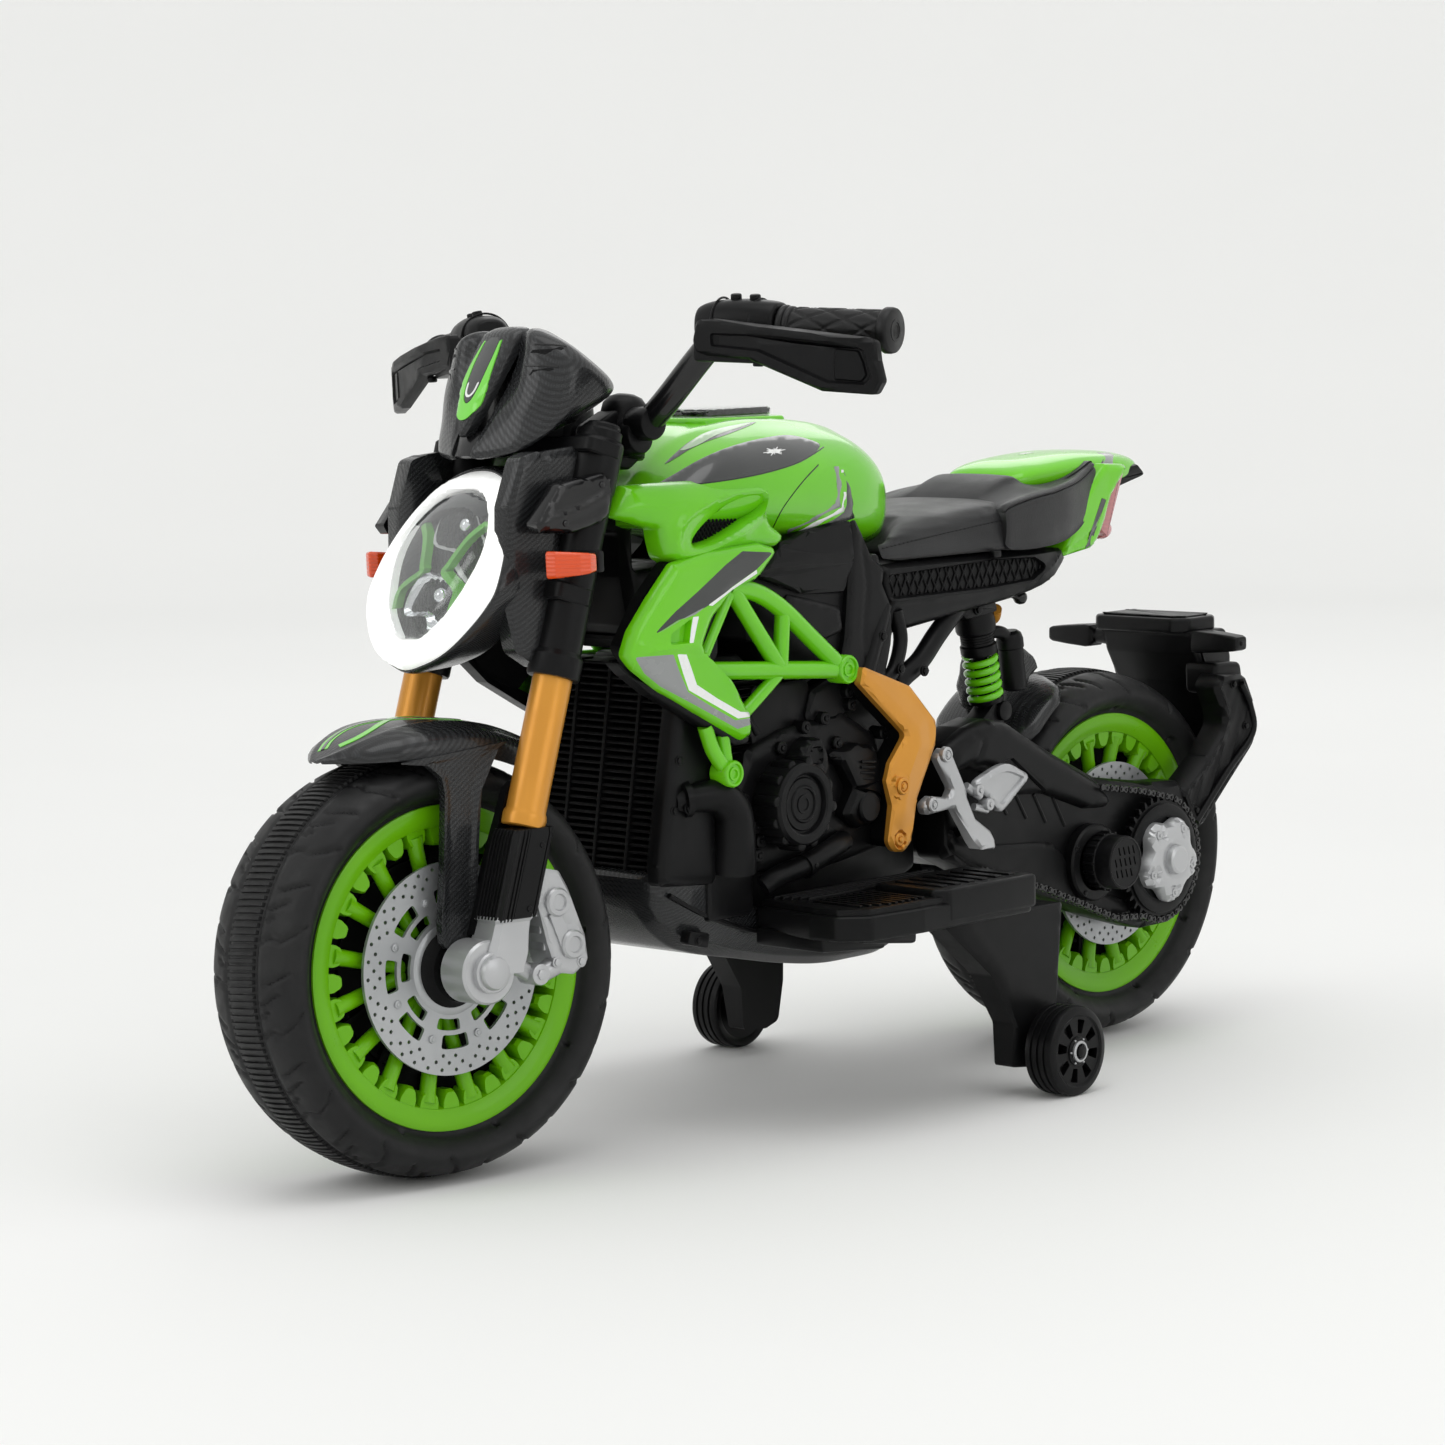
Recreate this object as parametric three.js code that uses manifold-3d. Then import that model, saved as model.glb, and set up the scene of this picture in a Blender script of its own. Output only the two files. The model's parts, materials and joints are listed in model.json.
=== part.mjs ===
// A child's battery ride-on motorcycle with stabiliser wheels, as an assembly of separate parts.
// Millimetres. +X is forwards, +Y is the rider's left, +Z is up. The origin is on the ground, under
// the rear axle, on the centre plane.
import * as THREE from "three";
import { mergeVertices } from "three/addons/utils/BufferGeometryUtils.js";
import Module from "manifold-3d";

const wasm = await Module();
wasm.setup();

// ---- Driving dimensions ----
const deg = THREE.MathUtils.degToRad;
const GAP = 0.3; // air between two parts that rest on each other
const WHEELBASE = 793;
const TYRE_RADIUS = 160;
const TYRE_HALF_WIDTH = 54;
const TYRE_FACETS = 32;
const RIM_RADIUS = 117; // where the tyre sits
const FLANGE_RADIUS = 122.4;
const RIM_HALF_WIDTH = 41;
const BEAD_HALF_WIDTH = 37.7;
const HUB_RADIUS = 34;
const SPOKES = 8;
const AXLE_RADIUS = 8;
const AXLE_BORE = 8.8;
const DISC_RADIUS = 80;
const RAKE = deg(17.9); // the fork and the steering axis lean back at the top
const STEER_AT_REST = deg(-7.9); // the front end is stored turned slightly to the right
const STEER_AXIS_X = 754.6; // the steering axis at axle height
const FORK_X = 781.3; // the fork tubes' centre line at axle height
const FORK_Y = 81;
const FORK_RADIUS = 14.5;
const SHROUD_RADIUS = 19;
const FORK_TOP_Z = 545;
const SHROUD_BOTTOM_Z = 378;
const LEG_TOP_Z = 262;
const LEG_RADIUS = 17;
const BAR_RADIUS = 11;
const GRIP_RADIUS = 15;
const ENGINE_HALF_WIDTH = 62;
const BODY_HALF_WIDTH = 80;
const TRELLIS_Y = 92;
const TRELLIS_RADIUS = 7;
const PANEL_INNER = 100; // side fairings and pivot plates stand outside the trellis
const ARM_INNER = 57;
const ARM_OUTER = 94;
const FOOTBOARD_OUTER = 190;
const FOOTBOARD_TOP = 186;
const STABILISER_RADIUS = 37;
const STABILISER_X = 246;
const STABILISER_INNER = 169;
const STABILISER_OUTER = 198;
const SIDES = [
  { name: "left", sign: 1 },
  { name: "right", sign: -1 },
];

// ---- Materials ----
const finish = (color, roughness, metalness = 0) => () =>
  new THREE.MeshStandardMaterial({ color, roughness, metalness });
const green = finish(0x62c81c, 0.18);
const blackSatin = finish(0x151617, 0.45);
const blackGloss = finish(0x0c0d0e, 0.2);
const rubber = finish(0x141414, 0.8);
const gold = finish(0xc98f3e, 0.32, 0.6);
const silver = finish(0xb4b5b8, 0.3, 0.7);
const leather = finish(0x121212, 0.6);
const amber = finish(0xe0501a, 0.2);
const red = finish(0xc01818, 0.2);
const clear = () =>
  new THREE.MeshStandardMaterial({ color: 0xe8f0f2, roughness: 0.05, transparent: true, opacity: 0.35 });

// ---- Shape helpers ----
const vec = (x, y, z) => new THREE.Vector3(x, y, z);

// A closed mesh geometry as a manifold solid.
function toSolid(geometry) {
  const bare = geometry.clone();
  bare.deleteAttribute("normal");
  bare.deleteAttribute("uv");
  const merged = mergeVertices(bare, 1e-4);
  const position = Float32Array.from(merged.attributes.position.array);
  const index = Uint32Array.from(merged.index.array);
  const solid = new wasm.Manifold(new wasm.Mesh({ numProp: 3, vertProperties: position, triVerts: index }));
  return solid;
}

// A manifold solid back as a geometry.
function toGeometry(solid) {
  const mesh = solid.getMesh();
  const geometry = new THREE.BufferGeometry();
  geometry.setAttribute("position", new THREE.BufferAttribute(new Float32Array(mesh.vertProperties), 3));
  geometry.setIndex(new THREE.BufferAttribute(new Uint32Array(mesh.triVerts), 1));
  geometry.computeVertexNormals();
  return geometry;
}

const join = (...parts) => toGeometry(parts.map(toSolid).reduce((sum, part) => sum.add(part)));
const cut = (body, ...tools) =>
  toGeometry(tools.map(toSolid).reduce((rest, tool) => rest.subtract(tool), toSolid(body)));

// A plate with a side outline of [x, z] points, filling y from one plane to another.
function plate(outline, yA, yB) {
  const shape = new THREE.Shape(outline.map(([x, z]) => new THREE.Vector2(x, z)));
  const depth = Math.abs(yB - yA);
  const geometry = new THREE.ExtrudeGeometry(shape, { depth, bevelEnabled: false, curveSegments: 6 });
  return geometry.rotateX(Math.PI / 2).translate(0, Math.max(yA, yB), 0);
}

function block(x0, x1, y0, y1, z0, z1) {
  const box = new THREE.BoxGeometry(x1 - x0, Math.abs(y1 - y0), z1 - z0);
  return box.translate((x0 + x1) / 2, (y0 + y1) / 2, (z0 + z1) / 2);
}

// A round bar from a to b. Profile steps, as [distance, radius], let it change radius on the way.
function turned(a, b, steps, sides = 16) {
  const profile = steps.map(([along, radius]) => new THREE.Vector2(radius, along));
  profile.unshift(new THREE.Vector2(0, steps[0][0]));
  profile.push(new THREE.Vector2(0, steps[steps.length - 1][0]));
  const geometry = new THREE.LatheGeometry(profile, sides);
  const direction = b.clone().sub(a).normalize();
  const turn = new THREE.Quaternion().setFromUnitVectors(vec(0, 1, 0), direction);
  return geometry.applyQuaternion(turn).translate(a.x, a.y, a.z);
}

const rod = (a, b, radius, sides = 12) => turned(a, b, [[0, radius], [a.distanceTo(b), radius]], sides);

// A bar across the bike, along Y.
const crossBar = (x, z, y0, y1, radius, sides = 16) =>
  rod(vec(x, Math.min(y0, y1), z), vec(x, Math.max(y0, y1), z), radius, sides);

// A ring or disc turned about Y from a closed profile of [radius, y] points.
function wheelRing(profile, segments, x, z) {
  const points = profile.map(([radius, y]) => new THREE.Vector2(radius, y));
  points.push(points[0].clone());
  const geometry = new THREE.LatheGeometry(points, segments, Math.PI / segments);
  return geometry.translate(x, 0, z);
}

// A tube along a smooth curve through points.
function tube(points, radius, steps, sides = 10) {
  const circle = new THREE.Shape(new THREE.EllipseCurve(0, 0, radius, radius).getPoints(sides).slice(0, -1));
  const extrudePath = new THREE.CatmullRomCurve3(points, false, "centripetal");
  return new THREE.ExtrudeGeometry(circle, { steps, bevelEnabled: false, extrudePath });
}

// A closed body through rings of the same number of points, with flat ends.
function loft(rings) {
  const count = rings[0].length;
  const positions = rings.flat().flatMap((point) => [point.x, point.y, point.z]);
  const index = [];
  for (let ring = 0; ring < rings.length - 1; ring += 1) {
    for (let i = 0; i < count; i += 1) {
      const a = ring * count + i;
      const b = ring * count + ((i + 1) % count);
      index.push(a, b, b + count, a, b + count, a + count);
    }
  }
  const last = (rings.length - 1) * count;
  for (const [a, b, c] of capTriangles(rings[0])) index.push(c, b, a);
  for (const [a, b, c] of capTriangles(rings[rings.length - 1])) index.push(last + a, last + b, last + c);
  const geometry = new THREE.BufferGeometry();
  geometry.setAttribute("position", new THREE.Float32BufferAttribute(positions, 3));
  geometry.setIndex(index);
  if (signedVolume(geometry) < 0) {
    for (let i = 0; i < index.length; i += 3) [index[i], index[i + 1]] = [index[i + 1], index[i]];
    geometry.setIndex(index);
  }
  geometry.computeVertexNormals();
  return geometry;
}

// The triangles of a flat ring, wound as the ring is.
function capTriangles(ring) {
  const normal = vec(0, 0, 0);
  ring.forEach((point, i) => normal.add(point.clone().cross(ring[(i + 1) % ring.length])));
  normal.normalize();
  const across = Math.abs(normal.y) < 0.9 ? vec(0, 1, 0) : vec(1, 0, 0);
  const u = across.clone().cross(normal).normalize();
  const v = normal.clone().cross(u);
  const flat = ring.map((point) => new THREE.Vector2(point.dot(u), point.dot(v)));
  return THREE.ShapeUtils.triangulateShape(flat, []);
}

function signedVolume(geometry) {
  const at = (i) => vec().fromBufferAttribute(geometry.attributes.position, i);
  const index = geometry.index.array;
  let volume = 0;
  for (let i = 0; i < index.length; i += 3) {
    volume += at(index[i]).dot(at(index[i + 1]).cross(at(index[i + 2]))) / 6;
  }
  return volume;
}

// A symmetric body shell along X. Each station is [x, half width, bottom z, top z, squareness].
function shell(stations, points = 12) {
  return loft(
    stations.map(([x, halfWidth, bottom, top, power = 2.6]) => {
      const ring = [];
      for (let i = 0; i < points; i += 1) {
        const angle = ((i + 0.5) / points) * 2 * Math.PI;
        const bulge = (value) => Math.sign(value) * Math.abs(value) ** (2 / power);
        const y = halfWidth * bulge(Math.cos(angle));
        const z = (bottom + top) / 2 + ((top - bottom) / 2) * bulge(Math.sin(angle));
        ring.push(vec(x, y, z));
      }
      return ring;
    }),
  );
}

// A channel that arches over a wheel: a profile of [radius, y] points swept about the axle.
function arch(profile, x, z, fromAngle, toAngle, steps) {
  const rings = [];
  for (let i = 0; i <= steps; i += 1) {
    const angle = fromAngle + ((toAngle - fromAngle) * i) / steps;
    const across = ([r, y]) => vec(x + r * Math.cos(angle), y, z + r * Math.sin(angle));
    rings.push(profile.map(across));
  }
  return loft(rings);
}

const regular = (x, z, radius, sides, start = 0) =>
  Array.from({ length: sides }, (_, i) => {
    const angle = start + (i / sides) * 2 * Math.PI;
    return [x + radius * Math.cos(angle), z + radius * Math.sin(angle)];
  });

// ---- Assembly helpers ----
const motorcycle = new THREE.Group();

function part(parent, name, geometry, material) {
  const mesh = new THREE.Mesh(geometry, material());
  mesh.name = name;
  parent.add(mesh);
}

// Everything that turns with the handlebar sits in a group turned about the raked steering axis.
const steerPoint = vec(STEER_AXIS_X, 0, TYRE_RADIUS);
const steerDirection = vec(-Math.sin(RAKE), 0, Math.cos(RAKE));
const turnedGroup = new THREE.Group();
turnedGroup.position.copy(steerPoint);
turnedGroup.quaternion.setFromAxisAngle(steerDirection, STEER_AT_REST);
const steering = new THREE.Group();
steering.position.copy(steerPoint).negate();
turnedGroup.add(steering);
motorcycle.add(turnedGroup);
const chassis = new THREE.Group();
motorcycle.add(chassis);

const slope = Math.tan(RAKE);
const forkAt = (y, z, ahead = 0) => vec(FORK_X - (z - TYRE_RADIUS) * slope + ahead, y, z);
const steerAt = (z) => vec(STEER_AXIS_X - (z - TYRE_RADIUS) * slope, 0, z);

// ---- Wheels ----
function tyre(parent, name, x) {
  const flat = TYRE_RADIUS / Math.cos(Math.PI / TYRE_FACETS); // the flats, not the corners, touch the ground
  const half = [
    [RIM_RADIUS + 1, BEAD_HALF_WIDTH],
    [FLANGE_RADIUS + 1.6, BEAD_HALF_WIDTH],
    [137, TYRE_HALF_WIDTH],
    [152, 40],
    [flat, 10],
  ];
  const lower = half.map(([radius, y]) => [radius, -y]);
  part(parent, name, wheelRing([...lower, ...half.reverse()], TYRE_FACETS, x, TYRE_RADIUS), rubber);
}

function rim(parent, name, x) {
  const barrel = [
    [103, -RIM_HALF_WIDTH],
    [FLANGE_RADIUS, -RIM_HALF_WIDTH],
    [FLANGE_RADIUS, -BEAD_HALF_WIDTH - GAP],
    [RIM_RADIUS, -BEAD_HALF_WIDTH - GAP],
    [RIM_RADIUS, BEAD_HALF_WIDTH + GAP],
    [FLANGE_RADIUS, BEAD_HALF_WIDTH + GAP],
    [FLANGE_RADIUS, RIM_HALF_WIDTH],
    [103, RIM_HALF_WIDTH],
  ];
  const hub = [
    [AXLE_BORE, -RIM_HALF_WIDTH],
    [HUB_RADIUS, -RIM_HALF_WIDTH],
    [HUB_RADIUS, RIM_HALF_WIDTH],
    [AXLE_BORE, RIM_HALF_WIDTH],
  ];
  const spokes = Array.from({ length: SPOKES }, (_, i) => {
    const angle = (i / SPOKES) * 2 * Math.PI;
    const spoke = block(HUB_RADIUS - 4, 106, -22, 22, -6, 6).rotateY(angle);
    return spoke.translate(x, 0, TYRE_RADIUS);
  });
  const ring = wheelRing(barrel, TYRE_FACETS, x, TYRE_RADIUS);
  part(parent, name, join(ring, wheelRing(hub, 16, x, TYRE_RADIUS), ...spokes), green);
}

function brakeDisc(parent, name, x, sign) {
  const profile = [
    [AXLE_BORE, sign * 41.5],
    [DISC_RADIUS, sign * 41.5],
    [DISC_RADIUS, sign * 44.5],
    [27, sign * 44.5],
    [27, sign * 56],
    [AXLE_BORE, sign * 56],
  ];
  if (sign < 0) profile.reverse();
  part(parent, name, wheelRing(profile, 20, x, TYRE_RADIUS), silver);
}

tyre(steering, "front_tyre", WHEELBASE);
rim(steering, "front_rim", WHEELBASE);
for (const side of SIDES) brakeDisc(steering, `front_disc_${side.name}`, WHEELBASE, side.sign);
tyre(chassis, "rear_tyre", 0);
rim(chassis, "rear_rim", 0);
brakeDisc(chassis, "rear_disc", 0, 1);

// ---- Front fork ----
const axleProfile = (end) => [
  [0, 14],
  [6, 14],
  [6, AXLE_RADIUS],
  [2 * end - 6, AXLE_RADIUS],
  [2 * end - 6, 14],
  [2 * end, 14],
];
const FRONT_AXLE_END = 103;
part(
  steering,
  "front_axle",
  turned(
    vec(WHEELBASE, -FRONT_AXLE_END, TYRE_RADIUS),
    vec(WHEELBASE, FRONT_AXLE_END, TYRE_RADIUS),
    axleProfile(FRONT_AXLE_END),
    20,
  ),
  silver,
);

for (const side of SIDES) {
  const y = side.sign * FORK_Y;
  const bottom = forkAt(y, LEG_TOP_Z + GAP);
  const top = forkAt(y, FORK_TOP_Z);
  const shroudStart = (SHROUD_BOTTOM_Z - LEG_TOP_Z) / Math.cos(RAKE);
  const steps = [
    [0, FORK_RADIUS],
    [shroudStart, FORK_RADIUS],
    [shroudStart, SHROUD_RADIUS],
    [bottom.distanceTo(top), SHROUD_RADIUS],
  ];
  part(steering, `fork_tube_${side.name}`, turned(bottom, top, steps), gold);
  part(steering, `fork_leg_${side.name}`, rod(forkAt(y, 195), forkAt(y, LEG_TOP_Z), LEG_RADIUS), blackSatin);

  // The axle carrier holds the axle's end and reaches back to the brake caliper.
  const inner = side.sign * 64;
  const outer = side.sign * 96;
  const hub = plate(regular(WHEELBASE, TYRE_RADIUS, 24, 16), inner, outer);
  const neck = plate([[760, 160], [800, 160], [790, 186], [754, 186]], inner, outer);
  const arms = plate([[716, 166], [790, 150], [780, 178], [716, 206]], side.sign * 72, side.sign * 90);
  const caliperOutline = [[693, 152], [714, 146], [728, 160], [733, 196], [722, 222], [700, 218]];
  const caliper = plate(caliperOutline, side.sign * 46, side.sign * 92);
  const bore = crossBar(WHEELBASE, TYRE_RADIUS, inner - 1 * side.sign, outer + 1 * side.sign, AXLE_RADIUS + GAP);
  part(steering, `axle_carrier_${side.name}`, cut(join(hub, neck, arms, caliper), bore), silver);

  const wedge = [[688, 101], [712, 101], [748, 106], [746, 117], [722, 137], [706, 134], [688, 116]];
  const low = wedge.map(([x, out]) => vec(x, side.sign * out, 446));
  const high = wedge.map(([x, out]) => vec(x, side.sign * out, 468));
  part(steering, `front_signal_${side.name}`, loft([low, high]), amber);
}

// The stem turns in the frame's neck between two crowns that clamp the fork tubes.
function crown(z, thickness) {
  const half = [[22, 60], [23.8, 103], [-8, 103], [-24, 92], [-46, 40], [-50, 0]];
  const mirror = half.slice(0, -1).reverse().map(([ahead, y]) => [ahead, -y]);
  const shape = new THREE.Shape([...half, ...mirror].map(([ahead, y]) => new THREE.Vector2(ahead, y)));
  const slab = new THREE.ExtrudeGeometry(shape, { depth: thickness, bevelEnabled: false });
  const centre = forkAt(0, z);
  return slab.rotateY(-RAKE).translate(centre.x, 0, centre.z);
}
const stemBar = rod(steerAt(424), steerAt(530), 13, 14);
const forkHoles = SIDES.map((side) =>
  rod(forkAt(side.sign * FORK_Y, 400), forkAt(side.sign * FORK_Y, 570), SHROUD_RADIUS + 1, 12),
);
const BAR_LOW = vec(597, 0, 549);
const riser = (y0, y1) => {
  const outline = [[600, 521], [640, 530], [634, 556], [612, 567], [590, 567], [581, 558], [581, 538], [590, 528]];
  return plate(outline, y0, y1);
};
const barBore = crossBar(BAR_LOW.x, BAR_LOW.z, -60, 60, BAR_RADIUS + GAP);
part(
  steering,
  "steering_stem",
  cut(join(crown(424, 14), crown(532, 12), stemBar, riser(22, 44), riser(-44, -22)), ...forkHoles, barBore),
  blackSatin,
);

// ---- Front fender, with stays that reach down beside the wheel to the fork legs ----
const fenderProfile = [
  [160, -57], [174, -53], [183, -36], [187, 0], [183, 36], [174, 53], [160, 57],
  [160, 54], [172, 50], [180, 34], [184, 0], [180, -34], [172, -50], [160, -54],
];
const stayOutline = [[744, 300], [742, 318], [806, 318], [806, 290], [800, 240], [792, 196], [776, 196], [764, 240]];
const stays = SIDES.map((side) => plate(stayOutline, side.sign * 55, side.sign * 62));
const fenderArch = arch(fenderProfile, WHEELBASE, TYRE_RADIUS, deg(69), deg(126), 8);
part(steering, "front_fender", join(fenderArch, ...stays), blackGloss);

// ---- Headlight ----
// The lamp's rim is an oval that leans back; its housing runs back from there to the fork.
const LAMP = { x: 752, z: 452, long: 86, wide: 73 };
const lampLean = Math.atan2(80, 146);
function lampRing(scale, ahead, count = 16) {
  const ring = [];
  for (let i = 0; i < count; i += 1) {
    const angle = (i / count) * 2 * Math.PI;
    const up = LAMP.long * scale * Math.sin(angle);
    const y = LAMP.wide * scale * Math.cos(angle);
    const x = LAMP.x - up * Math.sin(lampLean) + ahead * Math.cos(lampLean);
    ring.push(vec(x, y, LAMP.z + up * Math.cos(lampLean) + ahead * Math.sin(lampLean)));
  }
  return ring;
}
function lampBack(scale, ahead, count = 16) {
  return lampRing(scale, 0, count).map((point) => {
    const back = forkAt(point.y, point.z, ahead);
    return vec(back.x, point.y, point.z);
  });
}
part(
  steering,
  "headlight_housing",
  loft([lampBack(0.84, 26), lampBack(1, 33), lampRing(1.02, -8), lampRing(1, 0)]),
  blackGloss,
);
part(
  steering,
  "headlight_lens",
  loft([lampRing(0.98, GAP), lampRing(0.93, 7), lampRing(0.72, 14), lampRing(0.4, 18)]),
  clear,
);

// ---- Cowl over the headlight ----
part(
  steering,
  "cowl",
  shell([
    [636, 56, 578, 598, 2.4],
    [656, 72, 564, 611, 2.8],
    [684, 66, 552, 615, 3],
    [706, 50, 548, 610, 3],
    [726, 24, 548, 580, 2.4],
  ]),
  blackGloss,
);

// ---- Handlebar, hand controls and grips ----
const gripStart = vec(579, 167, 626);
const gripEnd = vec(535, 276, 617);
const gripDirection = gripEnd.clone().sub(gripStart).normalize();
const onGrip = (distance) => gripStart.clone().addScaledVector(gripDirection, distance);
const GRIP_LENGTH = gripStart.distanceTo(gripEnd);
const mirrored = (point, sign) => vec(point.x, point.y * sign, point.z);
const leftBar = [
  vec(BAR_LOW.x, 20, BAR_LOW.z),
  vec(BAR_LOW.x - 1, 50, BAR_LOW.z + 1),
  vec(595, 79, 568),
  vec(587, 115, 602),
  vec(582, 137, 621),
  onGrip(-8),
  onGrip(40),
  onGrip(GRIP_LENGTH - 8),
];
const barPoints = [...leftBar.map((point) => mirrored(point, -1)).reverse(), ...leftBar];
part(steering, "handlebar", tube(barPoints, BAR_RADIUS - 1, 36, 8), blackSatin);

for (const side of SIDES) {
  const at = (distance) => mirrored(onGrip(distance), side.sign);
  const bore = rod(at(-30), at(GRIP_LENGTH - 5), BAR_RADIUS + 1, 12);
  const grip = rod(at(36), at(GRIP_LENGTH + 3), GRIP_RADIUS, 14);
  part(steering, `grip_${side.name}`, cut(grip, bore), rubber);

  // Switch housing around the bar, with a fixed lever and guard in front of the grip.
  const housing = rod(at(-6), at(35), 20, 14);
  const guardRing = (distance, ahead, thick, low, high) => {
    const centre = at(distance);
    const x = centre.x + ahead;
    const corners = [[x + thick, low], [x + thick, high], [x - thick, high], [x - thick, low]];
    return corners.map(([cx, cz]) => vec(cx, centre.y, centre.z + cz));
  };
  const guard = loft([
    guardRing(-4, 22, 16, -24, 8),
    guardRing(20, 30, 12, -26, 4),
    guardRing(30, 40, 6, -30, 0),
    guardRing(92, 44, 5, -40, 2),
    guardRing(124, 38, 5, -40, 0),
  ]);
  part(steering, `hand_control_${side.name}`, cut(join(housing, guard), bore), blackSatin);
}

// ---- Main body core: neck, backbone under the tank and the shell below it ----
const neckOutline = [
  [500, 380], [582, 380], [598, 400], [606, 440], [606, 474], [628, 478], [612, 504], [590, 504],
  [588, 444], [500, 444],
];
const neck = rod(steerAt(462), steerAt(512), 26, 16);
const neckBore = rod(steerAt(440), steerAt(560), 14, 16);
const coreOutline = [[342, 348], [342, 444], [505, 444], [505, 382], [495, 382], [458, 348]];
part(
  chassis,
  "main_frame",
  cut(join(plate(coreOutline, -BODY_HALF_WIDTH, BODY_HALF_WIDTH), plate(neckOutline, -34, 34), neck), neckBore),
  blackSatin,
);

// ---- Engine block, hollow on top for the battery ----
const engineOutline = [
  [284, 180], [284, 300], [330, 346], [464, 346], [498, 376], [540, 376], [542, 206], [528, 161],
  [330, 161],
];
const sideCoverOutline = [[338, 206], [352, 296], [400, 326], [500, 326], [528, 300], [530, 230], [500, 200]];
const batteryBay = block(336, 491, -36, 36, 240, 350);
const engineBody = join(
  plate(engineOutline, -ENGINE_HALF_WIDTH, ENGINE_HALF_WIDTH),
  plate(sideCoverOutline, -82, 82),
  crossBar(474, 254, -100, 100, 33, 24),
  crossBar(398, 250, -93, 93, 26, 20),
);
part(chassis, "engine_block", cut(engineBody, batteryBay), blackSatin);
part(chassis, "battery", block(338, 489, -32.5, 32.5, 240 + GAP, 338), blackGloss);

const radiatorOutline = [[545, 206], [604, 206], [578, 374], [545, 374]];
part(chassis, "radiator", plate(radiatorOutline, -76, 76), blackSatin);

const bellyOutline = [
  [320, 160], [528, 160], [543, 205], [609, 205], [606, 178], [574, 146], [400, 113], [334, 113],
];
part(chassis, "belly_pan", plate(bellyOutline, -72, 72), blackGloss);

// ---- Tank cover with a raised display ----
const tank = shell([
  [308, 42, 446, 488, 2.6],
  [322, 58, 446, 518, 2.6],
  [350, 74, 448, 541, 2.6],
  [400, 88, 450, 552, 2.6],
  [470, 97, 456, 556, 2.6],
  [530, 99, 462, 551, 2.6],
  [558, 97, 467, 540, 2.8],
  [575, 94, 472, 522, 3],
]);
const shoulder = [[574, 474], [624, 482], [617, 508], [600, 514], [574, 516]];
const shoulders = SIDES.map((side) => plate(shoulder, side.sign * 46, side.sign * 93));
part(chassis, "tank_cover", join(tank, ...shoulders), green);
part(chassis, "tank_display", plate([[412, 556], [418, 565], [482, 565], [488, 556]], -24, 24), clear);

// ---- Side fairings, trellis frames and pivot plates ----
const fairingOutline = [
  [619, 453], [650, 424], [660, 388], [638, 360], [594, 339], [543, 313], [531, 316], [534, 334],
  [568, 369], [587, 387], [552, 429], [523, 436], [499, 458], [540, 464],
];
const trellisTubes = [
  [[543, 430], [483, 409]],
  [[483, 409], [413, 357]],
  [[580, 369], [413, 356]],
  [[543, 430], [490, 364]],
  [[485, 408], [488, 364]],
  [[540, 328], [490, 358]],
  [[543, 430], [580, 369]],
  [[580, 369], [572, 315]],
  [[572, 315], [550, 286]],
];
const pivotOutline = [
  [403, 358], [342, 337], [310, 306], [312, 288], [336, 245], [344, 213], [358, 205], [371, 211],
  [368, 245], [373, 265], [368, 277], [349, 299], [406, 344],
];
const pegOutline = [
  [301, 284], [308, 274], [290, 250], [296, 242], [324, 244], [326, 233], [284, 234], [262, 198],
  [243, 196], [252, 222], [228, 222], [194, 248], [224, 264], [264, 252],
];
for (const side of SIDES) {
  const y = side.sign * TRELLIS_Y;
  const inner = side.sign * PANEL_INNER;
  const outer = side.sign * (PANEL_INNER + 6);
  part(chassis, `side_fairing_${side.name}`, plate(fairingOutline, inner, outer), green);

  const bars = trellisTubes.map(([[ax, az], [bx, bz]]) => rod(vec(ax, y, az), vec(bx, y, bz), TRELLIS_RADIUS, 6));
  const joints = [[543, 430], [483, 409], [580, 369], [572, 315]];
  const knots = joints.map(([x, z]) => crossBar(x, z, y - TRELLIS_RADIUS, y + TRELLIS_RADIUS, TRELLIS_RADIUS, 8));
  const reach = [side.sign * 84, side.sign * 99];
  const bosses = [[413, 357], [550, 286]].map(([x, z]) => crossBar(x, z, ...reach, 10, 10));
  part(chassis, `trellis_frame_${side.name}`, join(...bars, ...knots, ...bosses), green);

  const bolts = [[359, 258], [358, 214]].map(([x, z]) => crossBar(x, z, outer, outer + side.sign * 4, 6, 12));
  const web = plate([[370, 326], [352, 336], [330, 300], [342, 290]], side.sign * 80.6, inner);
  part(chassis, `pivot_plate_${side.name}`, join(plate(pivotOutline, inner, outer), web, ...bolts), gold);

  const peg = plate(pegOutline, side.sign * 95, side.sign * 104);
  part(chassis, `footpeg_${side.name}`, peg, silver);
}

// ---- Seat and tail ----
const seatBaseOutline = [[338, 432], [332, 402], [282, 384], [150, 396], [98, 412], [98, 432]];
part(chassis, "seat_base", plate(seatBaseOutline, -76, 76), blackSatin);
part(
  chassis,
  "seat_cushion",
  shell([
    [303, 44, 433, 466, 4],
    [270, 66, 433, 469, 4],
    [220, 80, 433, 472, 4],
    [150, 80, 433, 475, 4],
    [98, 68, 436, 476, 4],
  ]),
  leather,
);
const tailHump = shell([
  [130, 28, 478, 490, 3],
  [108, 42, 478, 503, 3],
  [70, 46, 478, 509, 3],
  [30, 46, 478, 511, 3],
  [-20, 40, 478, 508, 3],
  [-58, 24, 482, 502, 3],
]);
const tailPanelOutline = [[92, 425], [42, 431], [13, 475], [-8, 498], [24, 500], [62, 484], [94, 440]];
const tailPanels = SIDES.map((side) => plate(tailPanelOutline, side.sign * 34, side.sign * 58));
const tailFill = block(14, 92, -35, 35, 434, 484);
part(chassis, "tail_cowl", join(tailHump, tailFill, ...tailPanels), green);
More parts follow.
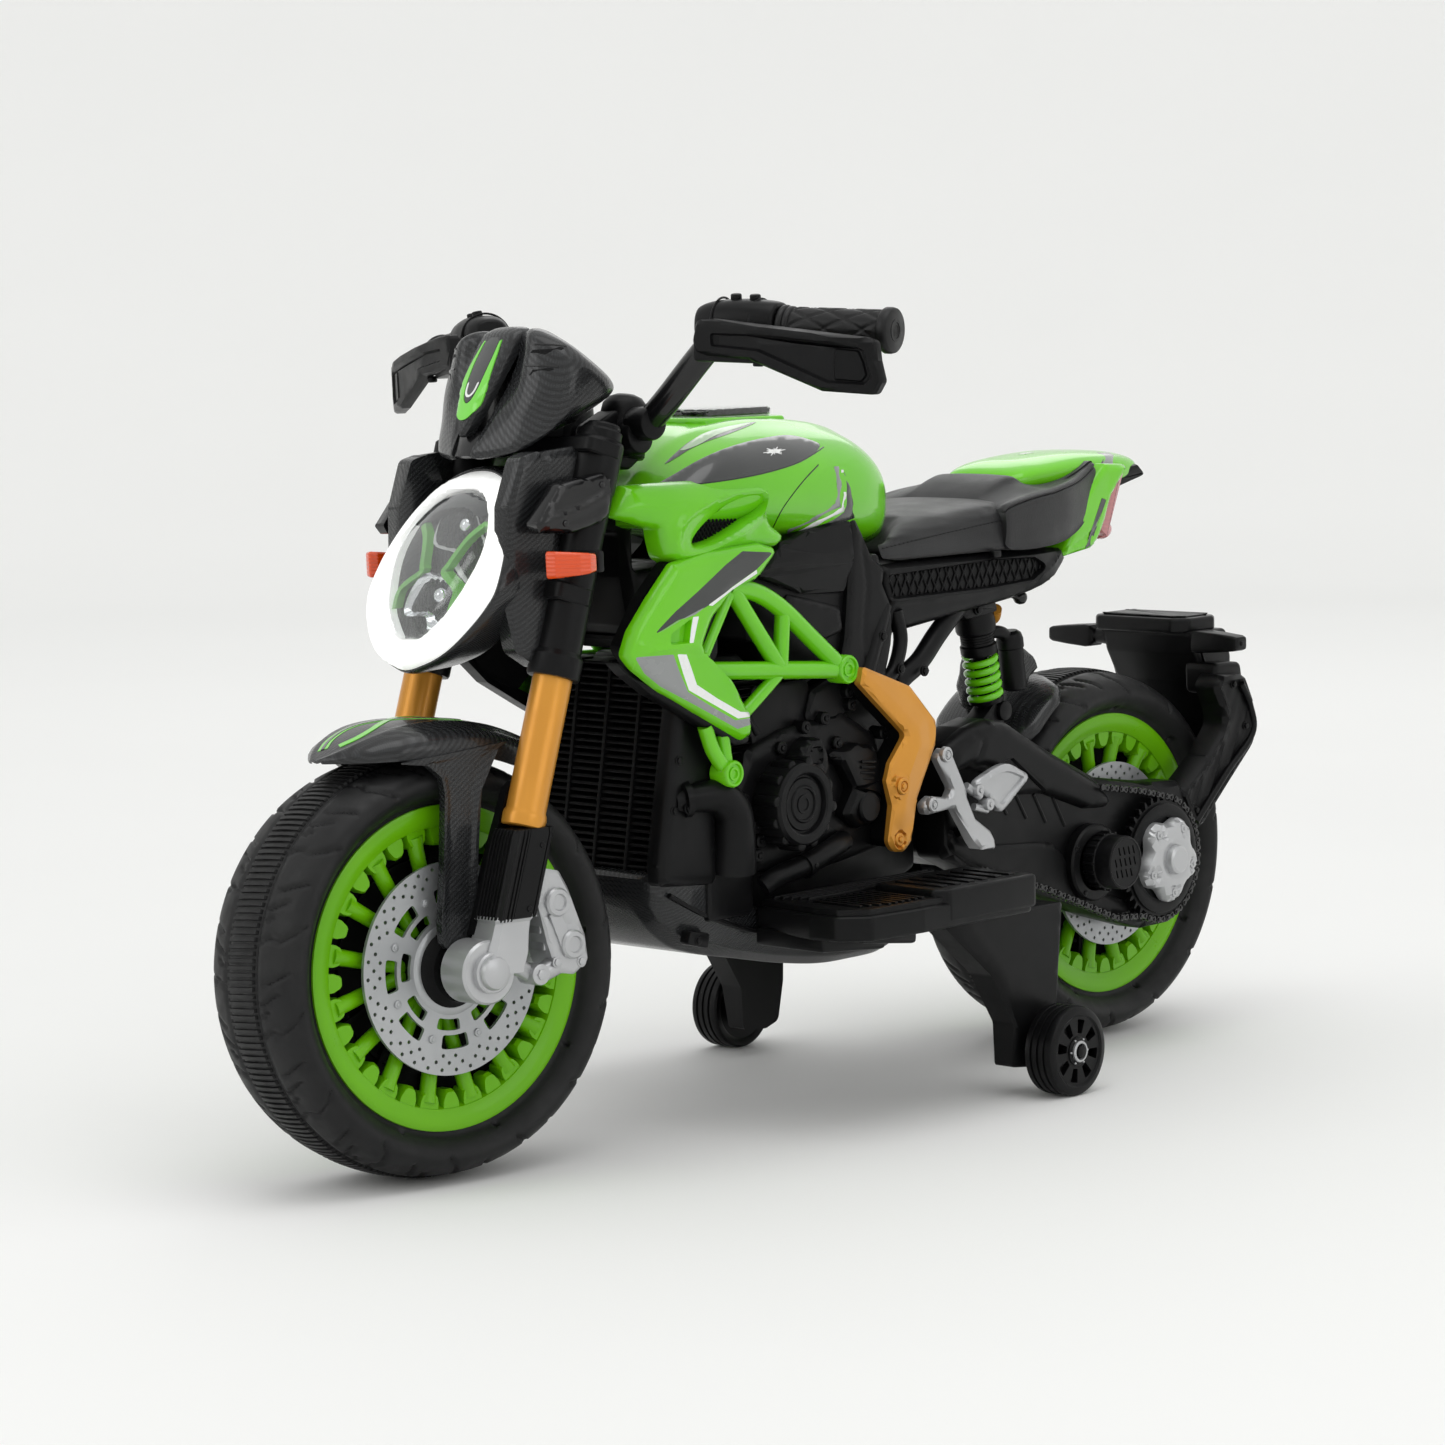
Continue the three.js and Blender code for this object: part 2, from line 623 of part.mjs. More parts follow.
part(chassis, "tail_light", plate([[10, 436], [-17, 477], [13.5, 477], [13.5, 436]], -33, 33), red);

// ---- Swingarm in two halves, bolted together ahead of the rear wheel ----
const armOutline = [
  [279, 285], [192, 302], [130, 276], [71, 246], [-43, 226], [-58, 200], [-58, 130], [-40, 100], [8, 98],
  [65, 114], [148, 142], [232, 168], [279, 190],
];
const TEETH = 24;
const ringOutline = Array.from({ length: TEETH * 2 }, (_, i) => {
  const angle = (i / (TEETH * 2)) * 2 * Math.PI;
  const radius = i % 2 ? 52 : 58;
  return [radius * Math.cos(angle), TYRE_RADIUS + radius * Math.sin(angle)];
});
const chainRing = plate(ringOutline, ARM_OUTER - 1, ARM_OUTER + 6); // moulded with the left arm
const bridgeOutline = [[279, 284], [206, 284], [180, 262], [180, 190], [214, 170], [279, 192]];
for (const side of SIDES) {
  const arm = plate(armOutline, side.sign * ARM_INNER, side.sign * ARM_OUTER);
  const bridge = plate(bridgeOutline, side.sign * (GAP / 2), side.sign * (ARM_INNER + 1));
  const bore = crossBar(0, TYRE_RADIUS, side.sign * 50, side.sign * 97, AXLE_RADIUS + GAP);
  const pieces = side.sign > 0 ? [arm, bridge, chainRing] : [arm, bridge];
  part(chassis, `swingarm_${side.name}`, cut(join(...pieces), bore), blackSatin);
}
const rearAxle = turned(
  vec(0, -100, TYRE_RADIUS),
  vec(0, 93, TYRE_RADIUS),
  [[0, 13], [5.7, 13], [5.7, AXLE_RADIUS], [193, AXLE_RADIUS]],
  20,
);
part(chassis, "rear_axle", rearAxle, silver);

// ---- Rear drive: sprocket cover and gear motor ----
const coverOutline = regular(0, TYRE_RADIUS, 36, 5, deg(18)).flatMap(([x, z], i, all) => {
  const [nextX, nextZ] = all[(i + 1) % all.length];
  return [[x, z], [(x + nextX) * 0.46, TYRE_RADIUS + (z + nextZ - 2 * TYRE_RADIUS) * 0.46]];
});
const coverBoss = crossBar(0, TYRE_RADIUS, ARM_OUTER + 16, ARM_OUTER + 23, 13, 20);
const coverPlate = plate(coverOutline, ARM_OUTER + 6 + GAP, ARM_OUTER + 17);
part(chassis, "sprocket_cover", join(coverPlate, coverBoss), silver);
const motorStart = ARM_OUTER + GAP;
part(chassis, "gear_motor", crossBar(82, 167, motorStart, 122, 22, 20), blackSatin);

// ---- Rear shock absorber, hugger and plate holder ----
const shock = turned(
  vec(158, 40, 305),
  vec(174, 40, 381),
  [[0, 8], [6, 8], [6, 14], [52, 14], [52, 16], [78, 16]],
  14,
);
const reservoir = rod(vec(132, 40, 318), vec(138, 40, 362), 9, 10);
const bridgeRod = rod(vec(136, 40, 352), vec(168, 40, 360), 6, 8);
part(chassis, "shock_absorber", join(shock, reservoir, bridgeRod), green);

const huggerProfile = [
  [166, -56], [174, -50], [178, 0], [174, 50], [166, 56],
  [163, 55], [171, 48], [174.6, 0], [171, -48], [163, -55],
];
part(chassis, "rear_hugger", arch(huggerProfile, 0, TYRE_RADIUS, deg(38), deg(82), 6), blackGloss);

const holderArm = [
  [-59, 206], [-59, 178], [-70, 174], [-152, 246], [-146, 296], [-122, 344], [-80, 344], [-82, 322],
  [-104, 300], [-116, 262],
];
part(
  chassis,
  "plate_holder",
  join(
    plate(holderArm, 64, 90),
    block(-138, -82, -50, 90, 342, 358),
    block(-130, -106, -98, 98, 330, 346),
    block(-146, -124, -52, 52, 304, 350),
  ),
  blackSatin,
);

// ---- Footboards, stabilisers and the accelerator pedal ----
const footboardOutline = [[290, 155], [286, 180], [294, FOOTBOARD_TOP], [498, FOOTBOARD_TOP], [510, 178], [504, 156]];
const legOutline = [[228, 154.6], [354, 154.6], [296, 96], [262, 24], [234, 22], [230, 60]];
for (const side of SIDES) {
  const { sign, name } = side;
  const board = plate(footboardOutline, sign * (72 + GAP), sign * FOOTBOARD_OUTER);
  part(chassis, `footboard_${name}`, board, blackSatin);

  const leg = plate(legOutline, sign * 140, sign * (STABILISER_INNER - 2));
  const pin = crossBar(STABILISER_X, STABILISER_RADIUS, sign * 152, sign * (STABILISER_OUTER + 4), 5, 12);
  const headStart = STABILISER_OUTER + 1;
  const head = crossBar(STABILISER_X, STABILISER_RADIUS, sign * headStart, sign * (headStart + 3), 8, 12);
  part(chassis, `stabiliser_bracket_${name}`, join(leg, pin, head), blackSatin);

  const flat = STABILISER_RADIUS / Math.cos(Math.PI / 24);
  const profile = [
    [5.5, STABILISER_INNER], [flat - 3, STABILISER_INNER], [flat, STABILISER_INNER + 3],
    [flat, STABILISER_OUTER - 3], [flat - 3, STABILISER_OUTER], [5.5, STABILISER_OUTER],
  ].map(([radius, y]) => [radius, sign * y]);
  if (sign < 0) profile.reverse();
  const wheel = wheelRing(profile, 24, STABILISER_X, STABILISER_RADIUS);
  part(chassis, `stabiliser_wheel_${name}`, wheel, rubber);
}
const pedalOutline = [[380, 188], [382, 194], [458, 207], [462, 202]];
part(chassis, "accelerator_pedal", plate(pedalOutline, -176, -128), blackSatin);

export default motorcycle;
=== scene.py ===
import json
import math

import bmesh
import bpy
import numpy as np
from mathutils import Matrix, Vector
from mathutils.bvhtree import BVHTree
from mathutils.geometry import delaunay_2d_cdt


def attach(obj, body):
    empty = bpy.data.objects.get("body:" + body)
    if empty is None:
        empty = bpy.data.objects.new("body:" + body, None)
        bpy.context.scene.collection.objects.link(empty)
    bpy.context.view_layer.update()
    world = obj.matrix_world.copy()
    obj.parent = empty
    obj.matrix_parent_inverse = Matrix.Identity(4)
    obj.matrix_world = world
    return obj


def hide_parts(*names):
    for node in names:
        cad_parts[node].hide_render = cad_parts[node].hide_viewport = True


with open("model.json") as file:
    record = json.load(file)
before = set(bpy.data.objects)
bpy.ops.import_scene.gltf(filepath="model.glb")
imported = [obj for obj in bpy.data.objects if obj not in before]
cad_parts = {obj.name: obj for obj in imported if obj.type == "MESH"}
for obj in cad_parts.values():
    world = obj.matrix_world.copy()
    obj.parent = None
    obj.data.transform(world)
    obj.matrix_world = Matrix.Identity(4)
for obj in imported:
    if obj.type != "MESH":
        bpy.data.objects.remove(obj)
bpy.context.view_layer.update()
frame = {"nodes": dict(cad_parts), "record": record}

MM = 0.001
PI = math.pi
SIDES = (("left", 1), ("right", -1))

# ---------------------------------------------------------------- frame dimensions
TYRE_RADIUS = 160
WHEELBASE = 793
RAKE = math.radians(17.9)
SLOPE = math.tan(RAKE)
STEER_POINT = Vector((754.6, 0, 160)) * MM
STEER_AXIS = Vector((-math.sin(RAKE), 0, math.cos(RAKE)))
STEER_AT_REST = math.radians(-7.9)
STEER = (
    Matrix.Translation(STEER_POINT)
    @ Matrix.Rotation(STEER_AT_REST, 4, STEER_AXIS)
    @ Matrix.Translation(-STEER_POINT)
)


def fork_at(y, z, ahead=0):
    """A point on the plane of the fork's tubes, as the unsteered fork stands."""
    return np.array([781.3 - (z - TYRE_RADIUS) * SLOPE + ahead, y, z], float)


# ---------------------------------------------------------------- shape helpers
class Solid:
    """Vertices in millimetres, faces, and one material number per face."""

    def __init__(self, verts=(), faces=(), mats=0):
        self.verts = np.array(verts, float).reshape(-1, 3)
        self.faces = [tuple(int(i) for i in f) for f in faces]
        self.mats = [mats] * len(self.faces) if isinstance(mats, int) else list(mats)

    def __add__(self, other):
        n = len(self.verts)
        faces = self.faces + [tuple(i + n for i in f) for f in other.faces]
        return Solid(np.vstack([self.verts, other.verts]), faces, self.mats + other.mats)

    def at(self, matrix):
        m = np.array(matrix, float)
        return Solid(self.verts @ m[:3, :3].T + m[:3, 3], self.faces, self.mats)

    def flip_y(self):
        return Solid(self.verts * (1, -1, 1), [f[::-1] for f in self.faces], self.mats)

    def bent(self, function):
        return Solid(np.array([function(v) for v in self.verts]), self.faces, self.mats)


def total(solids):
    solids = list(solids)
    out = solids[0]
    for s in solids[1:]:
        out = out + s
    return out


def move(x=0, y=0, z=0):
    m = np.eye(4)
    m[:3, 3] = (x, y, z)
    return m


def turn(axis, angle, about=(0, 0, 0)):
    m = np.array(Matrix.Rotation(angle, 4, Vector(axis)), float)
    about = np.array(about, float)
    m[:3, 3] = about - m[:3, :3] @ about
    return m


def loft(rings, cap=True, closed=True, mats=0):
    """A body through rings of equally many points."""
    n = len(rings[0])
    verts = np.vstack(rings)
    faces = []
    for r in range(len(rings) - 1):
        for i in range(n if closed else n - 1):
            a, b = r * n + i, r * n + (i + 1) % n
            faces.append((a, b, b + n, a + n))
    if cap:
        faces.append(tuple(range(n))[::-1])
        faces.append(tuple((len(rings) - 1) * n + i for i in range(n)))
    return Solid(verts, faces, mats)


def spline(points, steps, closed=False):
    """Catmull-Rom through points, steps pieces to each span."""
    p = np.array(points, float)
    n = len(p)
    out = []
    for i in range(n if closed else n - 1):
        if closed:
            a, b, c, d = p[i - 1], p[i], p[(i + 1) % n], p[(i + 2) % n]
        else:
            b, c = p[i], p[i + 1]
            a = p[i - 1] if i else 2 * b - c
            d = p[i + 2] if i + 2 < n else 2 * c - b
        for k in range(steps):
            t = k / steps
            out.append(0.5 * (2 * b + (c - a) * t + (2 * a - 5 * b + 4 * c - d) * t**2 + (3 * b - a - 3 * c + d) * t**3) )
    if not closed:
        out.append(p[-1])
    return np.array(out)


def smooth_rings(rings, steps):
    """More rings between the given ones, on smooth curves."""
    stacked = np.array([np.ravel(r) for r in rings])
    return [row.reshape(-1, 3) for row in spline(stacked, steps)]


def rounded(outline, radius, segments=4):
    """An outline with its corners rounded; a point may carry its own radius as a third number."""
    pts = [(np.array(p[:2], float), p[2] if len(p) > 2 else radius) for p in outline]
    out = []
    for i, (p, r) in enumerate(pts):
        a, b = pts[i - 1][0] - p, pts[(i + 1) % len(pts)][0] - p
        la, lb = np.linalg.norm(a), np.linalg.norm(b)
        a, b = a / la, b / lb
        half = math.acos(np.clip(a @ b, -1, 1)) / 2
        reach = min(r / max(math.tan(half), 1e-3), 0.46 * la, 0.46 * lb)
        if r <= 0 or half > PI / 2 - 0.03 or reach < 0.05:
            out.append(p)
            continue
        for k in range(segments + 1):
            t = k / segments
            start, end = p + a * reach, p + b * reach
            out.append((1 - t) ** 2 * start + 2 * t * (1 - t) * p + t**2 * end)
    return np.array(out)


def area(outline):
    x, z = outline[:, 0], outline[:, 1]
    return 0.5 * float(np.sum(x * np.roll(z, -1) - np.roll(x, -1) * z))


def inset(outline, distance):
    """The outline moved inwards by a small distance."""
    p = np.array(outline, float)
    if area(p) < 0:
        p = p[::-1]
    before, after = p - np.roll(p, 1, 0), np.roll(p, -1, 0) - p
    before /= np.linalg.norm(before, axis=1)[:, None] + 1e-12
    after /= np.linalg.norm(after, axis=1)[:, None] + 1e-12
    na = np.stack([-before[:, 1], before[:, 0]], 1)
    nb = np.stack([-after[:, 1], after[:, 0]], 1)
    n = na + nb
    n /= np.linalg.norm(n, axis=1)[:, None] + 1e-12
    stretch = np.clip(np.sum(n * na, axis=1), 0.5, 1)
    return p + n * (distance / stretch)[:, None]


def prism(outline, y0, y1, bevel=1.0, steps=2, mats=0):
    """A plate with a side outline of [x, z] points and rounded edges."""
    p = np.array([q[:2] for q in outline], float)
    if area(p) < 0:
        p = p[::-1]
    low, high = min(y0, y1), max(y0, y1)
    rings = []
    for k in range(steps + 1):
        angle = k / steps * PI / 2
        inward, out = bevel * (1 - math.sin(angle)), bevel * (1 - math.cos(angle))
        q = inset(p, inward) if inward > 1e-6 else p
        rings.append(np.stack([q[:, 0], np.full(len(q), low + out), q[:, 1]], 1))
    for ring in list(rings[::-1]):
        mirrored = ring.copy()
        mirrored[:, 1] = low + high - ring[:, 1]
        rings.append(mirrored)
    return loft(rings, mats=mats)


def box(x0, x1, y0, y1, z0, z1, bevel=1.0, mats=0):
    return prism([(x0, z0), (x1, z0), (x1, z1), (x0, z1)], y0, y1, bevel, mats=mats)


def lathe(profile, segments, x=0, z=0, mats=0, start=0.0):
    """Turned about Y from [radius, y] points; a profile that ends where it starts makes a ring."""
    closed = np.allclose(profile[0], profile[-1])
    points = profile[:-1] if closed else profile
    n = len(points)
    angles = start + np.arange(segments) / segments * 2 * PI
    verts = np.array([(x + r * math.cos(a), y, z + r * math.sin(a)) for a in angles for r, y in points])
    faces = []
    for s in range(segments):
        t = (s + 1) % segments
        for i in range(n if closed else n - 1):
            j = (i + 1) % n
            faces.append((s * n + i, s * n + j, t * n + j, t * n + i))
    if not closed:
        faces.append(tuple(s * n for s in range(segments)))
        faces.append(tuple(s * n + n - 1 for s in range(segments))[::-1])
    return Solid(verts, faces, mats)


def frame_from(direction, hint=(0, 0, 1)):
    d = np.array(direction, float)
    d /= np.linalg.norm(d)
    hint = np.array(hint, float)
    if abs(d @ hint) > 0.95:
        hint = np.array([1.0, 0, 0])
    u = np.cross(hint, d)
    u /= np.linalg.norm(u)
    return u, np.cross(d, u), d


def turned(a, b, profile, sides=24, mats=0):
    """A round bar from a towards b; the profile is [distance, radius] points."""
    a, b = np.array(a, float), np.array(b, float)
    u, v, d = frame_from(b - a)
    rings = []
    for along, radius in profile:
        angles = np.arange(sides) / sides * 2 * PI
        ring = a + d * along + np.outer(np.cos(angles) * radius, u) + np.outer(np.sin(angles) * radius, v)
        rings.append(ring)
    return loft(rings, mats=mats)


def rod(a, b, radius, sides=20, bevel=0.8, mats=0):
    length = float(np.linalg.norm(np.array(b, float) - np.array(a, float)))
    bevel = min(bevel, radius * 0.5, length * 0.4)
    steps = [(0, radius - bevel), (bevel * 0.3, radius - bevel * 0.3), (bevel, radius)]
    ends = [(length - along, r) for along, r in steps[::-1]]
    return turned(a, b, steps + ends, sides, mats)


def sweep(points, radius, sides=16, mats=0, cap=True, closed=False):
    """A tube along points; radius may be one number or one for each point."""
    p = np.array(points, float)
    n = len(p)
    radii = np.full(n, float(radius)) if np.isscalar(radius) else np.array(radius, float)
    tangents = np.gradient(p, axis=0)
    if closed:
        tangents = np.roll(p, -1, 0) - np.roll(p, 1, 0)
    tangents /= np.linalg.norm(tangents, axis=1)[:, None]
    u, v, _ = frame_from(tangents[0])
    rings = []
    for i in range(n):
        t = tangents[i]
        u = u - t * (u @ t)
        u /= np.linalg.norm(u)
        v = np.cross(t, u)
        angles = np.arange(sides) / sides * 2 * PI
        rings.append(p[i] + np.outer(np.cos(angles) * radii[i], u) + np.outer(np.sin(angles) * radii[i], v))
    if closed:
        rings.append(rings[0])
        return loft(rings, cap=False, mats=mats)
    return loft(rings, cap=cap, mats=mats)


def inside(points, outline):
    """Which [x, z] points lie in the outline."""
    x, z = points[:, 0], points[:, 1]
    hit = np.zeros(len(points), bool)
    p = np.array(outline, float)[:, :2]
    q = np.roll(p, -1, 0)
    for (ax, az), (bx, bz) in zip(p, q):
        if abs(az - bz) < 1e-12:
            continue
        crosses = (az > z) != (bz > z)
        hit ^= crosses & (x < ax + (z - az) * (bx - ax) / (bz - az))
    return hit


def edge_distance(points, outline):
    """How far each [x, z] point is from the outline's line."""
    p = np.array(outline, float)[:, :2]
    q = np.roll(p, -1, 0)
    best = np.full(len(points), 1e9)
    for a, b in zip(p, q):
        d = b - a
        t = np.clip(((points - a) @ d) / max(d @ d, 1e-12), 0, 1)
        best = np.minimum(best, np.linalg.norm(points - a - t[:, None] * d, axis=1))
    return best


def line_distance(p, line):
    """Distance to an open line of points."""
    best = np.full(len(p), 1e9)
    for a, b in zip(line[:-1], line[1:]):
        d = b - a
        t = np.clip(((p - a) @ d) / max(d @ d, 1e-12), 0, 1)
        best = np.minimum(best, np.linalg.norm(p - a - t[:, None] * d, axis=1))
    return best


def flat_mesh(outline, holes=(), lines=(), spacing=5.0):
    """Triangles that fill an outline, with edges along the holes and lines, and points between."""
    loops = [np.array(o, float)[:, :2] for o in [outline, *holes, *lines]]
    low, high = loops[0].min(0), loops[0].max(0)
    grid = []
    row = 0
    z = low[1] + spacing / 2
    while z < high[1]:
        offset = spacing / 2 if row % 2 else 0
        grid += [(x, z) for x in np.arange(low[0] + spacing / 2 + offset, high[0], spacing)]
        z += spacing * 0.87
        row += 1
    grid = np.array(grid).reshape(-1, 2)
    if len(grid):
        keep = inside(grid, loops[0])
        for loop in loops:
            keep &= edge_distance(grid, loop) > spacing * 0.35
        for hole in holes:
            keep &= ~inside(grid, hole)
        grid = grid[keep]
    points, edges = [], []
    for loop in loops:
        first = len(points)
        points += [Vector(p) for p in loop]
        n = len(loop)
        edges += [(first + i, first + (i + 1) % n) for i in range(n)]
    points += [Vector(p) for p in grid]
    verts, _, faces, _, _, _ = delaunay_2d_cdt(points, edges, [], 0, 1e-4)
    verts = np.array([tuple(v) for v in verts])
    middles = np.array([verts[list(f)].mean(0) for f in faces])
    keep = inside(middles, loops[0])
    for hole in holes:
        keep &= ~inside(middles, hole)
    return verts, [f for f, k in zip(faces, keep) if k], middles[keep]


def relief(outline, front, back, holes=(), zones=(), spacing=5.0, side_mat=0):
    """A panel in the XZ plane. front and back give y at [x, z] points; zones are (outline, material)."""
    verts, faces, middles = flat_mesh(outline, holes, [z for z, _ in zones], spacing)
    n = len(verts)
    y_front = front(verts) if callable(front) else np.full(n, float(front))
    y_back = back(verts) if callable(back) else np.full(n, float(back))
    top = np.stack([verts[:, 0], y_front, verts[:, 1]], 1)
    bottom = np.stack([verts[:, 0], y_back, verts[:, 1]], 1)
    mats = np.zeros(len(faces), int)
    for zone, number in zones:
        mats[inside(middles, zone)] = number
    count = {}
    for f in faces:
        for a, b in zip(f, f[1:] + f[:1]):
            key = (min(a, b), max(a, b))
            count.setdefault(key, []).append((a, b))
    rim = [e[0] for e in count.values() if len(e) == 1]
    walls = [(b, a, a + n, b + n) for a, b in rim]
    all_faces = list(faces) + [tuple(i + n for i in f[::-1]) for f in faces] + walls
    all_mats = list(mats) + [side_mat] * (len(faces) + len(walls))
    used = sorted({i for f in all_faces for i in f})
    index = {old: new for new, old in enumerate(used)}
    verts3 = np.vstack([top, bottom])[used]
    return Solid(verts3, [tuple(index[i] for i in f) for f in all_faces], all_mats)


def crowned(outline, height, radius, base=0.0, side=1):
    """A front for relief(): y rises from the outline's edge to base + height over radius."""

    def y(points):
        d = np.clip(edge_distance(points, outline) / radius, 0, 1)
        return side * (base + height * np.sqrt(1 - (1 - d) ** 2))

    return y


# ---------------------------------------------------------------- making pieces
def build_mesh(name, solid, materials, sharp=32, weld=0.01):
    mesh = bpy.data.meshes.new(name)
    mesh.from_pydata([tuple(v) for v in solid.verts * MM], [], solid.faces)
    for m in materials:
        mesh.materials.append(m)
    mesh.polygons.foreach_set("material_index", np.array(solid.mats, np.int32))
    bm = bmesh.new()
    bm.from_mesh(mesh)
    bmesh.ops.remove_doubles(bm, verts=bm.verts, dist=weld * MM)
    bmesh.ops.dissolve_degenerate(bm, edges=bm.edges, dist=1e-6)
    bmesh.ops.recalc_face_normals(bm, faces=bm.faces)
    limit = math.radians(sharp)
    for e in bm.edges:
        e.smooth = len(e.link_faces) != 2 or e.calc_face_angle(0) < limit
    for f in bm.faces:
        f.smooth = True
    bm.to_mesh(mesh)
    bm.free()
    return mesh


def make(name, solid, materials, body, replaces=(), steered=False, sharp=32, modifiers=()):
    """One piece of the object, riding on a CAD body."""
    materials = materials if isinstance(materials, (list, tuple)) else [materials]
    mesh = build_mesh(name, solid, materials, sharp)
    if steered:
        mesh.transform(STEER)
    piece = bpy.data.objects.new(name, mesh)
    bpy.context.scene.collection.objects.link(piece)
    for kind, settings in modifiers:
        modifier = piece.modifiers.new(kind.title(), kind)
        for key, value in settings.items():
            setattr(modifier, key, value)
    if modifiers:
        bake_modifiers(piece)
    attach(piece, body)
    if replaces:
        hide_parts(*replaces)
    return piece


def bake_modifiers(piece):
    bpy.context.view_layer.update()
    evaluated = piece.evaluated_get(bpy.context.evaluated_depsgraph_get())
    mesh = bpy.data.meshes.new_from_object(evaluated)
    piece.modifiers.clear()
    piece.data = mesh


# ---------------------------------------------------------------- materials
class Nodes:
    """A short way to write a node tree."""

    def __init__(self, name):
        self.material = bpy.data.materials.new(name)
        self.material.use_nodes = True
        self.tree = self.material.node_tree
        self.tree.nodes.clear()
        self.shader = self.add("ShaderNodeBsdfPrincipled")
        self.out = self.add("ShaderNodeOutputMaterial")
        self.link(self.shader.outputs[0], self.out.inputs["Surface"])
        self.coords = self.add("ShaderNodeTexCoord").outputs["Object"]

    def add(self, kind, **settings):
        node = self.tree.nodes.new(kind)
        for key, value in settings.items():
            setattr(node, key, value)
        return node

    def link(self, a, b):
        self.tree.links.new(a, b)

    def put(self, socket, value):
        if isinstance(value, bpy.types.NodeSocket):
            self.link(value, socket)
        else:
            socket.default_value = value

    def math(self, operation, a, b=0.0, c=0.0, clamp=False):
        node = self.add("ShaderNodeMath", operation=operation, use_clamp=clamp)
        for socket, value in zip(node.inputs, (a, b, c)):
            self.put(socket, value)
        return node.outputs[0]

    def noise(self, scale, detail=3.0, roughness=0.5, coords=None):
        node = self.add("ShaderNodeTexNoise")
        self.link(coords or self.coords, node.inputs["Vector"])
        node.inputs["Scale"].default_value = scale
        node.inputs["Detail"].default_value = detail
        node.inputs["Roughness"].default_value = roughness
        return node.outputs["Fac"]

    def voronoi(self, scale, feature="F1", coords=None):
        node = self.add("ShaderNodeTexVoronoi", feature=feature)
        self.link(coords or self.coords, node.inputs["Vector"])
        node.inputs["Scale"].default_value = scale
        return node.outputs["Distance"]

    def ramp(self, value, low, high, out_low, out_high):
        node = self.add("ShaderNodeMapRange")
        for socket, item in zip(node.inputs, (value, low, high, out_low, out_high)):
            self.put(socket, item)
        return node.outputs[0]

    def mix(self, factor, a, b):
        node = self.add("ShaderNodeMix", data_type="RGBA")
        self.put(node.inputs[0], factor)
        self.put(node.inputs[6], a)
        self.put(node.inputs[7], b)
        return node.outputs[2]

    def bump(self, height, distance, strength=1.0, normal=None):
        node = self.add("ShaderNodeBump")
        node.inputs["Distance"].default_value = distance
        node.inputs["Strength"].default_value = strength
        self.link(height, node.inputs["Height"])
        if normal is not None:
            self.link(normal, node.inputs["Normal"])
        self.link(node.outputs[0], self.shader.inputs["Normal"])
        return node.outputs[0]

    def split(self, coords=None):
        node = self.add("ShaderNodeSeparateXYZ")
        self.link(coords or self.coords, node.inputs[0])
        return node.outputs

    def set(self, **values):
        for key, value in values.items():
            self.put(self.shader.inputs[key.replace("_", " ")], value)
        return self


def rgb(r, g, b):
    return (r, g, b, 1.0)


def plastic(name, colour, darker, roughness, spread=0.06, grain=0.00004, grain_scale=900, coat=0.0, metallic=0.0,
        shine=0.5):
    """Moulded or painted plastic: a slight cloud in the colour, uneven gloss and a fine grain."""
    n = Nodes(name)
    cloud = n.noise(9, 4)
    n.set(Base_Color=n.mix(n.ramp(cloud, 0.35, 0.65, 0, 1), colour, darker))
    n.set(Roughness=n.ramp(n.noise(55, 5), 0.3, 0.7, roughness - spread, roughness + spread))
    n.set(Metallic=metallic)
    if coat:
        n.set(Coat_Weight=coat, Coat_Roughness=0.03)
    n.set(Specular_IOR_Level=shine)
    n.bump(n.noise(grain_scale, 2), grain, 0.6)
    return n.material


def carbon(name, pitch=2.5):
    """Gloss black with the print of a twill weave."""
    n = Nodes(name)
    x, y, z = n.split()[:3]
    cell = pitch * MM / 2
    a = n.math("DIVIDE", n.math("ADD", x, n.math("MULTIPLY", z, 0.35)), cell)
    b = n.math("DIVIDE", n.math("ADD", y, n.math("MULTIPLY", z, 0.9)), cell)
    step = n.math("FLOORED_MODULO", n.math("ADD", n.math("FLOOR", a), n.math("FLOOR", b)), 4.0)
    warp = n.math("LESS_THAN", step, 1.5)
    across = n.mix(warp, b, a)
    thread = n.math("ABSOLUTE", n.math("SUBTRACT", n.math("FRACT", across), 0.5))
    shade = n.math("MULTIPLY", n.ramp(thread, 0.0, 0.5, 1.0, 0.35), n.ramp(warp, 0, 1, 0.25, 1.0))
    cloud = n.ramp(n.noise(14, 3), 0.35, 0.65, 0.6, 1.0)
    n.set(Base_Color=n.mix(n.math("MULTIPLY", shade, cloud), rgb(0.003, 0.003, 0.0035), rgb(0.034, 0.036, 0.038)))
    n.set(Roughness=n.ramp(warp, 0, 1, 0.42, 0.27), Specular_IOR_Level=0.28, Coat_Weight=0.35,
        Coat_Roughness=0.08)
    n.bump(shade, 0.00012, 0.5)
    return n.material


def rubber_like(name, colour, dust, roughness, grain=0.00006):
    n = Nodes(name)
    cloud = n.noise(16, 6, 0.6)
    n.set(Base_Color=n.mix(n.ramp(cloud, 0.45, 0.75, 0, 0.8), colour, dust))
    n.set(Roughness=n.ramp(n.noise(80, 4), 0.3, 0.7, roughness - 0.09, roughness + 0.08), Specular_IOR_Level=0.28)
    n.bump(n.noise(1400, 3), grain, 0.7)
    return n.material


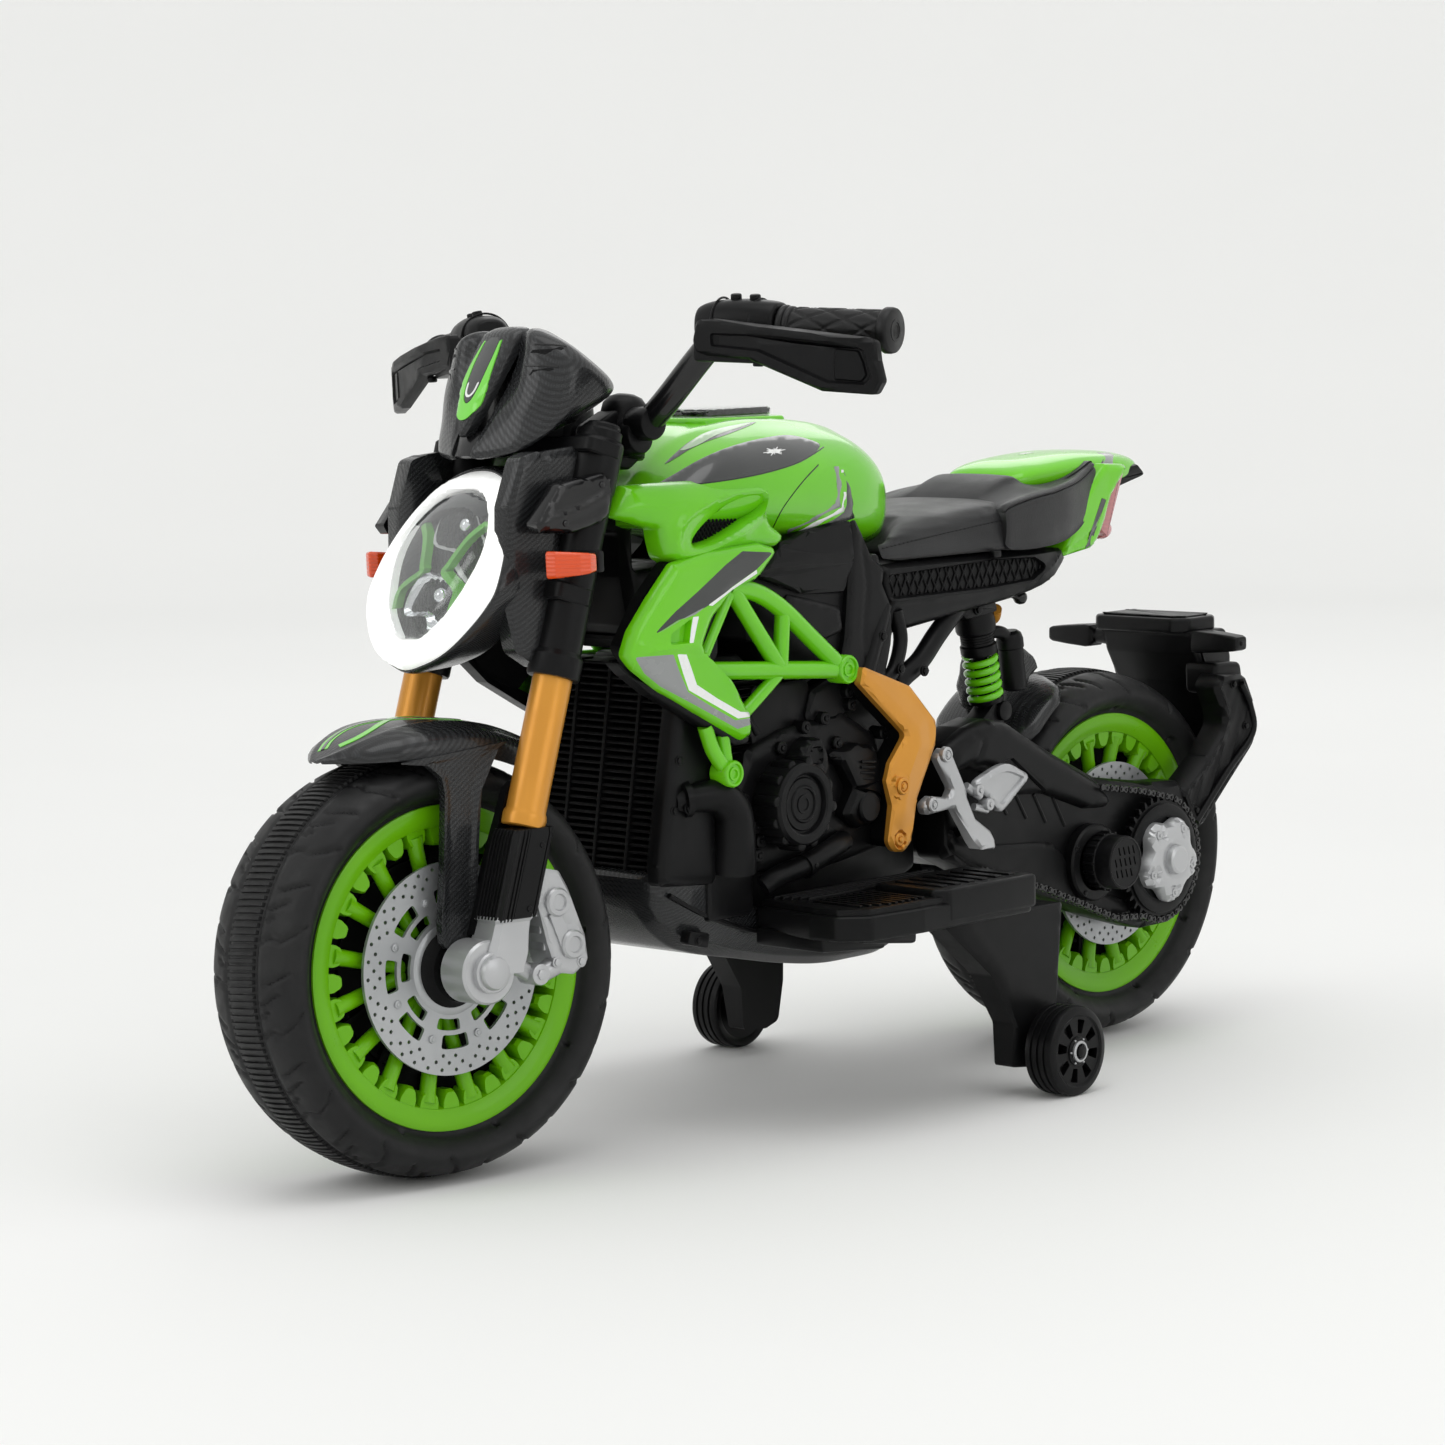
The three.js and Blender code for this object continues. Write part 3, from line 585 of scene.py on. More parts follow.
def leather_like(name):
    n = Nodes(name)
    cells = n.voronoi(520, "DISTANCE_TO_EDGE")
    fine = n.noise(900, 3)
    cloud = n.noise(12, 4)
    n.set(Base_Color=n.mix(n.ramp(cloud, 0.35, 0.65, 0, 1), rgb(0.007, 0.007, 0.0078), rgb(0.012, 0.012, 0.013)),
        Specular_IOR_Level=0.35)
    n.set(Roughness=n.ramp(n.noise(30, 5), 0.3, 0.7, 0.36, 0.52))
    n.set(Sheen_Weight=0.12, Sheen_Roughness=0.4)
    first = n.bump(n.ramp(cells, 0.0, 0.14, 0, 1), 0.00016, 0.55)
    n.bump(fine, 0.00004, 0.5, normal=first)
    return n.material


def lens(name, colour, transmission, roughness=0.03, ribs=0.0, emission=None, strength=0.0):
    n = Nodes(name)
    tint = n.ramp(n.noise(25, 2), 0.3, 0.7, 0, 1)
    deeper = tuple(c * 0.9 for c in colour[:3]) + (1.0,)
    n.set(Base_Color=n.mix(tint, colour, deeper))
    n.set(Roughness=roughness, Transmission_Weight=transmission, IOR=1.47, Coat_Weight=0.5)
    if emission:
        n.set(Emission_Color=emission, Emission_Strength=strength)
    if ribs:
        z = n.split()[2]
        wave = n.math("SINE", n.math("MULTIPLY", z, 2 * PI / (ribs * MM)))
        n.bump(wave, 0.0003, 0.6)
    else:
        n.bump(n.noise(60, 2), 0.00003, 0.4)
    return n.material


# The sheen look is a painted highlight: pale green-silver colour laid over the dark flash on the tank where light falls
# on the gloss.
M = {"green": plastic("green_gloss", rgb(0.150, 0.575, 0.006), rgb(0.128, 0.525, 0.005), 0.2, 0.03, 0.00002, 700, 0.5,
    shine=0.3), "rim": plastic("green_rim", rgb(0.145, 0.445, 0.001), rgb(0.120, 0.395, 0.001), 0.32, 0.05, 0.00003,
    700, 0.15, shine=0.25), "black": plastic("black_satin", rgb(0.003, 0.0031, 0.0034), rgb(0.0045, 0.0045, 0.005),
    0.38, 0.07, 0.00006, shine=0.17), "matt": plastic("black_matt", rgb(0.003, 0.003, 0.0033),
    rgb(0.005, 0.005, 0.0055), 0.6, 0.08, 0.0001, shine=0.15), "gloss": plastic("black_gloss",
    rgb(0.004, 0.004, 0.0045), rgb(0.006, 0.006, 0.0065), 0.22, 0.05, 0.00002, 700, 0.3, shine=0.3),
    "gold": plastic("gold_paint", rgb(0.70, 0.315, 0.042), rgb(0.62, 0.27, 0.034), 0.34, 0.05, 0.00003, 1600, 0.2,
    0.45, shine=0.3), "silver": plastic("silver_paint", rgb(0.50, 0.505, 0.515), rgb(0.43, 0.435, 0.445), 0.34, 0.05,
    0.00003, 1600, 0.2, 0.6), "disc": plastic("disc_silver", rgb(0.43, 0.44, 0.45), rgb(0.35, 0.36, 0.37), 0.38, 0.06,
    0.00003, 1500, 0.1, 0.6), "chrome": plastic("chrome", rgb(0.80, 0.80, 0.82), rgb(0.72, 0.72, 0.74), 0.1, 0.03,
    0.00001, 300, 0.0, 1.0), "dark": plastic("decal_dark", rgb(0.016, 0.018, 0.018), rgb(0.024, 0.026, 0.026), 0.24,
    0.04, 0.00001, 400, 0.6), "grey": plastic("decal_grey", rgb(0.26, 0.27, 0.27), rgb(0.22, 0.23, 0.23), 0.26, 0.04,
    0.00001, 400, 0.6), "white": plastic("decal_white", rgb(0.86, 0.87, 0.86), rgb(0.80, 0.81, 0.80), 0.26, 0.04,
    0.00001, 400, 0.6), "mint": plastic("decal_green", rgb(0.175, 0.68, 0.05), rgb(0.155, 0.62, 0.04), 0.24, 0.04,
    0.00001, 400, 0.6), "sheen": plastic("painted_sheen_green", rgb(0.34, 0.50, 0.30), rgb(0.27, 0.44, 0.22), 0.22,
    0.04, 0.00001, 400, 0.6), "carbon": carbon("carbon_print"), "tyre": rubber_like("tyre_rubber",
    rgb(0.007, 0.007, 0.0075), rgb(0.016, 0.016, 0.016), 0.52), "grip": rubber_like("grip_rubber",
    rgb(0.006, 0.006, 0.0065), rgb(0.012, 0.012, 0.012), 0.42), "leather": leather_like("seat_leather"),
    "clear": lens("clear_lens", rgb(0.96, 0.98, 0.98), 1.0), "amber": lens("amber_lens", rgb(0.78, 0.075, 0.003),
    0.15, 0.2, 3.0, rgb(0.9, 0.07, 0.0), 0.06), "red": lens("red_lens", rgb(0.72, 0.05, 0.06), 0.3, 0.14, 4.0,
    rgb(0.8, 0.03, 0.03), 0.08), "pink": lens("pink_lens", rgb(0.85, 0.36, 0.38), 0.35, 0.14, 4.0),
    "glow": lens("white_glow", rgb(0.95, 0.96, 0.95), 0.0, 0.3, 0.0, rgb(1.0, 1.0, 0.98), 0.5),
    "frost": lens("frosted_lens", rgb(0.92, 0.94, 0.93), 0.55, 0.2, 0.0, rgb(1.0, 1.0, 0.98), 0.1), }

# ---------------------------------------------------------------- camera, floor and light
PHOTO_SIDE = 1445
FOCAL_PX = 4510.7
YAW, PITCH, ROLL = math.radians(-137.6), math.radians(-6.07), math.radians(-0.9)


def set_camera():
    forward = Vector((math.cos(PITCH) * math.cos(YAW), math.cos(PITCH) * math.sin(YAW), math.sin(PITCH)))
    right = forward.cross(Vector((0, 0, 1))).normalized()
    up = right.cross(forward)
    c, s = math.cos(ROLL), math.sin(ROLL)
    right, up = c * right + s * up, c * up - s * right
    data = bpy.data.cameras.new("camera")
    data.sensor_width = 36
    data.lens = FOCAL_PX * 36 / PHOTO_SIDE
    camera = bpy.data.objects.new("camera", data)
    camera.matrix_world = Matrix.Translation((3.1086, 2.4252, 0.6947)) @ Matrix(
        (right, up, -forward)).transposed().to_4x4()
    bpy.context.scene.collection.objects.link(camera)
    bpy.context.scene.camera = camera


def area_light(name, place, target, size, power):
    data = bpy.data.lights.new(name, "AREA")
    data.shape, data.size, data.size_y, data.energy = "RECTANGLE", size[0], size[1], power
    lamp = bpy.data.objects.new(name, data)
    lamp.location = place
    lamp.rotation_euler = (Vector(target) - Vector(place)).to_track_quat("-Z", "Y").to_euler()
    bpy.context.scene.collection.objects.link(lamp)


def set_stage():
    """A pale floor that curves up a long way off, so that it has no horizon."""
    profile = [(0.0, 0.0), (5.5, 0.0)]
    profile += [(5.5 + 4.5 * math.sin(a), 4.5 * (1 - math.cos(a))) for a in np.linspace(0.05, PI / 2, 16)]
    segments = 96
    verts, faces = [(0.45, 0, 0)], []
    for r, z in profile[1:]:
        verts += [(0.45 + r * math.cos(a), r * math.sin(a), z) for a in np.arange(segments) / segments * 2 * PI]
    for i in range(segments):
        j = (i + 1) % segments
        faces.append((0, 1 + i, 1 + j))
        for ring in range(len(profile) - 2):
            a, b = 1 + ring * segments, 1 + (ring + 1) * segments
            faces.append((a + i, b + i, b + j, a + j))
    mesh = bpy.data.meshes.new("floor")
    mesh.from_pydata(verts, [], faces)
    for p in mesh.polygons:
        p.use_smooth = True
    n = Nodes("floor")
    cloud = n.ramp(n.noise(1.3, 3), 0.3, 0.7, 0, 1)
    n.set(Base_Color=n.mix(cloud, rgb(0.86, 0.86, 0.852), rgb(0.85, 0.85, 0.842)), Roughness=0.8)
    x, y, z = n.split()[:3]
    away = n.math("SQRT", n.math("ADD", n.math("MULTIPLY", x, x), n.math("MULTIPLY", y, y)))
    n.set(Emission_Color=rgb(1.0, 1.0, 0.985), Emission_Strength=n.ramp(away, 1.5, 6.0, 0.0, 0.1))
    mesh.materials.append(n.material)
    floor = bpy.data.objects.new("floor", mesh)
    bpy.context.scene.collection.objects.link(floor)
    world = bpy.data.worlds.new("studio")
    world.use_nodes = True
    background = world.node_tree.nodes["Background"]
    background.inputs[0].default_value = (0.98, 0.985, 0.975, 1)
    background.inputs[1].default_value = 0.86
    bpy.context.scene.world = world
    bpy.context.scene.view_settings.view_transform = "Standard"


set_camera()
set_stage()
area_light("top", (0.7, 0.6, 3.4), (0.45, 0, 0.3), (2.6, 2.2), 26)
area_light("front_left", (3.6, -1.2, 2.2), (0.6, 0, 0.35), (1.6, 1.8), 13)
area_light("near_side", (0.2, 3.8, 1.7), (0.4, 0, 0.35), (2.4, 1.4), 11)
area_light("behind", (-2.6, -2.2, 2.4), (0.3, 0, 0.4), (2.0, 1.6), 10)

# ---------------------------------------------------------------- road wheels
def tyre_carcass(stations=560):
    """The tyre about an axle at the origin, with grooves sunk into its shoulders and sidewalls."""
    half = spline([(117.6, 37.9), (124.6, 39), (129, 45.5), (135, 51.5), (141, 53.6), (147, 50.5), (152, 43.5),
        (155.6, 33), (157.3, 22), (157.9, 10), (158.0, 0)], 3)
    profile = np.vstack([half, (half * (1, -1))[::-1][1:]])
    count = len(profile)
    steps = np.linalg.norm(np.diff(profile, axis=0), axis=1)
    along = np.concatenate([[0], np.cumsum(steps)])
    along = along - along[-1] / 2
    normal = np.gradient(profile, axis=0)
    normal = np.stack([normal[:, 1], -normal[:, 0]], 1)
    normal /= np.linalg.norm(normal, axis=1)[:, None]
    if normal[count // 2][0] < 0:
        normal = -normal
    angles = np.arange(stations) / stations * 2 * PI
    a_grid, s_grid = np.meshgrid(angles, along, indexing="ij")
    depth = np.zeros_like(a_grid)
    unit = 2 * PI / 14
    arc = 150.0
    grooves = [
        ([(0, 21), (5, 32), (1, 38), (9, 52), (16, 60)], 1.9),
        ([(24, 26), (32, 41)], 1.6),
        ([(38, 30), (47, 50)], 1.6),
        ([(14, 24), (20, 31)], 1.4),
    ]
    for side in (1, -1):
        phase = 0 if side == 1 else unit / 2
        a_local = np.mod(a_grid + phase, unit) * arc
        t = side * s_grid
        for shift in (0, unit * arc, -unit * arc):
            for path, width in grooves:
                q = np.stack([a_local + shift, t], -1).reshape(-1, 2)
                near = (q[:, 1] > 17) & (q[:, 1] < 66) & (q[:, 0] > -6) & (q[:, 0] < 54)
                if not near.any():
                    continue
                d = np.full(len(q), 99.0)
                sub = q[near]
                best = np.full(len(sub), 99.0)
                for p0, p1 in zip(path[:-1], path[1:]):
                    p0, p1 = np.array(p0, float), np.array(p1, float)
                    e = p1 - p0
                    k = np.clip(((sub - p0) @ e) / (e @ e), 0, 1)
                    best = np.minimum(best, np.linalg.norm(sub - p0 - k[:, None] * e, axis=1))
                d[near] = best
                cutting = 2.3 * np.clip(1.35 - d / width, 0, 1)
                depth = np.maximum(depth, cutting.reshape(depth.shape))
        ring = np.abs(t - 18.6)
        depth = np.maximum(depth, 1.7 * np.clip(1.5 - ring / 1.3, 0, 1))
        dots = np.mod(a_grid + phase * 0.5, 2 * PI / 9) - PI / 9
        r_here = np.interp(s_grid.ravel(), along, profile[:, 0]).reshape(s_grid.shape)
        round_hole = np.hypot(dots * r_here, t - 79)
        depth = np.maximum(depth, 3.2 * np.clip(1.9 - round_hole / 1.7, 0, 1))
        lip = np.abs(t - 86.5)
        depth -= 0.5 * np.clip(1.4 - lip / 0.9, 0, 1)
    radius = profile[None, :, 0] - depth * normal[None, :, 0]
    y = profile[None, :, 1] - depth * normal[None, :, 1]
    verts = np.stack([radius * np.cos(a_grid), np.broadcast_to(y, radius.shape), radius * np.sin(a_grid)], -1)
    faces = []
    for s in range(stations):
        n0, n1 = s * count, ((s + 1) % stations) * count
        faces += [(n0 + i, n0 + i + 1, n1 + i + 1, n1 + i) for i in range(count - 1)]
        faces.append((n0 + count - 1, n0, n1, n1 + count - 1))
    return Solid(verts.reshape(-1, 3), faces)


def tread_ribs(count=190):
    """Cross ribs on the crown, each one a low bar that follows the tyre's curve."""
    stations = [(-16.5, 157.0), (-15.8, 158.9), (-8, 159.6), (0, 159.85), (8, 159.6), (15.8, 158.9), (16.5, 157.0)]
    solids = []
    for k in range(count):
        a = k / count * 2 * PI
        rings = []
        for y, r in stations:
            lean = 0.006 * y / 16
            ring = []
            for da, dr in ((-0.0105, -2.4), (-0.0085, 0), (0.0085, 0), (0.0105, -2.4)):
                angle = a + da + lean
                ring.append(((r + dr) * math.cos(angle), y, (r + dr) * math.sin(angle)))
            rings.append(np.array(ring))
        solids.append(loft(rings))
    return total(solids)


def rim_solid():
    """Rim ring with 8 pairs of round spokes and blunt stubs between them."""
    barrel = [(104.5, -33), (106, -37), (110, -39), (114.5, -40.3), (119.5, -40.8), (122.0, -40.0), (122.3, -38.4),
        (117, -37.9), (117, 37.9), (122.3, 38.4), (122.0, 40.0), (119.5, 40.8), (114.5, 40.3), (110, 39), (106, 37),
        (104.5, 33), (103, 30), (102.6, 0), (103, -30), (104.5, -33)]
    solids = [lathe(barrel, 120)]
    for i in range(16):
        pair, which = divmod(i, 2)
        axis = pair * PI / 4
        root = axis + (1 if which else -1) * math.radians(11.25)
        toe = axis + (1 if which else -1) * math.radians(5.0)
        for side in (1, -1):
            y_root, y_toe = side * 31.5, side * 27
            start = (101.5 * math.cos(root), y_root, 101.5 * math.sin(root))
            end = (31 * math.cos(toe), y_toe, 31 * math.sin(toe))
            solids.append(turned(start, end, [(0, 7.4), (8, 6.3), (40, 5.6), (72, 5.4)], 14))
            solids.append(tab(root, side, 17, 13.5, 93))
            solids.append(tab(axis + (PI / 8 if which else 0), side, 14.5, 9.0, 91.5))
    return total(solids)


def tab(angle, side, root_width, tip_width, inner):
    """A blunt wedge that stands on the inside of the rim."""
    u = np.array([math.cos(angle), 0, math.sin(angle)])
    v = np.array([-math.sin(angle), 0, math.cos(angle)])
    y0, y1 = side * 22, side * 36
    rings = []
    for y, tuck in ((y0, 0), (y1 - side * 3, 0), (y1, 2.2)):
        corners = [(107, -root_width / 2), (101, -root_width / 2 + 0.3), (inner + 1.6 + tuck, -tip_width / 2),
                   (inner + tuck, -tip_width / 2 + 1.8), (inner + tuck, tip_width / 2 - 1.8),
                   (inner + 1.6 + tuck, tip_width / 2), (101, root_width / 2 - 0.3), (107, root_width / 2)]
        rings.append(np.array([u * r + v * w + (0, y, 0) for r, w in corners]))
    return loft(rings)


def wheel_core():
    """The dark drum behind the spokes: hub, web and its ribs."""
    hub = lathe([(8.9, -41), (30, -41), (33.5, -38), (33.5, 38), (30, 41), (8.9, 41), (8.9, -41)], 48)
    web = lathe([(30, -9), (102.9, -9), (102.9, 9), (30, 9), (30, -9)], 60)
    solids = [hub, web]
    for k in range(12):
        a = k / 12 * 2 * PI + 0.1
        rib = box(40, 100, -15, 15, -2, 2, 0.8)
        solids.append(rib.at(turn((0, 1, 0), -a)))
    for radius in (52, 78):
        solids.append(lathe([(radius, -13), (radius + 3, -13), (radius + 3, 13), (radius, 13), (radius, -13)], 60))
    return total(solids)


def ring_outline(radius, count, x=0.0, z=0.0, start=0.0):
    angles = start + np.arange(count) / count * 2 * PI
    return np.stack([x + radius * np.cos(angles), z + radius * np.sin(angles)], 1)


def arc_window(r0, r1, middle, half_angle, corner=2.0):
    """A window between two radii, with rounded corners."""
    steps = np.linspace(-half_angle, half_angle, 5)
    outer = [(r1 * math.cos(middle + a), r1 * math.sin(middle + a)) for a in steps]
    inner = [(r0 * math.cos(middle + a), r0 * math.sin(middle + a)) for a in steps[::-1]]
    return rounded(outer + inner, corner, 3)


def disc_solid():
    """A brake disc at y = 0, drilled in three rows, on a carrier with windows and bolts."""
    holes = []
    for row, (radius, size, shift) in enumerate(((76, 1.55, 0), (70.6, 1.55, 0.5), (65.4, 1.55, 0))):
        for k in range(36):
            if row == 2 and k % 3 == 2:
                continue
            a = (k + shift) / 36 * 2 * PI
            holes.append(ring_outline(size, 8, radius * math.cos(a), radius * math.sin(a)))
    for k in range(8):
        holes.append(arc_window(50, 60.5, k * PI / 4, math.radians(12.5), 2.2))
        holes.append(arc_window(38, 46.5, k * PI / 4 + 0.12, math.radians(14), 2.2))
    plate_part = relief(ring_outline(80, 108), 1.5, -1.5, holes=[*holes, ring_outline(30, 40)], spacing=9)
    solids = [plate_part]
    for k in range(8):
        a = (k + 0.5) * PI / 4
        x, z = 55 * math.cos(a), 55 * math.sin(a)
        solids.append(rod((x, -1, z), (x, 3.2, z), 3.2, 12, 0.8))
        solids.append(rod((x, 1, z), (x, 4.0, z), 1.7, 10, 0.4))
    solids.append(lathe([(29.5, -1.4), (35, -1.4), (35, 1.4), (33.5, 2.6), (31, 3), (29.5, 3), (29.5, -1.4)], 48))
    return total(solids)


def disc_carrier(side):
    """The dark sleeve between the hub and the disc."""
    profile = [(9, 41.5), (29.4, 41.5), (29.4, 46), (26, 49), (24, 55), (9, 56), (9, 41.5)]
    return lathe([(r, side * y) for r, y in profile], 40)


carcass, ribs, rim_part, core_part = tyre_carcass(), tread_ribs(), rim_solid(), wheel_core()
disc_part = disc_solid()
for end, x, body in (("front", WHEELBASE, "front_wheel"), ("rear", 0, "rear_wheel")):
    steered = end == "front"
    place = move(x, 0, TYRE_RADIUS)
    tyre_all = (carcass + ribs).at(place)
    make(f"{end}_tyre_look", tyre_all, M["tyre"], body, [f"{end}_tyre"], steered, 40)
    make(f"{end}_rim_look", rim_part.at(place), M["rim"], body, [f"{end}_rim"], steered, 35)
    make(f"{end}_wheel_core", core_part.at(place), M["matt"], body, (), steered)
    for name, side in SIDES:
        if end == "rear" and name == "right":
            continue
        shown = disc_part.at(move(0, 43, 0))
        shown = shown if side == 1 else shown.flip_y()
        node = f"front_disc_{name}" if end == "front" else "rear_disc"
        make(f"{node}_look", shown.at(place), M["disc"], body, [node], steered, 30)
        make(f"{node}_sleeve", disc_carrier(side).at(place), M["matt"], body, (), steered)

# ---------------------------------------------------------------- surface helpers
def tree_of(solid):
    return BVHTree.FromPolygons([Vector(v) for v in solid.verts], solid.faces)


def decal(outline, tree, place, direction, lift=0.35, holes=(), spacing=4.0, mats=0):
    """A thin skin on a surface: place() gives each [u, v] point's start, direction the way from there."""
    verts, faces, _ = flat_mesh(outline, holes, (), spacing)
    direction = Vector(direction).normalized()
    top, good = [], []
    for u, v in verts:
        hit, normal, _, _ = tree.ray_cast(Vector(place(u, v)), direction)
        good.append(hit is not None)
        if hit is None:
            top.append((0, 0, 0))
            continue
        if normal.dot(direction) > 0:
            normal = -normal
        top.append(tuple(hit + normal * lift * 0.5 - direction * lift * 0.5))
    top = np.array(top)
    bottom = top + np.array(direction) * (lift + 0.5)
    n = len(top)
    kept = [f for f in faces if all(good[i] for i in f)]
    used = {}
    for f in kept:
        for a, b in zip(f, f[1:] + f[:1]):
            used.setdefault((min(a, b), max(a, b)), []).append((a, b))
    walls = [(b, a, a + n, b + n) for a, b in (e[0] for e in used.values() if len(e) == 1)]
    all_faces = list(kept) + [tuple(i + n for i in f[::-1]) for f in kept] + walls
    index = {old: new for new, old in enumerate(sorted({i for f in all_faces for i in f}))}
    stacked = np.vstack([top, bottom])[sorted(index)]
    return Solid(stacked, [tuple(index[i] for i in f) for f in all_faces], mats)


def side_decal(outline, tree, side, **settings):
    return decal(outline, tree, lambda u, v: (u, side * 400, v), (0, -side, 0), **settings)


def facing(solid):
    """A panel drawn in [y, z] with its depth along X."""
    return Solid(solid.verts[:, [1, 0, 2]], [f[::-1] for f in solid.faces], solid.mats)


def mirrored_outline(half):
    return [(y, z) for y, z in half] + [(-y, z) for y, z in half[::-1] if abs(y) > 1e-6]


def ribbon(points, width):
    """The outline of a strip of one width along a line of points."""
    p = np.array(points, float)
    t = np.gradient(p, axis=0)
    t /= np.linalg.norm(t, axis=1)[:, None]
    n = np.stack([-t[:, 1], t[:, 0]], 1)
    w = np.full(len(p), float(width)) if np.isscalar(width) else np.array(width, float)
    return np.vstack([p + n * w[:, None] / 2, (p - n * w[:, None] / 2)[::-1]])


def column(outline, levels, y0=0.0, mats=0):
    """A body along the raked fork. The outline is [ahead, y] points; levels are (z, scale)."""
    rings = []
    for z, scale in levels:
        rings.append(np.array([fork_at(y0 + y * scale, z, a * scale) for a, y in outline]))
    return loft(rings, mats=mats)


def bolt(x, y, z, radius, side, height=2.0, sides=6):
    """A screw head on a surface that looks along Y."""
    head = rod((x, y - side * 1, z), (x, y + side * height, z), radius, sides, 0.5)
    washer = rod((x, y - side * 1, z), (x, y + side * height * 0.35, z), radius * 1.35, 20, 0.3)
    return head + washer


def both(solid):
    return {"left": solid, "right": solid.flip_y()}


FORK_UP = np.array([-math.sin(RAKE), 0, math.cos(RAKE)])
FORK_AHEAD = np.array([math.cos(RAKE), 0, math.sin(RAKE)])

# ---------------------------------------------------------------- front fender
ARCH_ANGLES = [63, 64.5, 67, 70, 73, 77, 81, 85, 90, 95, 100, 106, 112, 118, 122, 124]


def fender_ring(angle, drop=0.0, points=33):
    top = np.interp(angle, [63, 72.5, 80, 95, 106, 124], [180.4, 183.4, 185.4, 185.6, 186.6, 187.0])
    half = np.interp(angle, [63, 64.5, 67, 70, 76, 84, 95, 118, 124], [9, 18, 29, 38.5, 50, 56, 57, 57, 50])
    a = math.radians(angle)
    low = 158 / math.sin(a) if angle < 92 else 158 + max(0, angle - 112) * 0.5
    low = min(low, top - 1.5)
    ring = []
    for k in range(points):
        t = -1 + 2 * k / (points - 1)
        phi = t * PI / 2
        y = (half - drop) * math.copysign(abs(math.sin(phi)) ** 0.86, t)
        ridge = 1.2 * math.exp(-((abs(y) - 0.6 * half) / 3.0) ** 2)
        r = low + (top - drop - low) * abs(math.cos(phi)) ** 0.62 + ridge * (abs(t) < 0.95)
        ring.append((WHEELBASE + r * math.cos(a), y, TYRE_RADIUS + r * math.sin(a)))
    return np.array(ring)


def fender_solid():
    angles = np.interp(np.linspace(0, len(ARCH_ANGLES) - 1, 46), range(len(ARCH_ANGLES)), ARCH_ANGLES)
    return loft([np.vstack([fender_ring(a), fender_ring(a, 3.0)[::-1]]) for a in angles])


fender = fender_solid()
make("front_fender_look", fender, M["carbon"], "steering", ["front_fender"], True, 40)
STAY = rounded([(844, 317), (818, 314), (806, 304), (804, 292), (808, 240), (813, 196), (812, 178), (784, 172), (779, 200),
    (777, 235), (770, 292), (752, 322), (742, 326)], 6, 3)
stay_rim = inset(STAY, 4.5)
stay = relief(STAY, lambda p: 62.2 - 1.6 * np.clip((edge_distance(p, STAY) - 3.2) / 2.2, 0, 1), 55.5,
              zones=[(stay_rim, 0)], spacing=4)
for name, solid in both(stay).items():
    make(f"fender_stay_{name}", solid, M["carbon"], "steering", (), True, 30)

fender_tree = tree_of(fender)


def over_fender(u, v):
    """u is the angle round the wheel in millimetres along the crown, v the place across it."""
    a = math.radians(64) + u / 185
    return (WHEELBASE + 260 * math.cos(a), v, TYRE_RADIUS + 260 * math.sin(a))


def fender_strip(points, width, lift):
    outline = ribbon(spline(points, 6), width)
    verts, faces, _ = flat_mesh(outline, (), (), 4.0)
    top, bottom = [], []
    for u, v in verts:
        start = Vector(over_fender(u, v))
        aim = (Vector((WHEELBASE, v, TYRE_RADIUS)) - start).normalized()
        hit, _, _, _ = fender_tree.ray_cast(start, aim)
        hit = hit or start
        top.append(tuple(hit - aim * lift))
        bottom.append(tuple(hit + aim * 0.8))
    n = len(top)
    edge = {}
    for f in faces:
        for a, b in zip(f, f[1:] + f[:1]):
            edge.setdefault((min(a, b), max(a, b)), []).append((a, b))
    walls = [(b, a, a + n, b + n) for a, b in (e[0] for e in edge.values() if len(e) == 1)]
    return Solid(top + bottom, list(faces) + [tuple(i + n for i in f[::-1]) for f in faces] + walls)


swoosh = [(10, -6), (24, -14), (44, -18), (62, -10), (80, 6), (100, 18), (120, 22)]
swoosh_2 = [(16, 8), (30, 14), (48, 12), (66, 2), (84, -10), (104, -18), (124, -20)]
make("fender_stripe_outer", fender_strip(swoosh, 9, 0.35), M["mint"], "steering", (), True)
make("fender_stripe_inner", fender_strip(swoosh_2, 6, 0.5), M["mint"], "steering", (), True)
make("fender_stripe_dark", fender_strip(swoosh, 3, 0.65), M["dark"], "steering", (), True)

# ---------------------------------------------------------------- fork legs, hubs and calipers
LEG_HALF = 18.5


def leg_outline():
    """A squared leg with ribs along its front and its outer face."""
    pts = [(-LEG_HALF, -15), (LEG_HALF - 3, -15)]
    for k in range(7):
        y = -13 + k * 4
        pts += [(LEG_HALF - 1.6, y), (LEG_HALF, y + 0.6), (LEG_HALF, y + 2.2), (LEG_HALF - 1.6, y + 2.8)]
    pts += [(LEG_HALF - 2.5, 17)]
    for k in range(3):
        a = LEG_HALF - 4 - k * 3.4
        pts += [(a, 17.6), (a - 0.5, 18.6), (a - 1.9, 18.6), (a - 2.4, 17.6)]
    pts += [(5, 18.2), (-12, 18.2)]
    pts += [(-12.6, 17.2), (-13.1, 18.2), (-15.0, 18.2), (-15.5, 17.2)]
    return pts + [(-LEG_HALF, 15)]


leg = column(leg_outline(), [(196, 0.9), (198.5, 1.0), (258, 1.0), (262.5, 0.94), (263, 0.8)], 81)
leg = leg + column([(-17, -21), (16, -21), (16, -12), (-17, -12)], [(186, 1), (240, 1), (292, 0.86), (297, 0.7)], 81)
for z in (204, 250):
    p = fork_at(99, z, -8)
    leg = leg + bolt(p[0], p[1] - 0.6, p[2], 2.6, 1, 1.6)
for name, solid in both(leg).items():
    make(f"fork_leg_look_{name}", solid, M["black"], "steering", [f"fork_leg_{name}"], True, 24)

CALIPER = rounded([(756, 222), (744, 233), (722, 228), (714, 214), (700, 178), (698, 158), (712, 149), (728, 152),
    (736, 176), (742, 202)], 5, 4)


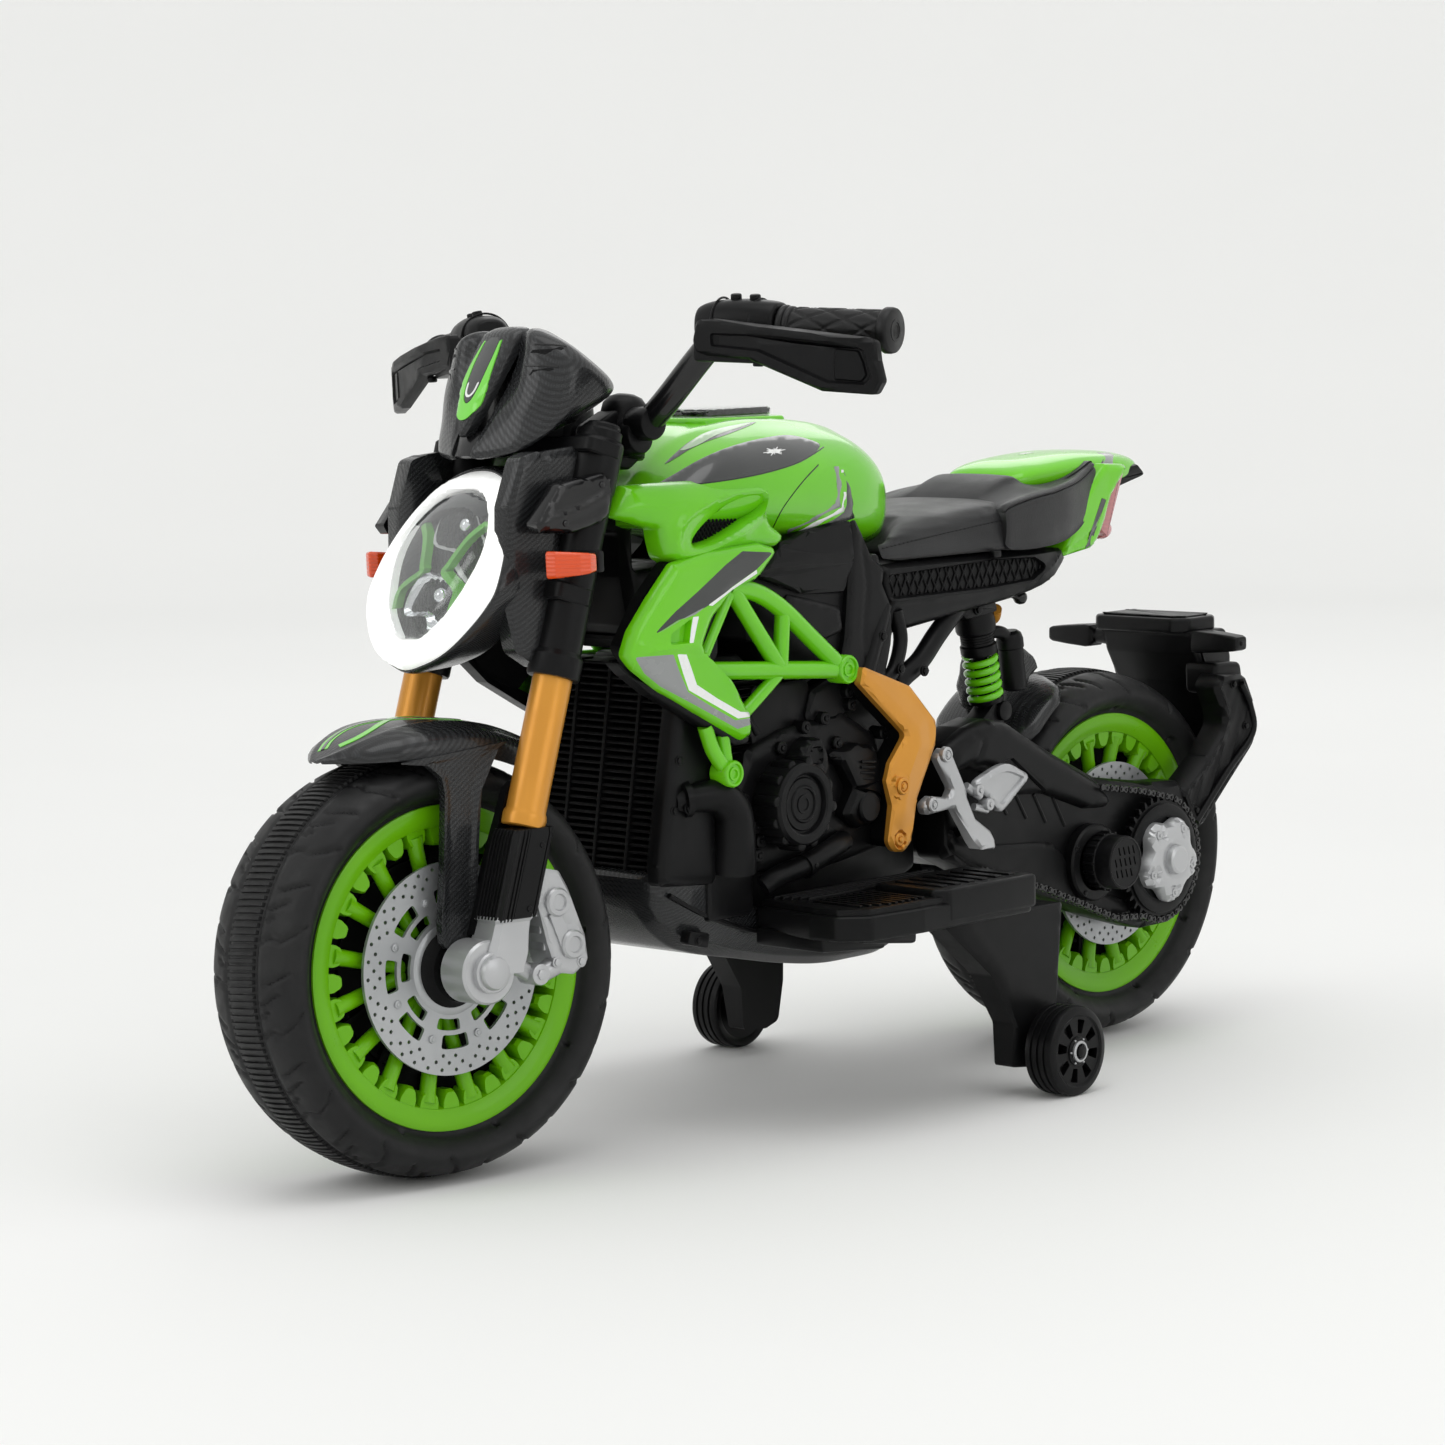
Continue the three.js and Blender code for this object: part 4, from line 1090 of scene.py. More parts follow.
def caliper_solid():
    def front(p):
        d = edge_distance(p, CALIPER)
        y = 88 + 2.2 * np.sqrt(np.clip(1 - (1 - np.clip(d / 3.5, 0, 1)) ** 2, 0, 1))
        return y - 1.5 * np.exp(-(((p[:, 1] - 190) - 0.4 * (p[:, 0] - 722)) / 2.4) ** 2)

    body = relief(CALIPER, front, 62, spacing=3.2)
    for x, z in ((727, 205), (714, 172)):
        body = body + lathe([(0.1, 86), (11, 86), (11, 92.5), (9.6, 94.2), (6.5, 94.6), (5.6, 93), (0.1, 93)], 28, x, z)
    for x, z in ((742, 221), (706, 158), (729, 160)):
        body = body + bolt(x, 90.0, z, 3.2, 1, 2.2)
    panel = rounded([(735, 196), (725, 199), (712, 167), (722, 163)], 1.5, 3)
    body = body + prism(panel, 89.5, 91.8, 0.5)
    for k in range(4):
        x, z = 730 + k * 3, 172 + k * 13
        body = body + box(x, x + 6, 66, 84, z - 3, z + 3, 1.2)
    return body


def carrier_solid():
    ring = [(0.1, 62), (22.6, 62), (24, 63.5), (24, 90), (22.4, 92), (15.6, 92.2), (15.4, 96.2), (14.2, 97.3),
            (8.4, 97.3), (8.4, 93), (0.1, 93)]
    hub = lathe(ring, 48, WHEELBASE, TYRE_RADIUS)
    neck = column([(-15, -15), (15, -15), (17, -8), (17, 12), (13, 16.5), (-13, 16.5), (-17, 12), (-17, -8)],
                  [(158, 1.1), (172, 1.12), (186, 1.0), (195, 0.96), (197.5, 1.06), (200, 1.06)], 81)
    arms = []
    for points in ([(771.5, 210), (756, 217), (738, 222)], [(776, 168), (760, 160), (743, 152), (722, 158)]):
        path = spline([(x, 82, z) for x, z in points], 5)
        arms.append(sweep(path, np.interp(np.linspace(0, 1, len(path)), [0, 0.5, 1], [9, 6.4, 8]), 16))
    for x, z in ((768, 211), (743, 220), (773, 167), (746, 153)):
        arms.append(rod((x, 72, z), (x, 93, z), 8.2, 24, 1.2) + rod((x, 90, z), (x, 94.5, z), 4.2, 6, 0.5))
    return total([hub, neck, *arms, caliper_solid()])


carrier = carrier_solid()
for name, solid in both(carrier).items():
    make(f"axle_carrier_look_{name}", solid, M["silver"], "steering", [f"axle_carrier_{name}"],
        True, 30)
cap = [(0.1, 103), (8, 102.6), (11.4, 101), (12.9, 98), (12.9, 93.5), (8, 93.5)]
axle_profile = cap + [(8, -93.5)] + [(r, -y) for r, y in cap[::-1][1:]]
make("front_axle_look", lathe(axle_profile, 40, WHEELBASE, TYRE_RADIUS), M["silver"], "steering",
    ["front_axle"], True)

tube_gold = [(0, 14.8), (1, 16.4), (8, 16.8), (11, 16.2), (13, 15.2), (118, 15.0)]
shroud = [(114, 16), (114, 19.4), (116, 20.2), (130, 20.2), (132.5, 18.6), (134, 17.6), (228, 16.8), (230, 17.2),
    (262, 17.2), (264, 16.2), (296, 16.2), (297.5, 15.6)]
for name, side in SIDES:
    base = fork_at(side * 81, 262.4)
    top = fork_at(side * 81, 545)
    make(f"fork_tube_look_{name}", turned(base, top, tube_gold, 40), M["gold"], "steering",
         [f"fork_tube_{name}"], True)
    make(f"fork_shroud_{name}", turned(base, top, shroud, 40), M["black"], "steering", (), True)

# ---------------------------------------------------------------- steering crowns, risers and caps
CROWN = rounded([(22, 60), (23.8, 99), (-6, 99), (-16, 88), (-36, 36), (-40, 0), (-36, -36), (-16, -88),
                 (-6, -99), (23.8, -99), (22, -60)], 7, 4)


def crown_solid(z, thickness):
    centre = fork_at(0, z)
    rings = []
    for up, pull in ((0, 1.5), (1.5, 0), (thickness - 1.5, 0), (thickness, 1.5)):
        q = inset(CROWN, pull) if pull else (CROWN if area(CROWN) > 0 else CROWN[::-1])
        rings.append(np.array([centre + FORK_AHEAD * a + FORK_UP * up + (0, y, 0) for a, y in q]))
    return loft(rings)


def steer_axis_at(z):
    return np.array([754.6 - (z - TYRE_RADIUS) * SLOPE, 0, z])


stem = crown_solid(424, 14) + crown_solid(532, 12) + rod(steer_axis_at(424), steer_axis_at(530), 13, 32)
RISER = rounded([(600, 521), (640, 530), (634, 556), (612, 567), (590, 567), (581, 558), (581, 538), (590, 528)], 6, 4)
for side in (1, -1):
    stem = stem + prism(RISER, side * 22, side * 44, 2.5, 3)
    for x in (590, 606):
        stem = stem + rod((x, side * 33, 562), (x - 1.5, side * 33, 570.5), 4.2, 6, 0.6)
    cap_low, cap_high = fork_at(side * 81, 544), fork_at(side * 81, 562)
    stem = stem + turned(cap_low, cap_high, [(-6, 15.4), (8, 15.4), (10, 13.5), (12.5, 13.2), (14, 12)], 32)
    pod = rod((600, side * 52, 556), (600, side * 76, 556), 13, 32, 3)
    stem = stem + pod
make("steering_stem_look", stem, M["black"], "steering", ["steering_stem"], True, 30)

# ---------------------------------------------------------------- headlight
LAMP_OUT = mirrored_outline([(0, 381), (19, 385), (35, 391), (49, 400), (63, 414), (72, 427), (76, 440), (72, 462),
    (62, 484), (50, 503), (36, 517), (18, 524), (0, 526)])
LAMP_IN = mirrored_outline([(0, 405), (14, 406), (27, 415), (36, 424), (44, 438), (51, 455), (53, 470), (48, 486), (38, 498),
    (24, 508), (0, 512)])
LAMP_OUT, LAMP_IN = spline(LAMP_OUT, 5, True), spline(LAMP_IN, 5, True)


def lamp_x(p, ahead=0.0):
    dz = p[:, 1] - 450
    return 760 - 0.536 * dz - 0.0017 * dz**2 - 0.001 * p[:, 0] ** 2 + ahead


def halo_front(p):
    a, b = edge_distance(p, LAMP_OUT), edge_distance(p, LAMP_IN)
    f = a / np.maximum(a + b, 1e-6)
    return lamp_x(p, 1.0) + 8.5 * np.sqrt(np.clip(1 - (2 * f - 1) ** 2, 0, 1))


halo = facing(relief(LAMP_OUT, halo_front, lambda p: lamp_x(p, -4.0), holes=[LAMP_IN], spacing=3.5))
make("headlight_ring", halo, M["glow"], "steering", ["headlight_lens"], True, 50)
lens_edge = inset(LAMP_IN, -1.0)
cover = relief(lens_edge, lambda p: lamp_x(p, 3.0) + 8 * np.sqrt(np.clip(1 - (1 - np.clip(
    edge_distance(p, lens_edge) / 26, 0, 1)) ** 2, 0, 1)), lambda p: lamp_x(p, 1.2) + 8 * np.sqrt(np.clip(
        1 - (1 - np.clip(edge_distance(p, lens_edge) / 26, 0, 1)) ** 2, 0, 1)), spacing=4)
make("headlight_cover", facing(cover), M["clear"], "steering", (), True, 50)

bowl = relief(inset(LAMP_IN, -2), lambda p: lamp_x(p, -3) - 17 * np.sqrt(np.clip(1 - (1 - np.clip(
    edge_distance(p, LAMP_IN) / 20, 0, 1)) ** 2, 0, 1)), lambda p: lamp_x(p, -26), spacing=4)
make("headlight_bowl", facing(bowl), M["gloss"], "steering", (), True, 50)
LOW_MIRROR = spline([(-11, 451), (14, 449), (36, 438), (39, 426), (28, 410), (12, 411), (6, 420), (-21, 421),
                     (-22, 439)], 4, True)
HIGH_MIRROR = spline([(-21, 473), (-23, 498), (2, 502), (33, 478), (43, 458), (47, 439), (14, 458), (11, 466)], 4, True)


def mirror_front(outline, ahead, deep):
    def x(p):
        d = np.clip(edge_distance(p, outline) / 14, 0, 1)
        steps = 0.9 * np.sin(p[:, 0] * 0.9) * np.clip(d * 2, 0, 1)
        return lamp_x(p, ahead) - deep * np.sqrt(np.clip(1 - (1 - d) ** 2, 0, 1)) + steps
    return x


for label, outline, ahead in (("low", LOW_MIRROR, -2), ("high", HIGH_MIRROR, -5)):
    shown = relief(outline, mirror_front(outline, ahead, 9), lambda p: lamp_x(p, -20), spacing=2.6)
    make(f"headlight_mirror_{label}", facing(shown), M["chrome" if label == "low" else "frost"], "steering",
        (), True, 60)
for label, y, z in (("low", 10, 433), ("high", 8, 484)):
    x = float(lamp_x(np.array([[y, z]]), -14)[0])
    bulb = turned((x, y, z), (x + 12, y, z + 4), [(0, 6), (6, 6), (8, 5.4), (10, 3), (10.6, 0.6)], 28)
    make(f"headlight_bulb_{label}", bulb, M["chrome"], "steering", (), True, 60)
EYE = spline([(38, 487), (26, 476), (16, 457), (14.5, 452), (34, 440), (34, 425)], 5)
for side in (1, -1):
    strip = ribbon(EYE * (side, 1), 4.6)
    shown = relief(strip, lambda p: lamp_x(p, 1.0), lambda p: lamp_x(p, -6), spacing=2.5)
    make(f"headlight_strip_{'left' if side == 1 else 'right'}", facing(shown), M["mint"], "steering",
         (), True)
HOOD = spline([(-50, 490), (-40, 501), (-20, 509), (5, 510), (26, 506), (40, 497), (30, 492), (8, 499), (-22, 497),
    (-40, 486)], 4, True)
make("headlight_hood", facing(relief(HOOD, lambda p: lamp_x(p, 2.0), lambda p: lamp_x(p, -10), spacing=3)),
     M["gloss"], "steering", (), True)


def lamp_back(scale, ahead):
    """The lamp's outline carried back to a plane along the fork."""
    ring = []
    for y, z in LAMP_OUT:
        zz = 452 + (z - 452) * scale
        ring.append(fork_at(y * scale, zz, ahead))
    return np.array(ring)


def lamp_ring(scale, ahead):
    p = np.array(LAMP_OUT) * (scale, 1)
    p[:, 1] = 452 + (np.array(LAMP_OUT)[:, 1] - 452) * scale
    return np.stack([lamp_x(np.array(LAMP_OUT), ahead), p[:, 0], p[:, 1]], 1)


housing_rings = [lamp_back(0.82, 27), lamp_back(0.95, 30), lamp_back(1.0, 36), lamp_ring(1.035, -20),
                 lamp_ring(1.05, -9), lamp_ring(1.04, -3), lamp_ring(1.02, -0.6), lamp_ring(0.985, -1.5)]
housing = loft(smooth_rings(housing_rings, 3))
make("headlight_housing_look", housing, M["carbon"], "steering", ["headlight_housing"], True, 40)

CHEEK = rounded([(711, 541), (694, 503), (702, 383), (722, 379), (742, 392), (752, 437), (747, 446), (744, 500), (730, 536)],
    8, 4)
cheek_front = relief(CHEEK, lambda p: 76.5 + 3.0 * np.sqrt(np.clip(1 - (1 - np.clip(edge_distance(p, CHEEK) / 9, 0, 1)) ** 2,
    0, 1)) - 3.0 * np.clip((p[:, 0] - 722) / 26, 0, 1) ** 2, 60, spacing=4)
WING = rounded([(715, 539), (650, 545), (674, 480), (699, 486)], 6, 4)
wing = relief(WING, lambda p: 79 + 2.6 * np.sqrt(np.clip(1 - (1 - np.clip(edge_distance(p, WING) / 7, 0, 1)) ** 2, 0, 1)), 72,
    spacing=5)
WINGLET = rounded([(738, 487, 3), (725, 503, 5), (715, 515, 5), (692, 519, 8), (672, 522, 3), (665, 517, 3), (668, 490, 4),
    (676, 484, 5), (704, 478, 5), (734, 480, 3)], 4, 4)
WINGLET_CREASE = np.array([(738, 486), (692, 497), (656, 512)])


def winglet_front(p):
    y = 100 + 4.0 * np.sqrt(np.clip(1 - (1 - np.clip(edge_distance(p, WINGLET) / 5, 0, 1)) ** 2, 0, 1))
    return y + 1.6 * np.exp(-(line_distance(p, WINGLET_CREASE) / 2.2) ** 2)


winglet = relief(WINGLET, winglet_front, 90, spacing=3.5) + bolt(676, 102, 513, 2.6, 1, 3) + bolt(712, 102, 486, 2.6, 1, 3)
for name, solid in both(winglet).items():
    make(f"fork_winglet_{name}", solid, M["gloss"], "steering", (), True, 40)
for name, solid in both(wing).items():
    make(f"cowl_wing_{name}", solid, M["carbon"], "steering", (), True, 40)
for name, solid in both(cheek_front).items():
    make(f"headlight_cheek_{name}", solid, M["carbon"], "steering", (), True, 40)

# ---------------------------------------------------------------- cowl over the headlight
COWL_RINGS = [([(727, 538), (714, 561), (696, 589), (686, 610), (681, 627), (668, 629), (650, 620), (622, 592), (621, 578),
    (652, 562), (698, 546)], [13, 18, 24, 26, 26, 26, 26, 26, 26, 22, 15]),
    ([(725, 536), (715, 561), (698, 589), (689, 611), (684, 629), (670, 631), (651, 621), (618, 591), (619, 578), (651, 561),
    (698, 543)], [18, 24, 30, 32, 32, 32, 32, 32, 32, 28, 21]),
    ([(714, 539), (709, 562), (701, 587), (694, 611), (689, 626), (676, 629), (656, 620), (619, 592), (619, 579), (652, 561),
    (690, 548)], [44] * 11), ([(702, 547), (699, 566), (695, 586), (688, 606), (683, 618), (671, 620), (655, 612), (628, 591),
    (629, 579), (656, 567), (682, 557)], [60] * 11), ([(688, 560), (689, 572), (686, 586), (681, 599), (676, 608), (667, 609),
    (655, 604), (638, 590), (640, 580), (656, 572), (674, 565)], [70] * 11),
    ([(677, 572), (679, 577), (678, 586), (674, 594), (670, 599), (664, 600), (656, 597), (646, 589), (648, 583), (657, 578),
    (668, 574)], [74.5] * 11), ]


def cowl_side():
    rings = [np.array([(x, y, z) for (x, z), y in zip(outline, ys)], float) for outline, ys in COWL_RINGS]
    rings = smooth_rings(rings, 6)
    rings.insert(0, rings[0] * (1, 0, 1) + rings[0] * (0, 0.86, 0))
    return loft([spline(r, 6, True) for r in rings])


cowl_half = cowl_side()
for name, solid in both(cowl_half).items():
    replaced = ["cowl"] if name == "left" else ()
    make(f"cowl_side_{name}", solid, M["carbon"], "steering", replaced, True, 48)

SHIELD = spline(mirrored_outline([(0, 552), (5, 556), (12, 570), (18, 590), (21.5, 610), (22, 625), (18, 632),
                                  (0, 634)]), 4, True)


def shield_x(p, ahead=0.0):
    line = np.interp(p[:, 1], [545, 553, 568, 583, 595, 606, 621, 629, 635], [732, 729, 723.5, 717, 710.5, 704, 694, 688, 681])
    return line - 0.005 * p[:, 0] ** 2 + ahead


def shield_front(p):
    d = np.clip(edge_distance(p, SHIELD) / 4, 0, 1)
    return shield_x(p, -3.5) + 3.5 * np.sqrt(np.clip(1 - (1 - d) ** 2, 0, 1))


shield = facing(relief(SHIELD, shield_front, lambda p: shield_x(p, -12), spacing=3))
make("cowl_shield", shield, M["carbon"], "steering", (), True, 45)
core_rings = [np.array([(x0, -w, z0), (x0, w, z0), (x1, w, z1), (x1, -w, z1)], float) for x0, z0, x1, z1,
    w in ((704, 541, 640, 560, 30), (700, 560, 634, 575, 34), (684, 600, 640, 602, 36), (672, 622, 652, 614, 34))]
make("cowl_core", loft(core_rings), M["gloss"], "steering", (), True)
lip = rounded([(-34, 536), (34, 536), (22, 556), (-22, 556)], 6, 4)
make("cowl_lip", facing(relief(lip, lambda p: 727 - (p[:, 1] - 540) * 0.5 - 0.012 * p[:, 0] ** 2, lambda p: 700 + 0 * p[:, 0],
    spacing=4)), M["gloss"], "steering", (), True)

shield_tree = tree_of(shield)
U_OUTER = [(10.6, 624), (13.4, 612), (15.2, 600), (15.6, 588), (13, 575.5), (7, 567.5), (0, 565)]
U_INNER = [(9.2, 623), (9.8, 611), (9.4, 600), (8.2, 589), (5.0, 580.5), (0, 577.4)]
u_outer = spline(U_OUTER + [(-x, z) for x, z in U_OUTER[-2::-1]], 5)
u_inner = spline(U_INNER + [(-x, z) for x, z in U_INNER[-2::-1]], 5)


def ahead_of(u, v):
    return (900, u, v)


front_on = {"place": ahead_of, "direction": (-1, 0, 0), "spacing": 3.0}
make("cowl_mark_green", decal(np.vstack([u_outer, u_inner[::-1]]), shield_tree, lift=0.9, **front_on),
    M["mint"], "steering", (), True)
u_field = inset(np.vstack([u_inner, [(-4, 627), (4, 627)]]), 0.8)
make("cowl_mark_dark", decal(u_field, shield_tree, lift=0.7, **front_on), M["dark"], "steering",
    (), True)
arc = ribbon(spline([(-6.2, 593), (-5, 586.5), (-2.4, 583.4), (0, 582.8), (2.4, 583.4), (5, 586.5), (6.2, 593)], 5),
    [0.5] + [1.7] * 29 + [0.5])
make("cowl_mark_white", decal(arc, shield_tree, lift=1.1, **front_on), M["white"], "steering", (),
    True)

VENTS = [([(702, 609.5), (700, 617), (694, 618.5), (672, 616), (688, 611.5)], [(699.5, 618), (693, 619.6), (672, 617)]),
    ([(709, 594.5), (705.5, 601.5), (699, 602.8), (683, 600.6), (697, 596.5)], [(705, 602.6), (698, 604), (683, 601.6)])]
for name, side in SIDES:
    half = cowl_half if side == 1 else cowl_half.flip_y()
    tree = tree_of(half)
    for k, (points, brow) in enumerate(VENTS):
        slot = rounded(points, 1.2, 3)
        dark = side_decal(slot, tree, side, lift=0.3, spacing=2.5)
        make(f"cowl_vent_{name}_{k}", dark, M["matt"], "steering", (), True)
        brow_pts = []
        for x, z in spline(brow, 6):
            hit, normal, _, _ = tree.ray_cast(Vector((x, side * 400, z)), Vector((0, -side, 0)))
            if hit is not None:
                brow_pts.append(tuple(hit))
        make(f"cowl_vent_brow_{name}_{k}", sweep(brow_pts, 0.8, 10), M["gloss"], "steering", (),
            True)

# ---------------------------------------------------------------- handlebar, controls and grips
GRIP_START, GRIP_END = np.array([579.0, 167, 626]), np.array([535.0, 276, 617])
GRIP_LENGTH = float(np.linalg.norm(GRIP_END - GRIP_START))
ALONG = (GRIP_END - GRIP_START) / GRIP_LENGTH
AHEAD = np.cross(ALONG, (0, 0, 1))
AHEAD /= np.linalg.norm(AHEAD)
ABOVE = np.cross(AHEAD, ALONG)
HAND = np.eye(4)
HAND[:3, 0], HAND[:3, 1], HAND[:3, 2], HAND[:3, 3] = ALONG, AHEAD, ABOVE, GRIP_START


def hand(s, ahead, up):
    return GRIP_START + ALONG * s + AHEAD * ahead + ABOVE * up


left_bar = [(597, 20, 549), (596, 50, 550), (595, 79, 568), (587, 115, 602), (582, 137, 621), tuple(hand(-8, 0, 0)),
    tuple(hand(40, 0, 0)), tuple(hand(GRIP_LENGTH - 8, 0, 0))]
bar_points = [(x, -y, z) for x, y, z in left_bar[::-1]] + left_bar
bar_path = spline(bar_points, 12)
make("handlebar_look", sweep(bar_path, 10.6, 28), M["gloss"], "steering", ["handlebar"], True, 50)


def grip_solid():
    sides, rows = 72, 90
    rings = []
    for i in range(rows + 1):
        s = 38 + (GRIP_LENGTH - 3.5 - 38) * i / rows
        angles = np.arange(sides) / sides * 2 * PI
        u = angles / (2 * PI) * 6
        v = (s - 38) / 15.5
        a, b = np.mod(u + v / 2, 1), np.mod(u - v / 2, 1)
        near = np.minimum(np.minimum(a, 1 - a), np.minimum(b, 1 - b))
        raised = np.clip(near / 0.16, 0, 1)
        radius = 13.9 + 1.3 * raised * min(1, (s - 38) / 4, (GRIP_LENGTH - 5 - s) / 3 if s < GRIP_LENGTH - 5 else 0)
        rings.append(hand(s, 0, 0) + np.outer(np.cos(angles) * radius, AHEAD) + np.outer(np.sin(angles) * radius,
            ABOVE))
    body = loft(rings)
    start = hand(GRIP_LENGTH - 6, 0, 0)
    end = hand(GRIP_LENGTH + 4, 0, 0)
    flange = turned(start, end, [(0, 13), (0.5, 16.2), (2, 17.2), (6, 17.2), (8.4, 16.6), (9.2, 15.6), (9.2, 4.4),
        (7.4, 4.0), (7.3, 0.1)], 40)
    flange = flange + turned(start, end, [(9.0, 8.4), (9.7, 8.2), (9.7, 6.2), (9.0, 6)], 30)
    collars = []
    for s, r in ((31, 16.4), (36, 15.6)):
        collars.append(turned(hand(s - 3, 0, 0), hand(s + 3, 0, 0), [(0, r - 2.6), (0.8, r - 0.6), (2.2, r), (3.8, r),
            (5.2, r - 0.6), (6, r - 2.6)], 40))
    return total([body, flange, *collars])


GUARD = rounded([(-28, 3.6), (-12, 5), (117, -4.5), (125, -7), (127, -21), (131, -36), (126, -46), (85, -44.6), (22, -24),
    (-27, -22), (-31, -12)], 5, 4)
RECESS = rounded([(-14, -5.5), (20, -5.2), (112, -11.5), (117, -14), (119, -22), (123, -33), (118, -39), (90, -38.5),
    (30, -17.5), (-13, -15.5)], 3, 4)
STEP = rounded([(94, -13), (112, -14), (116, -22), (119, -32), (115, -37), (94, -36)], 2.5, 3)


def guard_ahead(p):
    return np.interp(p[:, 0], [-31, -4, 30, 92, 131], [33, 38, 45, 48.5, 42])


def guard_front(p):
    d = np.clip(edge_distance(p, GUARD) / 3.2, 0, 1)
    y = guard_ahead(p) - 2.6 * (1 - np.sqrt(np.clip(1 - (1 - d) ** 2, 0, 1)))
    y = y - 3.4 * inside(p, RECESS) * np.clip(edge_distance(p, RECESS) / 1.6, 0, 1)
    return y + 1.4 * inside(p, STEP) * np.clip(edge_distance(p, STEP) / 1.0, 0, 1)


def control_solid():
    guard = relief(GUARD, guard_front, lambda p: guard_ahead(p) - 9.5, zones=[(RECESS, 0), (inset(RECESS, 1.7), 0),
        (STEP, 0), (inset(STEP, 1.1), 0)], spacing=3.2)
    solids = [guard.at(HAND)]
    rings = []
    for s, r, drop in ((-40, 12, 0), (-38, 14, 0), (-30, 17.5, 0.5), (-18, 20, 1), (0, 21, 1), (14, 20, 0.5),
                       (24, 18.4, 0), (27, 16.5, 0), (27.5, 13, 0)):
        angles = np.arange(48) / 48 * 2 * PI
        c, q = np.cos(angles), np.sin(angles)
        power = 2 / 2.5
        a = r * np.sign(c) * np.abs(c) ** power
        b = (r + 1.5 * (q < 0)) * np.sign(q) * np.abs(q) ** power - drop
        rings.append(hand(s, 0, 0) + np.outer(a, AHEAD) + np.outer(b, ABOVE))
    solids.append(loft(smooth_rings(rings, 3)))
    for s in (-22, 10):
        angles = np.arange(48) / 48 * 2 * PI
        ring = hand(s, 0, -0.6) + np.outer(np.cos(angles) * 20.6, AHEAD) + np.outer(np.sin(angles) * 20.8, ABOVE)
        solids.append(sweep(ring, 0.9, 8, closed=True))
    block = rounded([(-29, -27), (20, -27), (24, -22), (24, -6), (-30, -6)], 3, 3)
    solids.append(prism(block, -8, 33, 2).at(HAND))
    bridge = rounded([(-26, -18), (16, -18), (16, 3), (-26, 2)], 3, 3)
    solids.append(prism(bridge, 8, 34, 2).at(HAND))
    for s in (-10, 6):
        solids.append(rod(hand(s, 2, 16), hand(s, 3, 23.4), 4.2, 24, 1.2))
    tip = rod(hand(26, 34, -24), hand(26, 34, -29), 4, 20, 1)
    return total([*solids, tip])


grip_part, control_part = grip_solid(), control_solid()
for name, solid in both(grip_part).items():
    make(f"grip_look_{name}", solid, M["grip"], "steering", [f"grip_{name}"], True, 50)
for name, solid in both(control_part).items():
    make(f"hand_control_look_{name}", solid, M["black"], "steering", [f"hand_control_{name}"],
        True, 32)


# ---------------------------------------------------------------- front signals and the covers on the fork's top
def slab(outline, z0, z1, bevel=1.0, steps=2):
    """A plate with a plan of [x, y] points."""
    solid = prism(outline, z0, z1, bevel, steps)
    return Solid(solid.verts[:, [0, 2, 1]], [f[::-1] for f in solid.faces], solid.mats)


def signal_solid():
    plan = rounded([(701, 104), (716, 103), (733, 106), (738, 111), (735, 119), (722, 132), (714, 134), (705, 130),
        (700, 117)], 3, 4)
    lamp = slab(plan, 446, 467, 2.6, 4)

    def taper(v):
        k = 1 - 0.42 * max(0.0, min(1.0, (738 - v[0]) / 38))
        return (v[0], v[1], 457 + (v[2] - 457) * k)

    return lamp.bent(taper)


signal = signal_solid()
cup = rod((697, 92, 457), (699, 106, 457), 8, 24, 1.5) + slab(rounded([(692, 100), (716, 99), (716, 105.5), (702, 107),
    (700, 126), (693, 124)], 2, 3), 449, 465, 1.5)
for name, solid in both(signal).items():
    make(f"front_signal_look_{name}", solid, M["amber"], "steering", [f"front_signal_{name}"],
        True, 36)
for name, solid in both(cup).items():
    make(f"front_signal_cup_{name}", solid, M["black"], "steering", (), True)

covers = []
for side in (1, -1):
    low, high = fork_at(side * 79, 508), fork_at(side * 79, 566)
    covers.append(turned(low, high, [(0, 17), (0, 18.8), (1.5, 19.4), (36, 19.6), (38.5, 18.8), (40, 17), (46, 16),
        (50, 13), (51.5, 8)], 44))
    covers.append(turned((600, side * 33, 530), (592, side * 33, 580),
                         [(0, 17), (2, 18.4), (34, 18.4), (42, 17), (47, 13), (49.5, 7)], 40))
    covers.append(rod((604, side * 44, 545), (602, side * 62, 547), 14, 32, 3))
make("fork_top_covers", total(covers), M["black"], "steering", (), True, 34)

# ---------------------------------------------------------------- tank cover
TANK = [  # x, half width, bottom, top, squareness
    (300, 30, 447, 470, 2.6), (306, 44, 446, 487, 2.6), (316, 58, 446, 514, 2.5), (334, 72, 446, 534, 2.4),
    (366, 84, 447, 548, 2.35), (410, 92, 450, 555, 2.3), (460, 97.5, 456, 557.5, 2.3), (500, 99.5, 460, 555, 2.35),
    (530, 100, 464, 550, 2.45), (556, 98.5, 468, 541, 2.6), (578, 96, 472, 528, 2.8), (596, 93, 476, 515, 3.0),
    (608, 86, 480, 508, 3.0),
]


def tank_solid():
    stations = spline(TANK, 8)
    rings = []
    for x, half, low, high, power in stations:
        ring = []
        for k in range(120):
            a = (k + 0.5) / 120 * 2 * PI
            c, s = math.cos(a), math.sin(a)
            y = half * math.copysign(abs(c) ** (2 / power), c)
            z = (low + high) / 2 + (high - low) / 2 * math.copysign(abs(s) ** (2 / power), s)
            if s > 0:
                crease = math.exp(-((abs(y) - 0.42 * half) / 9) ** 2)
                z += 1.6 * crease * min(1, (high - low) / 80)
            ring.append((x, y, z))
        rings.append(np.array(ring))
    return loft(rings)


tank = tank_solid()
tank_tree = tree_of(tank)
make("tank_cover_look", tank, M["green"], "chassis", ["tank_cover"], sharp=50)

# Marks on the curved tank are drawn in an upright plane that faces the bike's front left quarter.
QUARTER = Vector((0.738, 0.674, 0))
ACROSS = Vector((-0.674, 0.738, 0))


